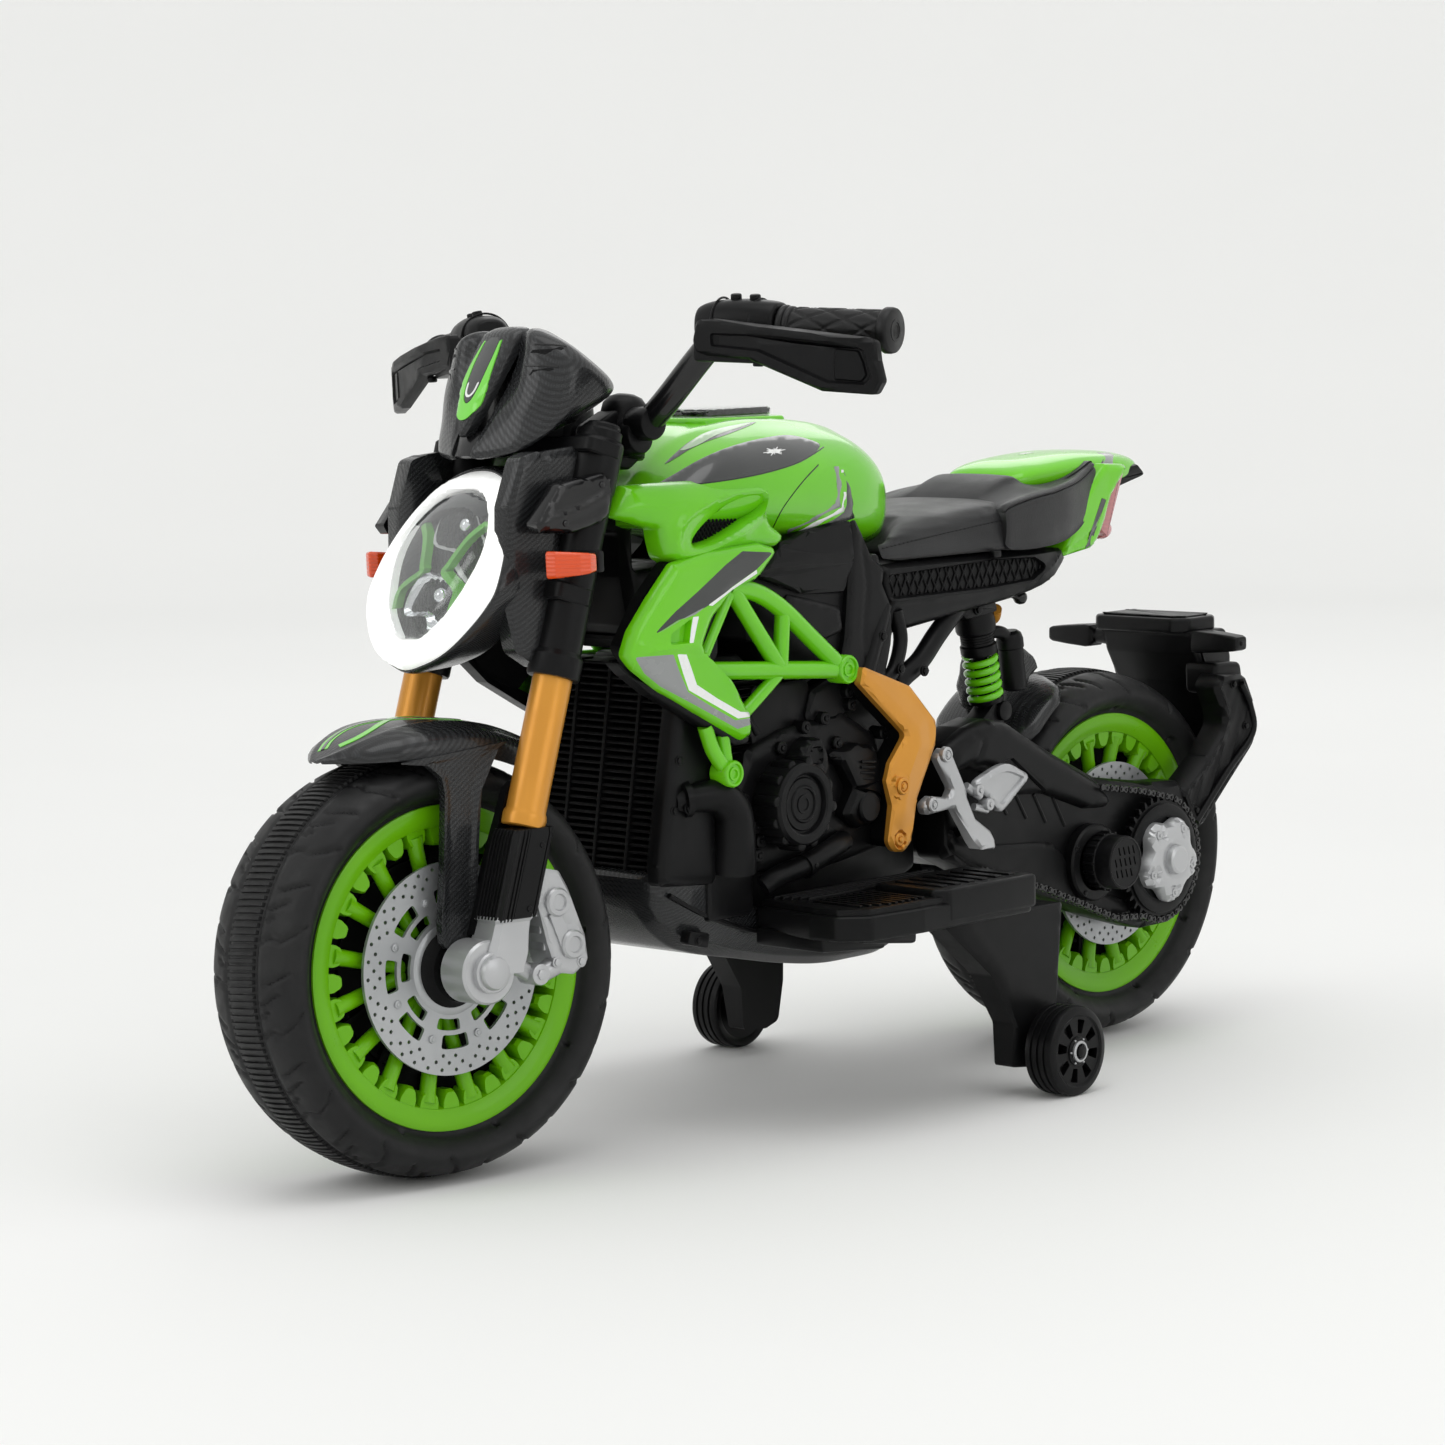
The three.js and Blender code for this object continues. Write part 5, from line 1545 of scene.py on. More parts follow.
def quarter_decal(outline, tree, side=1, **settings):
    def place(u, v):
        p = ACROSS * u + QUARTER * 600
        return (p.x, p.y * side, v)

    return decal(outline, tree, place, (-QUARTER.x, -QUARTER.y * side, 0), **settings)


def trace(points, tree, side, lift):
    """Points drawn in the same plane, moved onto a surface."""
    out = []
    for u, v in points:
        p = ACROSS * u + QUARTER * 600
        start, aim = Vector((p.x, p.y * side, v)), Vector((-QUARTER.x, -QUARTER.y * side, 0))
        hit, normal, _, _ = tree.ray_cast(start, aim)
        if hit is not None:
            out.append(tuple(hit + (normal if normal.dot(aim) < 0 else -normal) * lift))
    return out


TEAR = spline([(-353.5, 510.6), (-338.4, 519.7), (-319.2, 529.7), (-299.9, 536.8), (-278.9, 541.4), (-257.7, 543.6),
    (-243.4, 542.2), (-227.8, 536.8), (-225.4, 533.4), (-231.1, 528.6), (-244.3, 523.0), (-264.2, 518.4),
    (-286.5, 515.2), (-314.0, 512.8), (-334.4, 511.7)], 4, True)
FLASH = spline([(-346.7, 526.6), (-334.3, 537.4), (-324.6, 543.5), (-307.9, 548.7), (-291.1, 552.6), (-275.5, 553.8),
    (-285.6, 550.1), (-299.7, 546.0), (-313.6, 542.1), (-327.4, 536.7), (-338.4, 530.4)], 3, True)
# FLASH_SHEEN is a painted highlight: the lighter sheen along the top of the dark flash.
FLASH_SHEEN = spline([(-335.0, 535.9), (-319.1, 546.5), (-299.5, 551.5), (-278.9, 553.4), (-288.4, 550.8),
                      (-306.6, 546.2), (-321.9, 539.2)], 3, True)
STRIPE_GREY = [(-252.2, 465.4), (-251.6, 469.4), (-230.3, 479.2), (-213.6, 488.7), (-212.2, 503.6), (-214.4, 517.7),
    (-210.4, 517.5), (-208.2, 503.4), (-209.3, 485.5), (-230.2, 475.4)]
STRIPE_WHITE = [(-250.6, 461.6), (-250.3, 464.9), (-230.2, 474.6), (-208.6, 484.6), (-206.6, 494.7), (-208.6, 514.6),
    (-206.6, 514.5), (-204.4, 494.5), (-206.4, 481.4), (-228.7, 471.1)]
REAR_DARK = [(-249.9, 460.9), (-228.7, 470.4), (-206.2, 480.6), (-204.0, 494.5), (-206.3, 513.0), (-201.1, 499.9),
    (-199.0, 488.1), (-197.5, 475.0), (-215.4, 467.0), (-232.7, 462.8)]
SEAM = [(-371, 507.6), (-353.5, 510.3), (-334.4, 511.4), (-314.0, 512.5), (-286.5, 514.9), (-264.2, 518.1),
        (-244.3, 522.7), (-231.1, 528.3), (-222, 533)]
SCORE = [(-265, 468), (-262, 476), (-256, 488), (-247, 500), (-237, 511), (-227, 520)]
tank_marks = [("tear", TEAR, "dark", "black_satin", 0.5), ("flash", FLASH, "dark", "black_satin", 0.4),
              ("flash_sheen", FLASH_SHEEN, "sheen", "green_paint", 0.6),
              ("stripe_grey", STRIPE_GREY, "grey", "silver_paint", 0.4),
              ("stripe_white", STRIPE_WHITE, "white", "silver_paint", 0.5),
              ("rear_dark", REAR_DARK, "dark", "black_satin", 0.4)]
for name, side in SIDES:
    for label, outline, look, slot, lift in tank_marks:
        skin = quarter_decal(outline, tank_tree, side, lift=lift, spacing=3.2)
        make(f"tank_{label}_{name}", skin, M[look], "chassis", (), sharp=60)
    groove = total([sweep(trace(spline(line, 5), tank_tree, side, -0.05), 0.55, 8) for line in (SEAM, SCORE)])
    make(f"tank_seam_{name}", groove, M["gloss"], "chassis", ())
    # Painted highlight: a star of thin white rays on the dark tear, standing in for a glint of light on the gloss.
    tank_glint_rays = []
    for k in range(9):
        a = k / 9 * PI + 0.2
        c, r = (-262.0, 532.6), 9.0 - 2.2 * (k % 3)
        line = [(c[0] - r * math.cos(a), c[1] - r * 0.36 * math.sin(a)), (c[0] + r * math.cos(a), c[1] + r * 0.36 * math.sin(a))]
        tank_glint_rays.append(quarter_decal(ribbon(np.linspace(line[0], line[1], 5), [0.3, 0.9, 1.1, 0.9, 0.3]), tank_tree,
            side, lift=0.75, spacing=2))
    make(f"tank_painted_glint_{name}", total(tank_glint_rays), M["white"], "chassis", ())

# ---------------------------------------------------------------- air intakes on the tank's flanks
INTAKE = rounded([(651, 514, 3), (668, 492, 5), (650, 487, 14), (624, 480, 3), (622, 470, 8), (618, 458, 10),
                  (604, 450, 14), (565, 455, 40), (522, 459, 5), (491, 459, 4), (481, 467, 4), (499, 478, 12),
                  (504, 492, 20), (494, 506, 14), (513, 514, 30), (572, 514.5, 30), (632, 514, 8)], 4, 6)
LIP = spline([(606, 461), (611, 473), (602, 487), (575, 498), (544, 503), (517, 504), (508, 498), (516, 486), (534, 474),
    (557, 466), (583, 460)], 5, True)
LEAF = spline([(588, 467), (584, 475), (566, 487), (546, 494), (525, 497), (511, 496), (517, 489), (530, 482),
               (550, 474), (571, 468)], 5, True)


def intake_front(p):
    d = edge_distance(p, INTAKE)
    y = 92.5 + 9.5 * np.sqrt(np.clip(1 - (1 - np.clip(d / 17, 0, 1)) ** 2, 0, 1))
    y = y - 10.5 * np.clip((p[:, 0] - 604) / 64, 0, 1) ** 1.4
    y = y - 4 * np.clip((p[:, 1] - 498) / 16, 0, 1)
    lip = edge_distance(p, LIP)
    y = y + 2.6 * np.exp(-(lip / 3.4) ** 2)
    within = inside(p, LIP)
    span = np.clip(lip / np.maximum(lip + edge_distance(p, LEAF), 1e-6), 0, 1)
    sunk = np.where(inside(p, LEAF), 1.0, span)
    y = y - within * 6.5 * (sunk**1.5)
    crease = edge_distance(p, np.array([(505, 512), (498, 500), (508, 486), (498, 474), (482, 466)]))
    line = np.minimum(crease, 30)
    return y - 1.6 * np.exp(-(line / 2.4) ** 2)


intake = relief(INTAKE, intake_front, lambda p: np.full(len(p), 78.0), holes=[LEAF], zones=[(LIP, 0)], spacing=3.4)
mesh_lines = []
for k in range(-8, 30):
    for slope in (1, -1):
        x0 = 496 + k * 4.2
        seg = [(x0, 460), (x0 + slope * 30, 505)]
        pts = np.array([np.array(seg[0]) + (np.array(seg[1]) - seg[0]) * t for t in np.linspace(0, 1, 46)])
        ok = inside(pts, inset(LEAF, -2.0))
        if ok.sum() > 3:
            run = pts[ok]
            mesh_lines.append(sweep([(x, 88.6 + 0.3 * slope, z) for x, z in (run[0], run[-1])], 0.75, 6))
grille = total(mesh_lines)
backing = relief(inset(LEAF, -3), 85.5, 79, spacing=5)
for name, side in SIDES:
    pick = (lambda s: s) if side == 1 else (lambda s: s.flip_y())
    make(f"tank_intake_{name}", pick(intake), M["green"], "chassis", (), sharp=50)
    make(f"tank_intake_grille_{name}", pick(grille), M["matt"], "chassis", ())
    make(f"tank_intake_back_{name}", pick(backing), M["matt"], "chassis", ())

# ---------------------------------------------------------------- display on the tank
PLINTH = rounded([(404, -29), (500, -31), (508, -18), (508, 18), (500, 31), (404, 29), (398, 18), (398, -18)], 8, 5)
plinth = slab(PLINTH, 544, 557.5, 3, 3).bent(lambda v: (v[0], v[1], v[2] + 0.01 * (v[0] - 450)))
make("tank_display_plinth", plinth, M["green"], "chassis", (), sharp=50)
SCREEN = rounded([(412, -22), (490, -24), (494, 0), (490, 24), (412, 22), (408, 0)], 6, 5)
make("tank_display_look", slab(SCREEN, 557.3, 564.5, 2.4, 3), M["clear"], "chassis",
    ["tank_display"])
make("tank_display_base", slab(inset(SCREEN, 2), 556.5, 559.0, 0.5), M["frost"], "chassis", ())
keys = []
for k in range(7):
    for row in (-1, 0, 1):
        x, y = 418 + k * 10.6, row * 12.5
        keys.append(slab(rounded([(x - 3.6, y - 4), (x + 3.6, y - 4), (x + 3.6, y + 4), (x - 3.6, y + 4)], 1, 2), 558.5, 561.8, 0.5))
make("tank_display_keys", total(keys), M["gloss"], "chassis", ())

# ---------------------------------------------------------------- side fairings
FAIRING = rounded([(619, 454, 8), (643, 428, 12), (661, 405, 16), (668, 387, 7), (658, 376, 12), (635, 359, 20), (594, 338, 30),
    (543, 312.5, 5), (532, 315, 4), (534, 333, 4), (556, 361, 12), (588, 388, 4), (577, 408, 18), (551, 430, 8), (523, 436, 5),
    (498, 458, 4), (520, 464, 8), (575, 462, 20)], 5, 6)
BAND = rounded([(645, 400), (620, 418), (596, 431), (563, 450), (543, 459), (508, 456), (528, 444), (555, 432.5),
    (582, 420.5), (600, 414.5), (618, 411)], 1.5, 3)
PALE = rounded([(643, 400.5), (618, 410.5), (599, 414), (585, 420), (612, 412)], 0.6, 2)
LINE = rounded([(584, 420.2), (555, 432.2), (528, 443.8), (527, 440.8), (554, 429.6), (579, 419.4)], 0.5, 2)
VENT = rounded([(626, 393), (625, 401), (602, 412), (606.5, 393)], 1.6, 3)
CHEVRON = rounded([(606.5, 393), (603.6, 403), (601, 412.5), (594.5, 412.5), (597.5, 404), (601.6, 393)], 0.6, 2)
LOWER = rounded([(660, 386), (623, 385.5), (617, 372), (608, 356), (583, 343), (555, 329.5), (535.5, 329.5),
                 (535.5, 324.5), (552, 322.5), (595, 343), (635, 362), (650, 373)], 1.5, 3)
ZIGZAG = rounded([(619, 385.5), (609, 384.5), (604, 374), (598, 360.5), (575, 348), (549, 335.5), (536, 334),
                  (535.5, 330.5), (552, 330.6), (583, 345.5), (607, 357), (613, 370)], 0.8, 2)
CREASE = np.array([(652, 393), (642, 390), (606, 391), (588, 386), (571, 374), (553, 352)])


def fairing_front(p):
    d = edge_distance(p, FAIRING)
    y = 101 + 6.0 * np.sqrt(np.clip(1 - (1 - np.clip(d / 9, 0, 1)) ** 2, 0, 1))
    y = y - 7 * np.clip((p[:, 0] - 612) / 56, 0, 1) ** 1.5
    y = y + 2.2 * np.exp(-(line_distance(p, CREASE) / 3.0) ** 2)
    return y - 5.5 * inside(p, VENT) * np.clip(edge_distance(p, VENT) / 1.2, 0, 1)


zones = [(BAND, 1), (PALE, 2), (LINE, 3), (VENT, 0), (inset(VENT, 1.3), 0), (CHEVRON, 3), (LOWER, 2), (ZIGZAG, 3)]
fairing = relief(FAIRING, fairing_front, lambda p: np.where(p[:, 0] > 612, 101 - 7 * np.clip((p[:, 0] - 612) / 56, 0, 1) ** 1.5
    - 3.0, 98.0), zones=zones, spacing=3.6)
EDGING = rounded([(670, 384), (658, 372), (635, 355), (594, 334), (543, 308), (528, 310), (530, 318), (545, 320), (594, 345),
    (640, 366)], 4, 4)
edging = relief(EDGING, crowned(EDGING, 2.5, 4, 96.5), 84, spacing=5).bent(
    lambda v: (v[0], v[1] - 8 * max(0.0, (v[0] - 612) / 56) ** 1.5, v[2]))
duct = relief(rounded([(664, 392), (640, 430), (616, 454), (560, 462), (560, 380), (600, 346), (640, 362)], 8, 4), 94, 84,
    spacing=8)
duct = duct.bent(lambda v: (v[0], v[1] - 7 * max(0.0, (v[0] - 612) / 56) ** 1.5, v[2]))
fairing_looks = [M["green"], M["dark"], M["grey"], M["white"]]
for name, side in SIDES:
    pick = (lambda s: s) if side == 1 else (lambda s: s.flip_y())
    make(f"side_fairing_look_{name}", pick(fairing), fairing_looks, "chassis",
        [f"side_fairing_{name}"], sharp=40)
    make(f"side_fairing_edging_{name}", pick(edging), M["black"], "chassis", (), sharp=40)
    make(f"side_fairing_back_{name}", pick(duct), M["matt"], "chassis", (), sharp=40)

# ---------------------------------------------------------------- trellis frames
TUBES = [([(546, 432), (512, 424), (483, 409), (448, 383), (413, 357)], 7.4), ([(583, 369), (500, 363), (413, 356.5)], 7.2),
    ([(543, 430), (520, 402), (490, 366)], 6.8), ([(483, 408), (487, 362)], 6.4), ([(538, 327), (512, 344), (487, 361)],
    5.4), ([(583, 369), (543, 430)], 5.0), ([(575, 326), (566, 306), (551, 288)], 6.0),
    ([(556, 326), (553, 306), (550, 290)], 5.4)]


def boss(x, z, y0, y1, radius):
    """A round boss with a raised rim and a ring inside it."""
    return lathe([(0.1, y0), (radius, y0), (radius, y1 - 1), (radius - 1, y1), (radius - 2.4, y1), (radius - 3.2, y1 - 1.8),
        (radius * 0.52, y1 - 1.8), (radius * 0.5, y1 - 0.5), (radius * 0.34, y1 - 0.5), (radius * 0.3, y1 - 2), (0.1, y1 - 2)], 36, x,
        z)


trellis = []
for points, radius in TUBES:
    path = np.array([(x, 93.0, z) for x, z in points])
    trellis.append(sweep(spline(path, 8) if len(points) > 2 else path, radius, 24))
for x, z, r in ((413, 357, 11.5), (550, 287, 10.5)):
    trellis.append(boss(x, z, 84, 101.5, r))
trellis = total(trellis)

# ---------------------------------------------------------------- pivot plates
PIVOT = rounded([(403, 359, 4), (342, 338, 5), (310, 307, 5), (311, 288, 5), (335, 246, 6), (343, 212, 9), (352, 205, 9),
    (365, 206, 9), (372, 214, 8), (367, 244, 4), (373, 264, 4), (368, 278, 4), (349, 299, 5), (406, 345, 3)], 4, 5)
RIDGE = np.array([(404, 352), (372, 330), (338, 303), (336, 290), (352, 262), (356, 240)])


def pivot_front(p):
    d = edge_distance(p, PIVOT)
    y = 103.5 + 2.0 * np.clip(d / 1.8, 0, 1)
    fold = line_distance(p, RIDGE)
    y = y + 3.4 * np.clip(1 - fold / 17, 0, 1)
    for x, z, r, sunk in ((359, 259, 10.5, -1.4), (358, 215.5, 7.5, 2.8)):
        q = np.hypot(p[:, 0] - x, p[:, 1] - z)
        y = np.where(q < r, np.where(sunk > 0, 104.6 - sunk, 108.4), y)
    return y


bolt_zones = [(ring_outline(10.5, 28, 359, 259), 0), (ring_outline(11.3, 28, 359, 259), 0),
              (ring_outline(7.5, 24, 358, 215.5), 0), (ring_outline(8.3, 24, 358, 215.5), 0)]
pivot = relief(PIVOT, pivot_front, 99.5, zones=bolt_zones, spacing=3.6)
pivot_back = relief(inset(PIVOT, 3), 99.6, 82, spacing=9)
pivot_bolts = total([boss(359, 259, 104, 111, 7.0), boss(358, 215.5, 100, 105.5, 5.6),
    rod((359, 108, 259), (359, 111.6, 259), 2.6, 6, 0.4), rod((358, 103, 215.5), (358, 106.6, 215.5), 2.4, 6, 0.4)])

# ---------------------------------------------------------------- footpeg brackets
PEG = rounded([(302, 285, 5), (311, 277, 5), (292, 250, 3), (297, 243, 3), (318, 246.5, 6), (329, 241, 6), (326, 231.5, 6),
    (290, 234, 3), (268, 204, 3), (262, 197, 4), (243, 196, 4), (244, 210, 4), (262, 222, 4), (272, 240, 6), (276, 252, 4),
    (290, 276, 6)], 4, 5)
TOE = spline([(263, 251), (246, 259), (224, 264), (206, 258), (194, 250), (209, 238), (229, 225), (238, 231), (250, 240)], 4,
    True)
TOE_DIP = spline([(250, 251), (238, 256), (223, 258), (209, 254), (202, 250), (214, 241), (230, 231), (238, 238)], 4, True)


def peg_front(p):
    d = edge_distance(p, PEG)
    y = 104.5 + 2.6 * np.sqrt(np.clip(1 - (1 - np.clip(d / 3, 0, 1)) ** 2, 0, 1))
    low = np.clip((p[:, 1] - 214) / -16, 0, 1)
    return y + 6 * low


peg = relief(PEG, peg_front, lambda p: 98 + 0 * p[:, 0], spacing=3.2)
toe = relief(TOE, lambda p: 106 + 2.2 * np.clip(edge_distance(p, TOE) / 1.8, 0, 1) - 2.6 * inside(p, TOE_DIP)
    * np.clip(edge_distance(p, TOE_DIP) / 1.2, 0, 1), 101, zones=[(TOE_DIP, 0), (inset(TOE_DIP, 1.2), 0)], spacing=3)
peg = total([peg, toe, boss(302, 279, 105, 110, 6.4), boss(320, 240, 105, 110, 6.2), rod((302, 107, 279), (302, 110.8, 279),
    2.4, 6, 0.4), rod((320, 107, 240), (320, 110.8, 240), 2.4, 6, 0.4)])
for x, z in ((262, 246), (249, 233)):
    peg = peg + rod((x, 100, z), (x, 111, z), 5.0, 24, 1.0) + rod((x, 110, z), (x, 112.4, z), 2.4, 6, 0.4)
peg = peg + sweep([(272, 103, 250), (255, 104, 240)], 3.6, 12) + sweep([(262, 103, 232), (246, 104, 228)], 3.2, 12)

for name, side in SIDES:
    pick = (lambda s: s) if side == 1 else (lambda s: s.flip_y())
    make(f"trellis_frame_look_{name}", pick(trellis), M["green"], "chassis",
        [f"trellis_frame_{name}"], sharp=45)
    make(f"pivot_plate_look_{name}", pick(pivot), M["gold"], "chassis", [f"pivot_plate_{name}"],
        sharp=20)
    make(f"pivot_plate_bolts_{name}", pick(pivot_bolts), M["gold"], "chassis", ())
    make(f"pivot_plate_back_{name}", pick(pivot_back), M["black"], "chassis", ())
    make(f"footpeg_look_{name}", pick(peg), M["silver"], "chassis", [f"footpeg_{name}"],
        sharp=40)

# ---------------------------------------------------------------- frame core and side covers
def facets(points, planes):
    """The lowest of several sloped planes, each (y at the point, x, z, slope in x, slope in z)."""
    best = np.full(len(points), 1e9)
    for y, x, z, sx, sz in planes:
        best = np.minimum(best, y + (points[:, 0] - x) * sx + (points[:, 1] - z) * sz)
    return best


SIDE_COVER = rounded([(500, 436, 4), (474, 455, 4), (470, 461, 4), (436, 468, 6), (398, 474, 6), (384, 474, 6), (382, 440, 4),
    (390, 415, 6), (441, 418, 6)], 4, 4)
side_cover = relief(SIDE_COVER, lambda p: 79 + 2.2 * np.clip(edge_distance(p, SIDE_COVER) / 1.6, 0, 1) + facets(p,
    [(5.5, 430, 448, 0.02, 0.16), (5.5, 430, 448, 0.0, -0.12), (9, 384, 440, 0.5, 0)]) - 3, 66,
    zones=[([(500, 437), (472, 456.4), (430, 449.4), (384, 439)], 0)], spacing=4)
REAR_COVER = rounded([(384, 474), (378, 474), (360, 444), (342, 431), (346, 420), (336, 402), (334, 378), (345, 340),
    (402, 346), (392, 380), (388, 415)], 5, 4)
rear_cover = relief(REAR_COVER,
    lambda p: 78 + 3 * np.sqrt(np.clip(1 - (1 - np.clip(edge_distance(p, REAR_COVER) / 5, 0, 1)) ** 2, 0, 1)) - 1.2
    * np.exp(-(line_distance(p, np.array([(372, 455), (366, 420), (372, 380), (366, 345)])) / 1.6) ** 2), 60,
    spacing=3.6)
LOWER_FACET = rounded([(458, 419), (396, 405), (392, 385), (420, 378), (470, 398)], 4, 4)
lower_facet = relief(LOWER_FACET, lambda p: 76 + 3.2 * np.clip(edge_distance(p, LOWER_FACET) / 3, 0, 1), 60, spacing=4)
core = [prism(rounded([(342, 350), (342, 444), (505, 444), (505, 384), (495, 384), (458, 350)], 6, 4), -74, 74, 3),
    prism(rounded([(500, 382), (580, 382), (597, 402), (605, 440), (605, 474), (626, 479), (611, 502), (590, 503),
    (588, 444), (500, 444)], 5, 4), -34, 34, 4), turned(steer_axis_at(462), steer_axis_at(512),
    [(0, 24), (2, 26), (46, 26), (50, 25), (52.4, 22)], 40)]
for k in range(9):
    z = 390 + k * 8
    core.append(box(580 + k * 1.1, 592 + k * 1.6, -30, 30, z, z + 3, 0.8))
make("main_frame_look", total(core), M["black"], "chassis", ["main_frame"], sharp=30)
for name, side in SIDES:
    pick = (lambda s: s) if side == 1 else (lambda s: s.flip_y())
    make(f"side_cover_{name}", pick(side_cover), M["black"], "chassis", (), sharp=12)
    make(f"frame_cover_{name}", pick(rear_cover + lower_facet), M["black"], "chassis", (),
        sharp=30)
    tubes = [sweep(spline([(340, 74, 402), (352, 77, 380), (366, 78, 352), (376, 78, 338)], 6), 7.5, 20),
        sweep(spline([(322, 72, 396), (318, 74, 372), (330, 76, 348), (350, 78, 338)], 6), 6, 20),
        sweep(spline([(228, 60, 392), (262, 66, 372), (290, 70, 352), (318, 72, 338), (330, 72, 318)], 6), 8.5, 20)]
    for x, z in ((352, 378), (330, 350), (300, 346), (372, 344)):
        tubes.append(bolt(x, 84, z, 3.4, 1, 2.5))
    make(f"rear_frame_tubes_{name}", pick(total(tubes)), M["black"], "chassis", ())

# ---------------------------------------------------------------- engine
def rounded_box(x0, x1, y0, y1, z0, z1, corner=4, bevel=2):
    return prism(rounded([(x0, z0), (x1, z0), (x1, z1), (x0, z1)], corner, 3), y0, y1, bevel)


ENGINE = rounded([(286, 182), (286, 298), (330, 344), (462, 344), (498, 374), (538, 374), (540, 208), (526, 163),
    (332, 163)], 6, 4)
engine = [prism(ENGINE, -60, 60, 3)]
details = []
for k in range(11):
    z = 296 + k * 6.4
    details.append(rounded_box(484 + k * 0.8, 538, -72, 72, z, z + 2.8, 1, 0.8))
details.append(rounded_box(430, 500, 58, 74, 300, 350, 8, 3))
CASE = rounded([(340, 208), (346, 250), (356, 300), (398, 322), (428, 318), (470, 312), (510, 300), (528, 270), (528, 226),
    (500, 202), (430, 196)], 9, 4)
case_front = relief(CASE, lambda p: 76 + 5 * np.sqrt(np.clip(1 - (1 - np.clip(edge_distance(p, CASE) / 7, 0, 1)) ** 2, 0, 1))
    - 1.4 * np.exp(-(line_distance(p, np.array([(360, 240), (420, 215), (500, 232)])) / 1.8) ** 2) - 1.4
    * np.exp(-(line_distance(p, np.array([(440, 316), (436, 290), (450, 230)])) / 1.8) ** 2), 55, spacing=4)
details.append(case_front)
clutch = [(0.1, 104.5), (20.5, 104.5), (21.5, 103.3), (22.8, 103.3), (23.8, 107), (25.4, 108), (30.8, 108), (33, 106),
    (34.2, 101), (34.4, 78), (0.1, 78)]
details.append(lathe(clutch, 72, 474, 256))
for k in range(12):
    a = k / 12 * 2 * PI + 0.15
    x, z = 474 + 33.2 * math.cos(a), 256 + 33.2 * math.sin(a)
    details.append(rod((x, 84, z), (x, 104.5 if k % 3 else 107, z), 4.4, 20, 1.2))
details.append(boss(474, 256, 100, 105.8, 15))
OVAL = spline([(474, 280), (466, 296), (452, 305), (440, 303), (434, 292), (434, 278), (446, 270), (462, 270)], 5, True)
details.append(relief(OVAL, lambda p: 92 + 5 * np.sqrt(np.clip(1 - (1 - np.clip(edge_distance(p, OVAL) / 4, 0, 1)) ** 2, 0,
    1)) - 2.2 * (np.hypot(p[:, 0] - 449, p[:, 1] - 291) < 8), 76, zones=[(ring_outline(8, 24, 449, 291), 0),
    (ring_outline(8.8, 24, 449, 291), 0)], spacing=3.4))
FACED = rounded([(428, 290, 4), (392, 296, 4), (366, 290, 6), (362, 250, 6), (372, 228, 6), (390, 226, 5), (412, 240, 4),
    (399, 260, 4), (412, 280, 4)], 4, 4)
faced = relief(FACED, lambda p: 88 + facets(p, [(7, 400, 262, -0.12, 0), (7, 392, 270, 0.1, -0.16), (7, 390, 250, 0.06, 0.22)])
    - 4 * (1 - np.clip(edge_distance(p, FACED) / 2.4, 0, 1)), 76, zones=[([(399, 260), (366, 264), (362, 250)], 0)],
    spacing=3.6)
details.append(faced)
for k in range(4):
    z = 281 - k * 4.4
    details.append(sweep([(392 + k, 94.2, z), (376 + k, 95.0, z - 1.5)], 1.3, 8))
details.append(lathe([(0.1, 97), (11, 97), (12.5, 95.6), (12.8, 90), (0.1, 90)], 32, 384, 244))
for x, z in ((476, 299), (424, 318), (409, 297), (482, 284), (506, 240), (502, 228), (505, 217), (447, 313), (394, 337),
        (391, 326), (352, 300), (350, 222), (430, 205), (520, 262)):
    details.append(boss(x, z, 72, 85.5, 5.4) + rod((x, 80, z), (x, 86.4, z), 2.2, 6, 0.4))
cover_plate = rounded([(372, 346), (398, 352), (432, 340), (440, 318), (404, 312), (372, 330)], 5, 4)
details.append(relief(cover_plate, crowned(cover_plate, 3, 4, 76), 60, spacing=4))
for k in range(3):
    details.append(sweep(spline([(540 - k * 14, 66, 350), (534 - k * 12, 76, 330), (516 - k * 8, 80, 312)], 6), 2.6, 12))
make("engine_block_look", total(engine), M["black"], "chassis", ["engine_block", "battery"],
    sharp=30)
detail_left = total(details)
for name, side in SIDES:
    pick = (lambda s: s) if side == 1 else (lambda s: s.flip_y())
    make(f"engine_cover_{name}", pick(detail_left), M["black"], "chassis", (), sharp=26)
    elbow = spline([(592, 74, 268), (572, 82, 270), (552, 86, 268), (538, 86, 256), (534, 84, 236), (532, 80, 208)], 8)
    pipes = [sweep(elbow, np.interp(np.linspace(0, 1, len(elbow)), [0, 0.3, 1], [10, 13, 19]), 28),
        turned((586, 77, 269), (576, 81, 270), [(0, 13), (0.5, 14.6), (6, 14.6), (6.6, 13)], 30),
        sweep(spline([(500, 84, 192), (487, 90, 200), (455, 92, 206), (426, 90, 214), (404, 84, 218)], 8), 8.6, 24),
        turned((462, 92, 204), (452, 92, 207), [(0, 8), (0.4, 10.2), (7, 10.2), (7.6, 8)], 28)]
    pipes.append(rounded_box(506, 560, 62, 80, 170, 236, 6, 4))
    pipes.append(bolt(588, 86, 263, 3.2, 1, 3) + bolt(457, 101, 205, 2.4, 1, 2))
    make(f"engine_pipes_{name}", pick(total(pipes)), M["black"], "chassis", (), sharp=40)

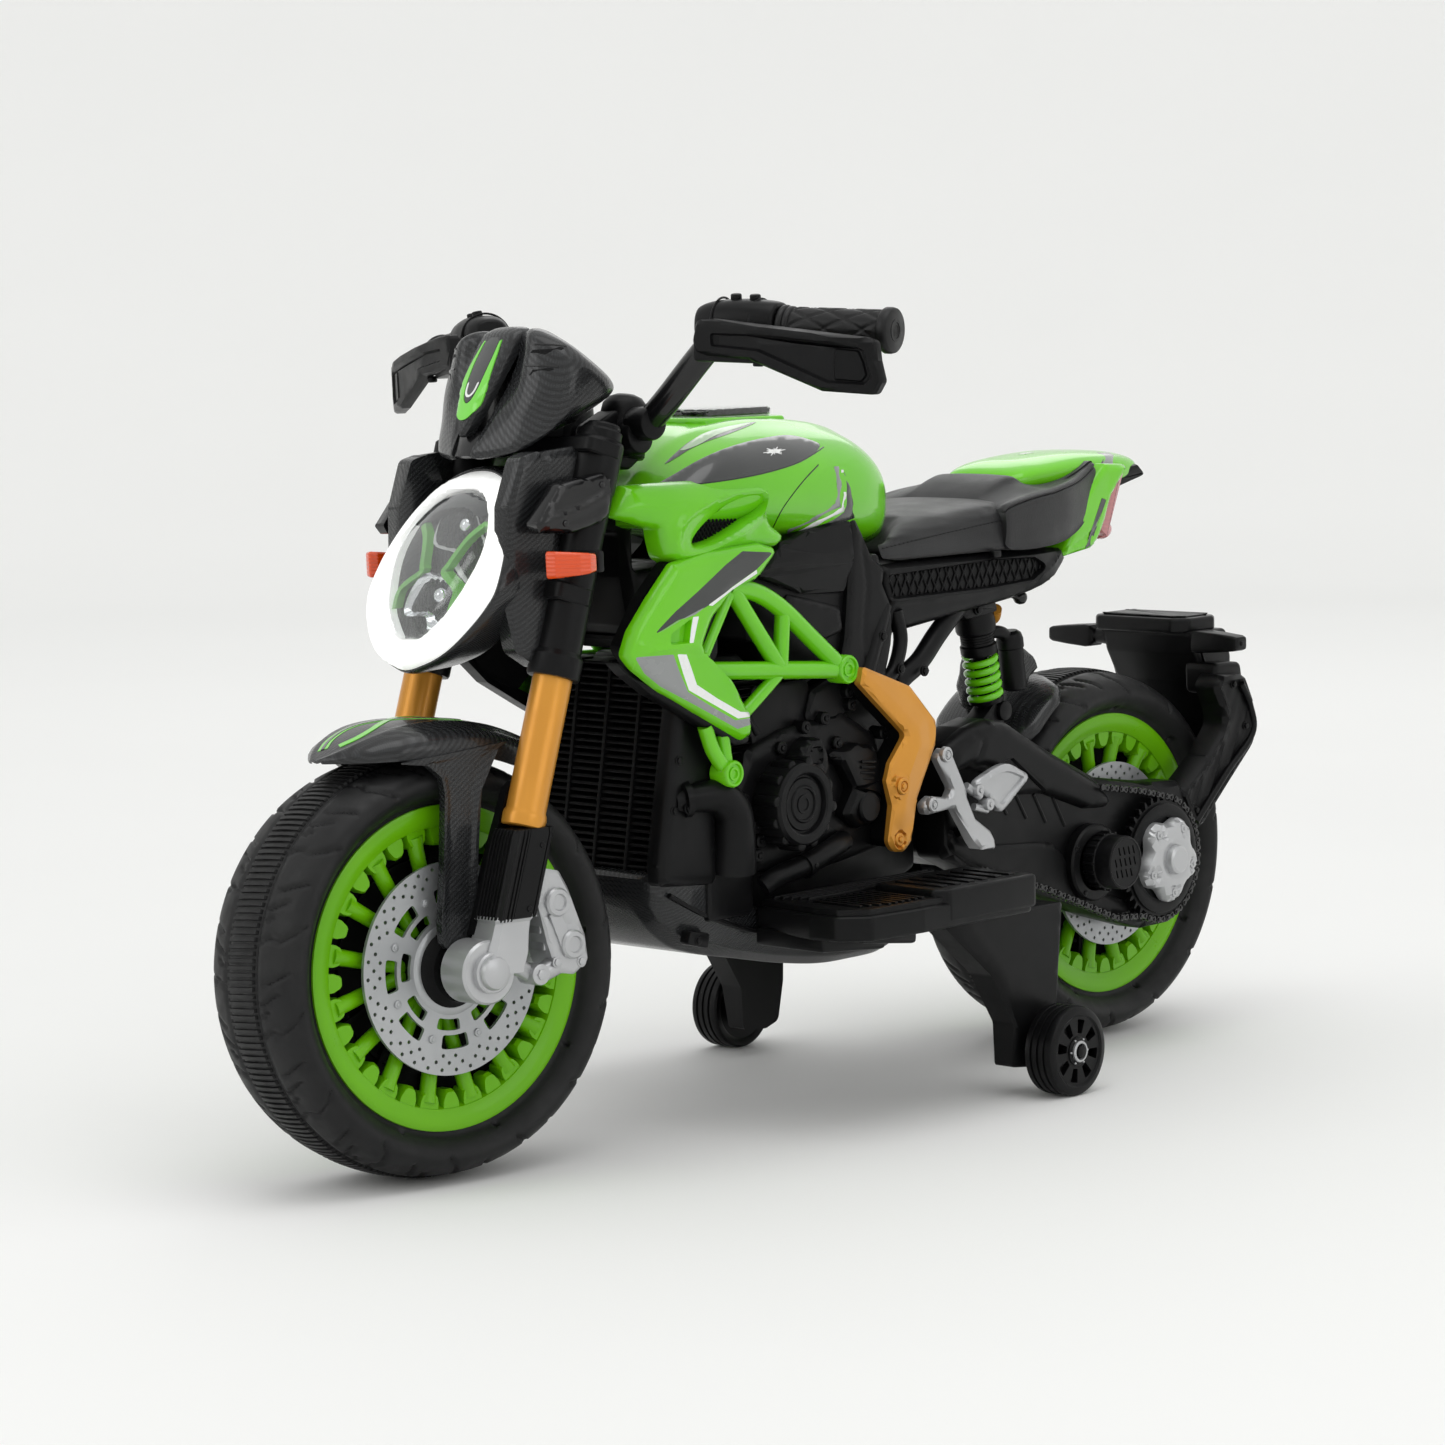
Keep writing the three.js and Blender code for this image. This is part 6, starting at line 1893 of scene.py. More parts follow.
# ---------------------------------------------------------------- radiator
grille_bars = [prism(rounded([(546, 208), (588, 208), (565, 372), (546, 372)], 3, 3), -70, 70, 2)]
for k in range(30):
    z = 211 + k * 5.5
    x = 606 - (z - 206) * 0.155
    grille_bars.append(prism([(x - 22, z - 1.4), (x - 0.5, z - 1.6), (x, z - 0.4), (x - 0.8, z + 0.6), (x - 22, z + 1.2)], -67, 67, 0.4,
        1))
for y in (-34, 0, 34):
    grille_bars.append(prism([(588, 207), (606.5, 207), (581, 373), (566, 373)], y - 1.6, y + 1.6, 0.6))
make("radiator_look", total(grille_bars), M["matt"], "chassis", ["radiator"], sharp=24)
FLANK = rounded([(549, 198, 4), (612, 204, 6), (614, 220, 6), (590, 360, 6), (580, 386, 8), (562, 386, 6), (548, 360, 4)], 5, 4)
flank = relief(FLANK, lambda p: 76 + 6 * np.sqrt(np.clip(1 - (1 - np.clip(edge_distance(p, FLANK) / 8, 0, 1)) ** 2, 0, 1)), 66,
    spacing=4.4)
for x, z in ((600, 300), (606, 262), (594, 334)):
    flank = flank + bolt(x - 8, 81.5, z, 3.2, 1, 1.8)
for name, side in SIDES:
    pick = (lambda s: s) if side == 1 else (lambda s: s.flip_y())
    make(f"radiator_flank_{name}", pick(flank), M["black"], "chassis", (), sharp=34)

# ---------------------------------------------------------------- belly pan
PAN = [(316, 64, 120, 159), (326, 70, 115, 160), (360, 71, 114, 162), (400, 72, 115, 164), (450, 73, 122, 168),
    (500, 74, 132, 176), (540, 76, 140, 203), (560, 77, 145, 210), (580, 76, 152, 213), (598, 72, 166, 214), (607, 66, 182, 212),
    (611, 58, 192, 208)]


def pan_solid():
    rings = []
    for x, half, low, high in spline(PAN, 5):
        rise = high - low
        pts = [(half - 3, high, 2), (half, high - 3, 2), (half, low + 0.52 * rise, 3), (half - 7, low + 0.16 * rise, 6),
            (half - 20, low, 8)]
        outline = rounded([*pts, *[(-y, z, r) for y, z, r in pts[::-1]]], 3, 4)
        rings.append(np.array([(x, y, z) for y, z in outline]))
    return loft(rings)


pan = pan_solid()
make("belly_pan_look", pan, M["carbon"], "chassis", ["belly_pan"], sharp=34)
for name, side in SIDES:
    pick = (lambda s: s) if side == 1 else (lambda s: s.flip_y())
    rail = sweep([(x, 76.2, z) for x, z in spline([(330, 140), (420, 146), (500, 156), (560, 176), (600, 196)], 6)], 2.0, 12)
    tab_low = prism(rounded([(560, 150), (584, 156), (580, 166), (558, 162)], 3, 3), 70, 80, 1.5)
    make(f"belly_pan_trim_{name}", pick(rail + tab_low + bolt(572, 80, 158, 3, 1, 2)), M["black"], "chassis",
        ())

# ---------------------------------------------------------------- footboards, stabilisers and pedal
BOARD = rounded([(290, 74), (290, 188), (430, 190), (488, 186), (508, 166), (510, 140), (500, 74)], 8, 5)
RAISED = rounded([(287, 112), (287, 189.5), (398, 190), (408, 180), (408, 118)], 6, 4)
leg_shape = rounded([(226, 154.6, 2), (376, 154.6, 4), (312, 104, 12), (283, 60, 10), (281, 24, 4), (252, 21, 8), (236, 26, 8),
    (229, 60, 20)], 4, 5)


def leg_front(p):
    y = 160 + 7 * np.clip((p[:, 1] - 20) / 134, 0, 1)
    edge = np.array([(352, 154), (300, 104), (266, 24)])
    return y - 7 * np.clip(line_distance(p, edge) / 26, 0, 1) * (p[:, 0] > np.interp(p[:, 1], [24, 104, 154],
        [266, 300, 352])) + 1.5 * np.clip(edge_distance(p, leg_shape) / 2, 0, 1) - 1.5


leg_panel = relief(leg_shape, leg_front, 138, spacing=4.5)
board = slab(BOARD, 156, 176, 3, 3) + slab(inset(BOARD, 4), 172, 181, 1.5) + slab(RAISED, 160, 187, 3.4, 4)
for k in range(5):
    y = 84 + k * 6.5
    board = board + prism([(300, 180), (492 - k * 3, 180), (490 - k * 3, 183.4), (302, 183.4)], y, y + 3.4, 0.8)
for k in range(9):
    x = 418 + k * 8
    board = board + box(x, x + 3.6, 122, 180 - max(0, k - 5) * 3, 180, 182.8, 0.8)
for k in range(6):
    x = 302 + k * 17
    board = board + box(x, x + 8, 130, 178, 186, 188.4, 0.9)
board = board + prism(rounded([(404, 142), (470, 150), (470, 158), (404, 158)], 4, 3), 96, 160, 2)
lower_box = prism(rounded([(430, 140), (506, 146), (506, 160), (430, 160)], 4, 3), 80, 150, 2.5)
for name, side in SIDES:
    pick = (lambda s: s) if side == 1 else (lambda s: s.flip_y())
    make(f"footboard_look_{name}", pick(board + lower_box), M["black"], "chassis",
        [f"footboard_{name}"], sharp=30)
    bracket = leg_panel + rod((246, 150, 37), (246, 201.5, 37), 5, 24, 0.8)
    bracket = bracket + prism(rounded([(232, 24), (262, 24), (268, 52), (232, 52)], 6, 4), 150, 167, 2)
    make(f"stabiliser_bracket_look_{name}", pick(bracket), M["black"], "chassis",
         [f"stabiliser_bracket_{name}"], sharp=24)

STABILISER_TREAD = [(30, 169.5), (34.5, 169.2), (36.2, 170.6), (36.9, 173), (36.9, 175.6), (35.4, 176.2), (35.4, 177.6),
    (36.9, 178.2), (36.9, 182.2), (35.4, 182.8), (35.4, 184.2), (36.9, 184.8), (36.9, 188.8), (35.4, 189.4),
    (35.4, 190.8), (36.9, 191.4), (36.9, 194), (36.0, 196.4), (34, 197.6), (30, 198), (28.5, 196.6), (28.5, 170.5),
    (30, 169.5)]
slots = [arc_window(14.5, 26, k * PI / 4 + 0.2, math.radians(10.5), 1.6) for k in range(8)]
face = relief(ring_outline(29.5, 96), 196.4, 191, holes=[*slots, ring_outline(5.4, 24)], spacing=3.6)
face_in = relief(ring_outline(29.5, 96), 174, 170.4, holes=[ring_outline(5.4, 24)], spacing=5)
wheel = lathe(STABILISER_TREAD, 96) + face + face_in + lathe([(5.4, 171), (12, 171), (12, 197.2), (10.6, 198), (5.4, 198),
    (5.4, 171)], 40)
wheel = wheel + lathe([(13, 178), (28.6, 178), (28.6, 181), (13, 181), (13, 178)], 40)
hub_ring = lathe([(6.4, 197.5), (8.6, 197.5), (8.8, 199.8), (8.2, 200.4), (6.8, 200.4), (6.4, 197.5)], 40)
dots = total([rod((10.6 * math.cos(a), 197, 10.6 * math.sin(a)), (10.6 * math.cos(a), 198.8, 10.6 * math.sin(a)), 0.9, 10,
    0.2) for a in np.arange(6) / 6 * 2 * PI])
for name, side in SIDES:
    pick = (lambda s: s) if side == 1 else (lambda s: s.flip_y())
    place = move(246, 0, 37)
    make(f"stabiliser_wheel_look_{name}", pick(wheel.at(place)), M["black"], f"stabiliser_{name}",
        [f"stabiliser_wheel_{name}"], sharp=30)
    make(f"stabiliser_hub_{name}", pick((hub_ring + dots).at(place)), M["silver"], f"stabiliser_{name}",
        ())

pedal_plate = [slab(rounded([(382, -175), (458, -175), (463, -168), (463, -136), (458, -129), (382, -129)], 5, 4), 0, 5,
    1.5)]
for k in range(7):
    pedal_plate.append(box(392 + k * 9.5, 396 + k * 9.5, -170, -134, 4.4, 6.4, 0.7))
pedal_solid = total(pedal_plate).bent(lambda v: (v[0], v[1], v[2] + 188.8 + (v[0] - 380) * 0.158))
make("accelerator_pedal_look", pedal_solid, M["black"], "pedal", ["accelerator_pedal"], sharp=30)

# ---------------------------------------------------------------- seat
def flat_panel(solid):
    """A panel drawn in [x, y] with its height along Z."""
    return Solid(solid.verts[:, [0, 2, 1]], [f[::-1] for f in solid.faces], solid.mats)


SEAT_HALF = [(292, 0), (296, 34), (306, 50), (322, 62), (340, 72), (360, 76), (356, 79), (300, 80), (220, 80), (150, 79),
    (110, 74), (100, 66), (98, 40), (98, 0)]
SEAT_PLAN = rounded(SEAT_HALF + [(x, -y) for x, y in SEAT_HALF[::-1] if y], 5, 3)


def seat_ridge(x):
    return np.interp(x, [98, 151, 177, 230, 285, 360], [478, 476.5, 475, 472, 467.5, 457])


def seat_edge(x):
    return np.interp(x, [98, 150, 200, 250, 300, 360], [476, 473, 469, 464.5, 460, 454])


def seat_top(p):
    x, y = p[:, 0], np.abs(p[:, 1])
    across = np.clip(1 - (y / 80) ** 2.4, 0, 1)
    d = np.clip(edge_distance(p, SEAT_PLAN) / 13, 0, 1)
    lift = np.sqrt(np.clip(1 - (1 - d) ** 2, 0, 1))
    edge = seat_edge(x)
    return edge - 9 + 9 * lift + (seat_ridge(x) - edge) * across * lift - 1.5


def seat_cushion_mesh():
    solid = flat_panel(relief(inset(SEAT_PLAN, 2.5), seat_top, lambda p: 436.5 + 0 * p[:, 0], spacing=6))
    pad = bpy.data.objects.new("seat_pad_start", build_mesh("seat_pad_start", solid, [M["leather"]], 60))
    bpy.context.scene.collection.objects.link(pad)
    remesh = pad.modifiers.new("Remesh", "REMESH")
    remesh.mode, remesh.voxel_size, remesh.use_smooth_shade = "VOXEL", 0.005, True
    bake_modifiers(pad)
    start = np.array([tuple(v.co) for v in pad.data.vertices])
    cloth = pad.modifiers.new("Cloth", "CLOTH")
    cloth.settings.quality = 5
    cloth.settings.use_pressure = True
    cloth.settings.uniform_pressure_force = 4
    cloth.settings.effector_weights.gravity = 0
    scene = bpy.context.scene
    for number in range(1, 21):
        scene.frame_set(number)
    bake_modifiers(pad)
    scene.frame_set(1)
    swollen = np.array([tuple(v.co) for v in pad.data.vertices])
    shift = swollen - start
    length = np.linalg.norm(shift, axis=1)[:, None]
    shift = shift * np.minimum(1, 0.0045 / np.maximum(length, 1e-9))
    held = np.clip((start[:, 2] - 0.438) / 0.012, 0, 1)[:, None]
    final = start + shift * held
    final[:, 2] = np.maximum(final[:, 2], 0.4336)
    # The sewn seam runs along the shoulder of the pad, on both sides.
    xs, zs = final[:, 0] * 1000, final[:, 2] * 1000
    side_y = np.abs(final[:, 1]) * 1000
    on_side = np.clip((side_y - 60) / 12, 0, 1)
    groove = np.exp(-((zs - (seat_edge(xs) - 6)) / 2.4) ** 2) * on_side
    final[:, 1] -= np.sign(final[:, 1]) * groove * 0.0016
    pad.data.vertices.foreach_set("co", final.ravel())
    smooth = pad.modifiers.new("Smooth", "SUBSURF")
    smooth.levels = 1
    bake_modifiers(pad)
    return pad


seat_pad = seat_cushion_mesh()
seat_pad.name = "seat_cushion_look"
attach(seat_pad, "chassis")
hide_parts("seat_cushion")
seat_points = Solid(np.array([tuple(v.co) for v in seat_pad.data.vertices]) / MM,
                    [tuple(p.vertices) for p in seat_pad.data.polygons])
seat_tree = tree_of(seat_points)

REAR_PAD = [(185, 78.4, 440, 470.5, 469), (180, 79.4, 437, 474, 472.5), (165, 79.6, 436, 484, 476),
    (146, 79.4, 436, 492.5, 479), (128, 78.6, 437, 496, 481), (116, 77.4, 438, 490, 482), (96, 74, 441, 487, 485),
    (70, 67, 448, 492, 489), (48, 60, 459, 500, 495), (34, 55.5, 472, 505, 500), (29, 51, 484, 502, 498)]


def rear_pad_solid():
    rings = []
    for x, half, low, high, seam in spline(REAR_PAD, 6):
        inner = np.interp(x, [29, 60, 110, 182], [44, 47, 42, 40])
        shelf = seam + 2.0 + 0.2 * (high - seam)
        pts = [(12, high), (inner * 0.6, high - 0.4), (inner * 0.92, high - 1.4), (inner + 5, shelf + 0.35 * (high - shelf)),
            (half - 14, shelf - 1.2), (half - 6, seam + 2.6), (half - 1.6, seam + 0.6), (half - 2.6, seam - 1.2),
            (half - 0.6, seam - 3.4), (half + 0.2, (seam + low) / 2), (half - 1.6, low + 3), (half - 6, low), (12, low)]
        ring = pts + [(-y, z) for y, z in pts[::-1]]
        rings.append(np.array([(x, y, z) for y, z in spline(ring, 4, True)]))
    return loft(rings)


rear_pad = make("seat_rear_pad", rear_pad_solid(), M["leather"], "chassis", (), sharp=60)

stitches = []
for side in (1, -1):
    for x in np.arange(112, 352, 5.2):
        hits = []
        for dx in (-1.5, 1.5):
            z = float(seat_edge(x + dx)) - 8.6
            hit, normal, _, _ = seat_tree.ray_cast(Vector((x + dx, side * 140, z)), Vector((0, -side, 0)))
            if hit is not None and abs(hit.y) > 60:
                hits.append(tuple(hit + Vector((0, side * 0.2, 0))))
        if len(hits) == 2:
            stitches.append(sweep([hits[0], tuple((np.array(hits[0]) + hits[1]) / 2 + (0, side * 0.25, 0)), hits[1]],
                0.5, 6))
if stitches:
    make("seat_stitching", total(stitches), M["grip"], "chassis", ())

# ---------------------------------------------------------------- under-seat panels
BASE = rounded([(341, 428, 4), (334, 402, 4), (332, 375, 8), (246, 386, 30), (166, 396, 30), (110, 407, 20), (80, 424, 10),
    (92, 433, 3), (140, 434.6, 3), (338, 434.6, 3)], 5, 5)
NET = rounded([(336, 426, 3), (330, 406, 4), (206, 407, 20), (148, 410, 14), (122, 420, 8), (145, 429, 8), (199, 430.5, 6)], 4, 4)
SWOOSH = np.array([(332, 404.5), (206, 405.5), (146, 408.5), (112, 421), (94, 432)])


def base_front(p):
    d = edge_distance(p, BASE)
    y = 71 + 6 * np.sqrt(np.clip(1 - (1 - np.clip(d / 7, 0, 1)) ** 2, 0, 1))
    y = y - 9 * np.clip((404 - p[:, 1]) / 28, 0, 1) ** 1.2 - 20 * np.clip((150 - p[:, 0]) / 80, 0, 1) ** 1.5
    y = y + 2.0 * np.exp(-(line_distance(p, SWOOSH) / 1.8) ** 2)
    return y - 5 * inside(p, NET) * np.clip(edge_distance(p, NET) / 1.2, 0, 1)


base = relief(BASE, base_front, 34, zones=[(NET, 0), (inset(NET, 1.3), 0)], spacing=3.8)
net = []
for k in range(-6, 30):
    for lean in (1, -1):
        line = np.array([(130 + k * 10.5 + lean * t * 17, 403 + t * 30) for t in np.linspace(0, 1, 31)])
        run = line[inside(line, inset(NET, 1.0))]
        if len(run) > 3:
            ys = 72.6 - 20 * np.clip((150 - run[[0, -1], 0]) / 80, 0, 1) ** 1.5
            net.append(sweep([(run[0][0], ys[0], run[0][1]), (run[-1][0], ys[1], run[-1][1])], 0.95, 6))
net = total(net)
middle = prism(rounded([(334, 432), (330, 404), (282, 388), (150, 398), (104, 412), (98, 432)], 6, 4), -60, 60, 2)
make("seat_base_look", middle, M["black"], "chassis", ["seat_base"])
tab_top = rounded_box(196, 206, 76, 82, 432, 438, 2, 1.2)
ball = turned((150, 56, 396), (140, 58, 393.5), [(0, 2.4), (3, 2.6), (4, 4.2), (6, 5.6), (9, 6.0), (12, 5.2), (14, 3),
    (14.6, 0.5)], 24)
rest = sweep(spline([(158, 40, 376), (163, 47, 379), (170, 54, 386)], 6), 5.2, 20)
for name, side in SIDES:
    pick = (lambda s: s) if side == 1 else (lambda s: s.flip_y())
    make(f"seat_side_{name}", pick(base + tab_top), M["black"], "chassis", (), sharp=32)
    make(f"seat_net_{name}", pick(net), M["black"], "chassis", ())
    make(f"seat_knob_{name}", pick(ball), M["gloss"], "chassis", (), sharp=60)
    make(f"seat_stay_{name}", pick(rest), M["gold"], "chassis", (), sharp=60)

# ---------------------------------------------------------------- tail
HUMP = [(127, 24, 481, 489), (124.5, 33, 479, 495), (118, 40, 478, 500), (106, 44, 478, 504), (90, 46, 478, 507),
    (60, 47, 478, 510), (30, 47, 478, 511.5), (0, 45, 478, 511), (-24, 41, 478, 509.5), (-46, 35, 479, 506.5),
    (-58, 29, 481, 503.5), (-63, 22, 485, 500)]


def hump_solid():
    rings = []
    for x, half, low, high in spline(HUMP, 7):
        ring = []
        for k in range(80):
            a = (k + 0.5) / 80 * 2 * PI
            c, s = math.cos(a), math.sin(a)
            power = 2 / 2.7
            y = half * math.copysign(abs(c) ** power, c)
            z = (low + high) / 2 + (high - low) / 2 * math.copysign(abs(s) ** power, s)
            ring.append((x, y, z))
        rings.append(np.array(ring))
    return loft(rings)


hump = hump_solid()
hump_tree = tree_of(hump)
make("tail_hump", hump, M["green"], "chassis", ["tail_cowl"], sharp=60)
TAIL_PANEL = rounded([(93, 424.5, 3), (42, 430, 8), (22, 452, 20), (10, 477, 6), (-12, 499, 4), (22, 501, 5), (44, 486, 10),
    (66, 464, 20)], 4, 5)
tail_panel = relief(TAIL_PANEL,
    lambda p: 54 + 4.5 * np.sqrt(np.clip(1 - (1 - np.clip(edge_distance(p, TAIL_PANEL) / 5, 0, 1)) ** 2, 0, 1)) + 7
    * np.clip((p[:, 0] - 20) / 70, 0, 1) - 1.6 * np.exp(-(line_distance(p, np.array([(80, 432), (30, 448), (14, 474)]))
    / 1.6) ** 2), 36, spacing=3.6)
BAR = rounded([(58, 430), (50, 432), (24, 470), (31, 472)], 1.2, 3)
tail_block = prism(rounded([(16, 440), (96, 428), (92, 478), (24, 482), (14, 470)], 5, 4), -36, 36, 2)
LAMP_SIDE = rounded([(10, 437), (-14, 473), (-18, 480), (12, 481), (14, 437)], 3, 4)
tail_rear = rounded([(-62, 487), (-22, 478), (12, 478), (14, 490), (-50, 497)], 4, 4)
red_lens = prism(LAMP_SIDE, -33, 33, 3.4, 4)
ridges = total([prism([(9 - k * 5.2, 440 + k * 8), (5 - k * 5.2, 446 + k * 8), (7 - k * 5.2, 447 + k * 8),
                       (11 - k * 5.2, 441 + k * 8)], -29, 29, 0.5) for k in range(5)])
make("tail_block", tail_block + prism(tail_rear, -38, 38, 3), M["black"], "chassis", ())
make("tail_light_look", red_lens, M["red"], "chassis", ["tail_light"], sharp=40)
make("tail_light_ridges", ridges.bent(lambda v: (v[0] - 4.5, v[1], v[2] - 2)), M["pink"], "chassis", ())
for name, side in SIDES:
    pick = (lambda s: s) if side == 1 else (lambda s: s.flip_y())
    make(f"tail_panel_{name}", pick(tail_panel), M["green"], "chassis", (), sharp=45)
    tail_tree = tree_of(pick(tail_panel))
    make(f"tail_bar_{name}", side_decal(BAR, tail_tree, side, lift=0.35, spacing=3), M["dark"], "chassis",
        ())
    edge_lens = prism(rounded([(10, 437), (24, 447), (14, 474), (-9, 497), (-13, 491), (-5, 472)], 2, 4), 33, 50, 2)
    edge_lens = edge_lens + turned((6, 36, 444), (-9, 36, 441), [(0, 9.4), (6, 9), (10, 7.4), (13, 4.2), (14.4, 0.4)], 28)
    make(f"tail_light_side_{name}", pick(edge_lens), M["pink"], "chassis", (), sharp=40)
    make(f"tail_triangle_{name}", side_decal(rounded([(22, 497), (-4, 508), (-24, 508), (-4, 497)], 1.2, 3),
        hump_tree, side, lift=0.4, spacing=3), M["grey"], "chassis", (), sharp=60)
    make(f"tail_crease_{name}",
        side_decal(rounded([(40, 493), (22, 497.5), (-2, 508.6), (-8, 508.6), (12, 498), (30, 491)], 1, 3), hump_tree,
        side, lift=0.5, spacing=3), M["dark"], "chassis", (), sharp=60)
# Painted highlight: a star of thin white rays on the hump's top, standing in for a glint of light on the gloss.
tail_glint_rays = []
for k in range(7):
    a = k / 7 * PI + 0.2
    line = np.linspace((60 - 9 * math.cos(a), -5 * math.sin(a)), (60 + 9 * math.cos(a), 5 * math.sin(a)), 5)
    tail_glint_rays.append(decal(ribbon(line, [0.3, 0.9, 1.1, 0.9, 0.3]), hump_tree, lambda u, v: (u, v, 700), (0, 0, -1), lift=0.5,
        spacing=2))
make("tail_painted_glint", total(tail_glint_rays), M["white"], "chassis", (), sharp=60)

# ---------------------------------------------------------------- swingarm
ARM = rounded([(280, 284, 8), (250, 295, 16), (224, 300, 16), (198, 295, 20), (130, 262, 30), (72, 236, 20), (-10, 224, 10),
    (-46, 222, 8), (-60, 200, 14), (-62, 150, 30), (-54, 112, 20), (-34, 99, 14), (8, 98, 12), (65, 114, 12), (148, 142, 14),
    (232, 168, 10), (280, 190, 8)], 8, 5)
UPPER = rounded([(280, 283, 6), (251, 295, 16), (225, 300, 16), (200, 295, 20), (174, 281, 14), (144, 265, 12), (79, 234, 8),
    (62, 218, 6), (66, 210, 5), (96, 212, 10), (150, 230, 12), (190, 232, 10), (226, 256, 10), (254, 262, 8), (280, 256, 6)], 6, 5)
TRIANGLE = rounded([(216, 264), (200, 266), (146, 229), (189, 231)], 3, 4)
HATCH = np.array([(274, 294), (248, 290), (237, 283), (247, 266), (272, 259)])
LOWER_ARM = rounded([(276, 196, 6), (253, 182, 8), (231, 172, 8), (138, 139, 12), (64, 116, 10), (24, 110, 8), (40, 128, 10),
    (92, 146, 20), (118, 172, 14), (140, 190, 10), (227, 196, 10), (252, 206, 8), (276, 216, 6)], 6, 5)


def bulge(outline, low, high, radius):
    return lambda p: low + (high - low) * np.sqrt(np.clip(1 - (1 - np.clip(edge_distance(p, outline) / radius, 0, 1)) ** 2, 0,
        1))


def upper_front(p):
    y = bulge(UPPER, 86, 95.5, 12)(p)
    y = y - 1.2 * np.exp(-(line_distance(p, HATCH) / 1.3) ** 2)
    return y - 3.0 * inside(p, TRIANGLE) * np.clip(edge_distance(p, TRIANGLE) / 1.2, 0, 1)


arm = relief(ARM, bulge(ARM, 80, 86, 5), 57, spacing=5)
upper = relief(UPPER, upper_front, 80, zones=[(TRIANGLE, 0), (inset(TRIANGLE, 1.3), 0)], spacing=3.8)
lower = relief(LOWER_ARM, bulge(LOWER_ARM, 84, 90, 6), 78, spacing=4)
arm_ribs = [sweep([(120 + k * 26, 85.5, 200 + k * 6), (136 + k * 26, 85.5, 226 + k * 5)], 2.0, 10) for k in range(4)]
arm_ribs += [bolt(x, 88, z, 3.6, 1, 3.2) for x, z in ((262, 238), (264, 210), (-30, 196), (-36, 130))]
bridge = prism(rounded([(279, 284), (206, 284), (182, 262), (182, 192), (214, 171), (279, 193)], 8, 4), 0.2, 58, 2)
near_arm = total([arm, upper, lower, *arm_ribs, bridge])


def gear_outline(teeth, root, tip, x, z):
    pts = []
    for k in range(teeth):
        for da, r in ((0.0, root), (0.28, root), (0.42, tip), (0.58, tip), (0.72, root)):
            a = (k + da) / teeth * 2 * PI
            pts.append((x + r * math.cos(a), z + r * math.sin(a)))
    return np.array(pts)


sprocket_holes = [arc_window(39, 45.5, k * PI / 4 + 0.2, math.radians(11), 2) + np.array([0, 160]) for k in range(8)]
sprocket = relief(gear_outline(36, 50, 55.5, 0, 160), 98.4, 93.4, holes=sprocket_holes, spacing=6)
sprocket = sprocket + lathe([(36, 92), (47.5, 92), (47.5, 100.4), (46.5, 101), (37, 101), (36, 100.4), (36, 92)], 72, 0, 160)
arc_points = [(53.4 * math.cos(a), 160 + 53.4 * math.sin(a)) for a in np.linspace(math.radians(-62), math.radians(-262),
    30)]
chain_line = np.array([(238, 176), (157, 151), (64, 115.5), *arc_points, (27, 221), (84, 230)], float)


def along_line(points, pitch):
    seg = np.linalg.norm(np.diff(points, axis=0), axis=1)
    at = np.concatenate([[0], np.cumsum(seg)])
    s = np.arange(0, at[-1], pitch)
    return np.stack([np.interp(s, at, points[:, 0]), np.interp(s, at, points[:, 1])], 1)


joints = along_line(chain_line, 6.6)
links = []
for k in range(len(joints) - 1):
    a, b = joints[k], joints[k + 1]
    d = (b - a) / np.linalg.norm(b - a)
    n = np.array([-d[1], d[0]])
    shape = [a - d * 2.6, a - d * 1.6 + n * 2.7, a + n * 2.9, (a + b) / 2 + n * 1.8, b + n * 2.9, b + d * 1.6 + n * 2.7, b + d * 2.6]
    shape += [b + d * 1.6 - n * 2.7, b - n * 2.9, (a + b) / 2 - n * 1.8, a - n * 2.9, a - d * 1.6 - n * 2.7]
    y0 = 97.6 if k % 2 else 96.2
    links.append(prism(shape, y0, y0 + 1.5, 0.35, 1))
    links.append(rod((a[0], 92.5, a[1]), (a[0], 99.9, a[1]), 1.35, 10, 0.3))
    links.append(prism(shape, 91.0, 92.4, 0.3, 1))
chain = total(links)
make("drive_chain", chain, M["gloss"], "chassis", (), sharp=30)
make("swingarm_look_left", near_arm + sprocket, M["black"], "chassis", ["swingarm_left"], sharp=32)
make("swingarm_look_right", near_arm.flip_y(), M["black"], "chassis", ["swingarm_right"],
    sharp=32)
axle_end = [(0.1, -100.5), (6, -100.3), (12.4, -99), (13, -97.6), (13, -94), (8, -93), (8, 93), (0.1, 93)]
make("rear_axle_look", lathe(axle_end, 40, 0, 160) + rod((0, -99, 160), (0, -104, 160), 7, 6, 1), M["silver"], "chassis",
    ["rear_axle"])

# ---------------------------------------------------------------- sprocket cover and gear motor
angles = np.arange(120) / 120 * 2 * PI
lobes = 34.6 + 3.6 * np.cos(5 * (angles - math.radians(50))) - 0.5 * np.cos(10 * (angles - math.radians(50)))
COVER = np.stack([lobes * np.cos(angles), 160 + lobes * np.sin(angles)], 1)


def cover_front(p):
    y = bulge(COVER, 105.5, 112, 7)(p)
    r = np.hypot(p[:, 0], p[:, 1] - 160)
    y = y + 1.6 * np.exp(-((r - 19) / 5) ** 2)
    for k in range(5):
        a = math.radians(50 + 72 * k)
        q = np.hypot(p[:, 0] - 29.5 * math.cos(a), p[:, 1] - 160 - 29.5 * math.sin(a))
        y = y - 2.0 * (q < 6.2)
    return y


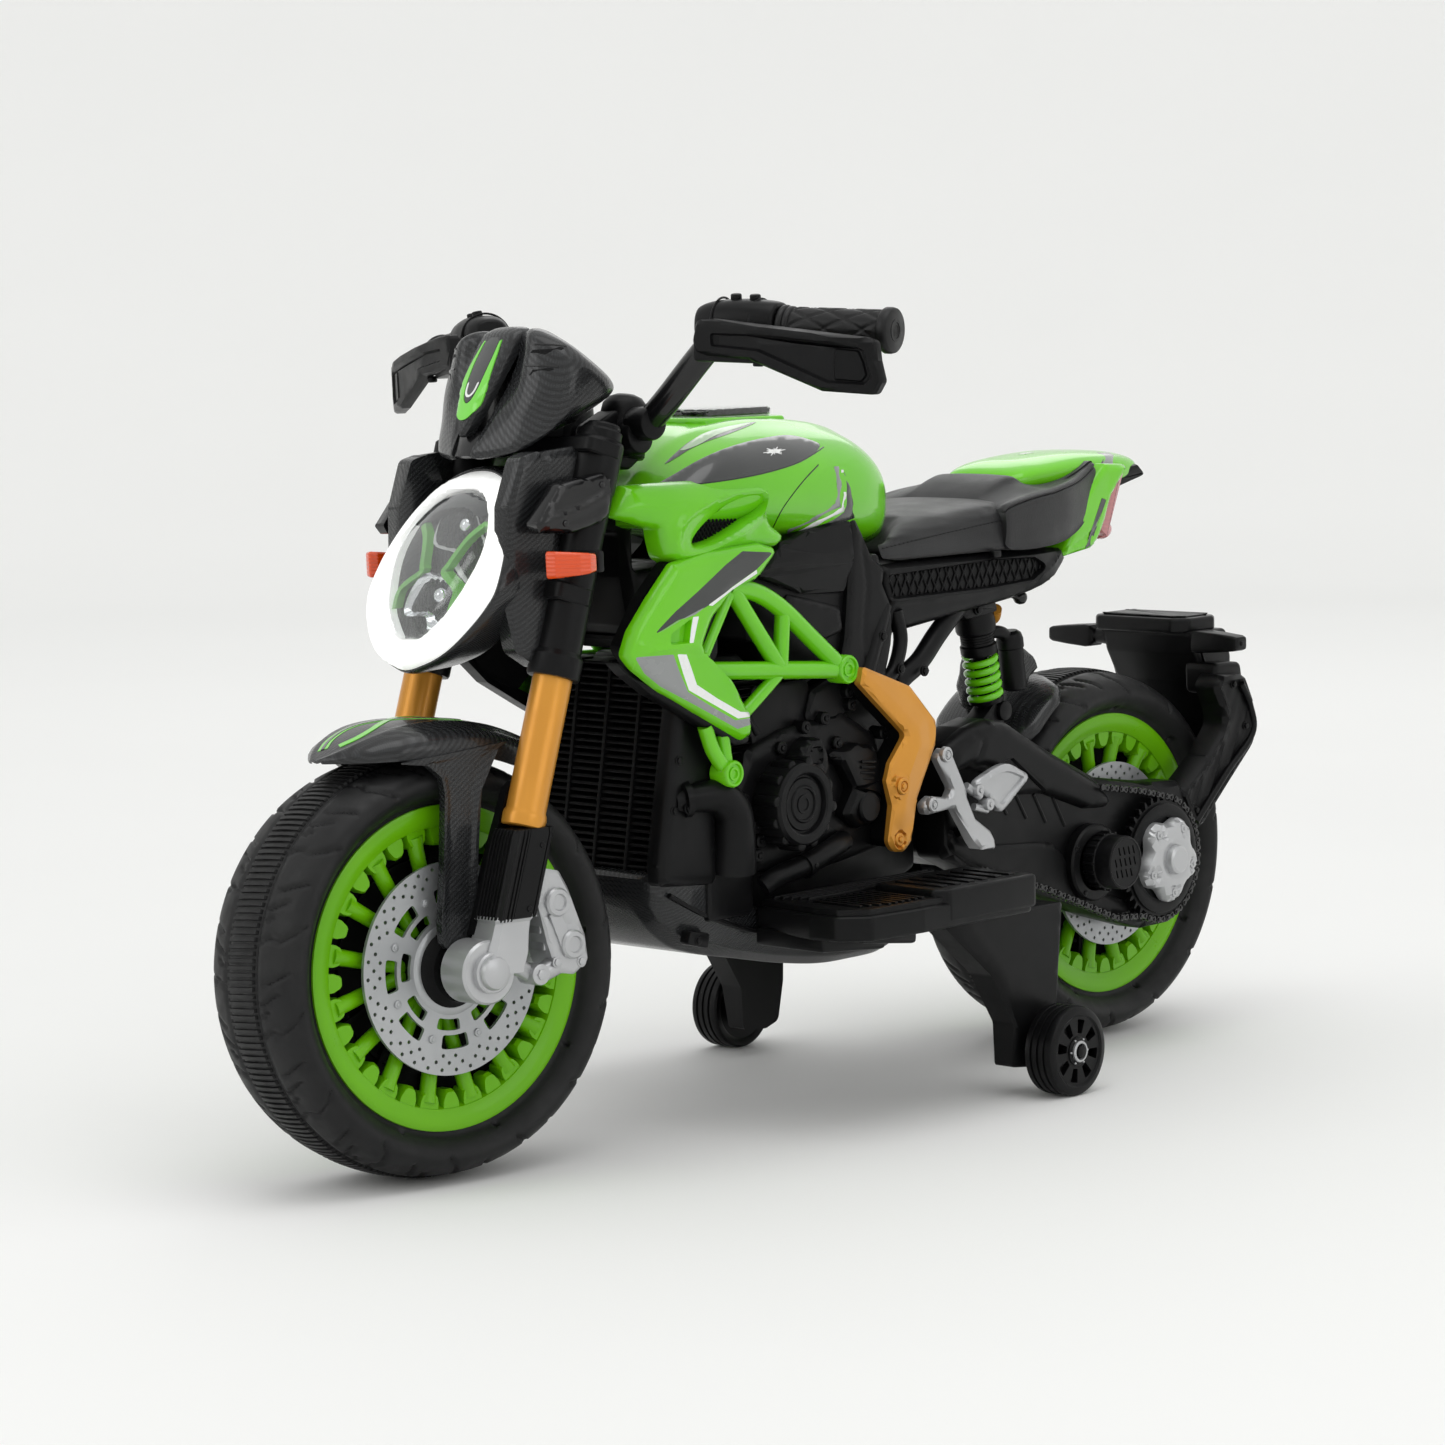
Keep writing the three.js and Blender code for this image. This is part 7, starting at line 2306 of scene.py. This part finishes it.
cover_marks = [(ring_outline(6.2, 22, 29.5 * math.cos(math.radians(50 + 72 * k)),
    160 + 29.5 * math.sin(math.radians(50 + 72 * k))), 0) for k in range(5)]
cover = relief(COVER, cover_front, 100.4, zones=cover_marks, spacing=3.2)
cover = cover + lathe([(0.1, 119), (10, 118.9), (12, 117.6), (12.8, 115.4), (12.8, 108), (0.1, 108)], 44, 0, 160)
for k in range(5):
    a = math.radians(50 + 72 * k)
    x, z = 29.5 * math.cos(a), 160 + 29.5 * math.sin(a)
    cover = cover + rod((x, 106, z), (x, 111.4, z), 3.9, 24, 0.8) + rod((x, 110, z), (x, 112.6, z), 1.8, 6, 0.3)
make("sprocket_cover_look", cover, M["silver"], "chassis", ["sprocket_cover"], sharp=30)

MX, MZ = 82, 167
slits = []
for row in range(5):
    for col in range(3):
        cx, cz = MX - 13 + row * 6.5 + (col - 1) * 1.6, MZ - 9 + col * 9.5
        if math.hypot(cx - MX, cz - MZ) < 17:
            slits.append(rounded([(cx - 2.0, cz - 3.4), (cx - 0.4, cz - 4), (cx + 2.0, cz + 3.4), (cx + 0.4, cz + 4)], 0.8, 2))
motor_face = relief(ring_outline(20.5, 64, MX, MZ), 121.4, 118, holes=slits, spacing=4)
motor = lathe([(0.1, 117.4), (20, 117.4), (20, 121.2), (21, 122), (22.4, 121.6), (23, 120), (23, 106), (24, 105), (24, 94.4),
    (0.1, 94.4)], 64, MX, MZ)
motor = motor + motor_face
for k in range(20):
    a = k / 20 * 2 * PI
    x, z = MX + 24.2 * math.cos(a), MZ + 24.2 * math.sin(a)
    motor = motor + rod((x, 94.6, z), (x, 105.5, z), 1.5, 8, 0.4)
motor = motor + lathe([(24, 86), (32, 86), (33, 88), (33, 95), (31.5, 97), (24, 97.4), (24, 86)], 64, MX + 8, MZ - 1)
for a in (0.5, 2.2, 3.6, 5.3):
    motor = motor + bolt(MX + 8 + 29 * math.cos(a), 96.6, MZ - 1 + 29 * math.sin(a), 2.4, 1, 1.6)
make("gear_motor_look", motor, M["black"], "chassis", ["gear_motor"], sharp=30)

# ---------------------------------------------------------------- shock absorber
low, high = np.array([166.0, 40, 305]), np.array([182.0, 40, 381])
su, sv, sd = frame_from(high - low)
turns, samples = 5.2, 190
coil = []
for k in range(samples + 1):
    t = k / samples
    a = t * turns * 2 * PI
    coil.append(low + sd * (5 + 39 * t) + su * math.cos(a) * 12.6 + sv * math.sin(a) * 12.6)
make("shock_spring", sweep(coil, 3.1, 14), M["green"], "chassis", ["shock_absorber"], sharp=60)
damper = turned(low, high, [(-8, 7), (-6, 9), (2, 9), (2, 14.6), (5, 15.2), (6, 14.4), (6, 6.5), (44, 6.5), (44, 14.8),
    (46, 15.6), (52, 15.6), (53, 13.6), (62, 13.6), (63.5, 16.4), (66, 17.2), (82, 17.2), (87, 15.6), (90, 12), (91, 6)], 44)
for k in range(4):
    damper = damper + turned(low, high, [(54 + k * 2.1, 13), (54.3 + k * 2.1, 14.4), (55.3 + k * 2.1, 14.4), (55.6 + k * 2.1, 13)], 40)
bottle = turned((131, 42, 314), (138, 42, 366), [(0, 7), (1.5, 9.8), (4, 10.8), (36, 10.8), (37, 11.6), (44, 11.6), (49, 10.2),
    (51.5, 7)], 36)
neck_pipe = sweep(spline([(138, 42, 356), (150, 44, 364), (166, 42, 366)], 6), 5.5, 18)
eye = rod((157, 26, 299), (157, 54, 299), 8.5, 28, 1.5) + prism(rounded([(150, 292), (186, 268), (200, 280), (166, 308)], 5,
    3), 30, 50, 2)
make("shock_body", damper + bottle + neck_pipe + eye, M["black"], "chassis", (), sharp=34)
mount = prism(rounded([(170, 384), (212, 380), (232, 392), (176, 398)], 4, 4), 24, 58, 3)
make("shock_mount", mount + bolt(200, 59, 388, 3.6, 1, 3), M["black"], "chassis", ())

# ---------------------------------------------------------------- rear hugger
def hugger_ring(angle, drop=0.0, points=29):
    a = math.radians(angle)
    half = np.interp(angle, [36, 40, 46, 58, 64, 67], [34, 48, 56, 56, 46, 30])
    top = np.interp(angle, [36, 52, 67], [178, 178.5, 175.5])
    ring = []
    for k in range(points):
        t = -1 + 2 * k / (points - 1)
        phi = t * PI / 2
        y = (half - drop) * math.copysign(abs(math.sin(phi)) ** 0.86, t)
        r = 164 + (top - drop - 164) * abs(math.cos(phi)) ** 0.6
        ring.append((r * math.cos(a), y, TYRE_RADIUS + r * math.sin(a)))
    return np.array(ring)


hugger = loft([np.vstack([hugger_ring(a), hugger_ring(a, 2.6)[::-1]]) for a in np.linspace(36, 67, 20)])
make("rear_hugger_look", hugger, M["carbon"], "chassis", ["rear_hugger"], sharp=45)
GUARD_SIDE = rounded([(116, 352), (95, 348), (78, 337), (73, 326), (87, 318), (96, 303), (105, 290), (124, 294), (131, 311),
    (124, 334)], 6, 4)
guard_side = relief(GUARD_SIDE, bulge(GUARD_SIDE, 20, 25, 5), 8, spacing=4)
for name, side in SIDES:
    pick = (lambda s: s) if side == 1 else (lambda s: s.flip_y())
    make(f"hugger_side_{name}", pick(guard_side), M["carbon"], "chassis", (), sharp=40)

# ---------------------------------------------------------------- plate holder
HOLDER = rounded([(-44, 212, 6), (-60, 184, 5), (-70, 176, 5), (-152, 246, 8), (-155, 262, 8), (-151, 284, 8), (-138, 308, 8),
    (-104, 310, 8), (-94, 300, 8), (-104, 284, 10), (-110, 266, 14), (-84, 240, 14)], 6, 5)
RAIL = [(-64, 184), (-108, 222), (-148, 254), (-145, 280), (-132, 300)]


def holder_front(p):
    y = bulge(HOLDER, 84, 89, 4)(p)
    inner = np.clip((edge_distance(p, HOLDER) - 6) / 2, 0, 1)
    return y - 3.0 * inner + 1.2 * np.exp(-((np.mod(p[:, 0] + p[:, 1] * 0.6, 16) - 8) / 1.6) ** 2) * inner


holder = relief(HOLDER, holder_front, 64, spacing=4)
holder = holder + sweep([(x, 88, z) for x, z in spline(RAIL, 8)], 3.0, 14)
for x, z in ((-66, 194), (-140, 262), (-122, 300)):
    holder = holder + bolt(x, 86, z, 2.8, 1, 3)
for k in range(3):
    z = 256 + k * 14
    x = np.interp(z, [246, 262, 284, 308], [-151, -154, -150, -137])
    holder = holder + rounded_box(x - 3.5, x + 10, 62, 82, z - 4, z + 4, 2.5, 1.5)
DECK = rounded([(-150, -42), (-140, -49), (-100, -49), (-90, -40), (-90, 42), (-102, 54), (-138, 54), (-150, 46)], 7, 4)
deck = slab(DECK, 345, 358.5, 3.2, 4) + slab(inset(DECK, 7), 357, 360, 1.4, 3)
FLAP = rounded([(-98, 347, 4), (-150, 347, 6), (-157, 322, 14), (-157, 296, 14), (-155, 262, 10), (-149, 244, 3),
    (-142, 244, 3), (-138, 262, 10), (-128, 284, 8), (-120, 300, 12), (-104, 326, 14)], 6, 4)
flap = prism(FLAP, -42, 60, 5, 4)
link = prism(rounded([(-106, 320), (-146, 318), (-150, 298), (-138, 288), (-108, 292)], 7, 4), 44, 78, 4, 4)
stalks = []
for side in (1, -1):
    stalks.append(sweep([(-110, side * 38, 338), (-110, side * 50, 338), (-110, side * 60, 338)], [8, 7, 6.5], 16))
    rings = []
    for y, half_x, half_z in ((54, 7, 6), (57, 10, 9.4), (62, 11, 10), (82, 10.4, 8.6), (100, 9.4, 6.8), (103.6, 8, 5.6),
            (104.4, 6, 4)):
        shape = rounded([(-half_x, -half_z), (half_x, -half_z), (half_x, half_z), (-half_x, half_z)], 3, 4)
        rings.append(np.array([(-110 + p, side * y, 338 + q) for p, q in shape]))
    stalks.append(loft(rings))
    stalks.append(bolt(-110, side * 104, 338, 2.2, side, 1.4))
make("plate_holder_look", total([holder, deck, flap, link, *stalks]), M["black"], "chassis",
    ["plate_holder"], sharp=30)

# ---------------------------------------------------------------- what is left and the end
SLOT_LOOK = {
    "tyre_rubber": "tyre", "stabiliser_plastic": "black", "green_rim": "rim", "disc_silver": "disc",
    "silver_paint": "silver", "gold_paint": "gold", "green_paint": "green", "black_satin": "black",
    "carbon_gloss": "carbon", "grip_rubber": "grip", "seat_leather": "leather", "clear_lens": "clear",
    "amber_lens": "amber", "red_lens": "red",
}
slot_of = {s["node"]: s["material_slot"] for s in frame["record"]["subparts"]}
for node_name, node in frame["nodes"].items():
    node.data.materials.clear()
    node.data.materials.append(M[SLOT_LOOK[slot_of[node_name]]])
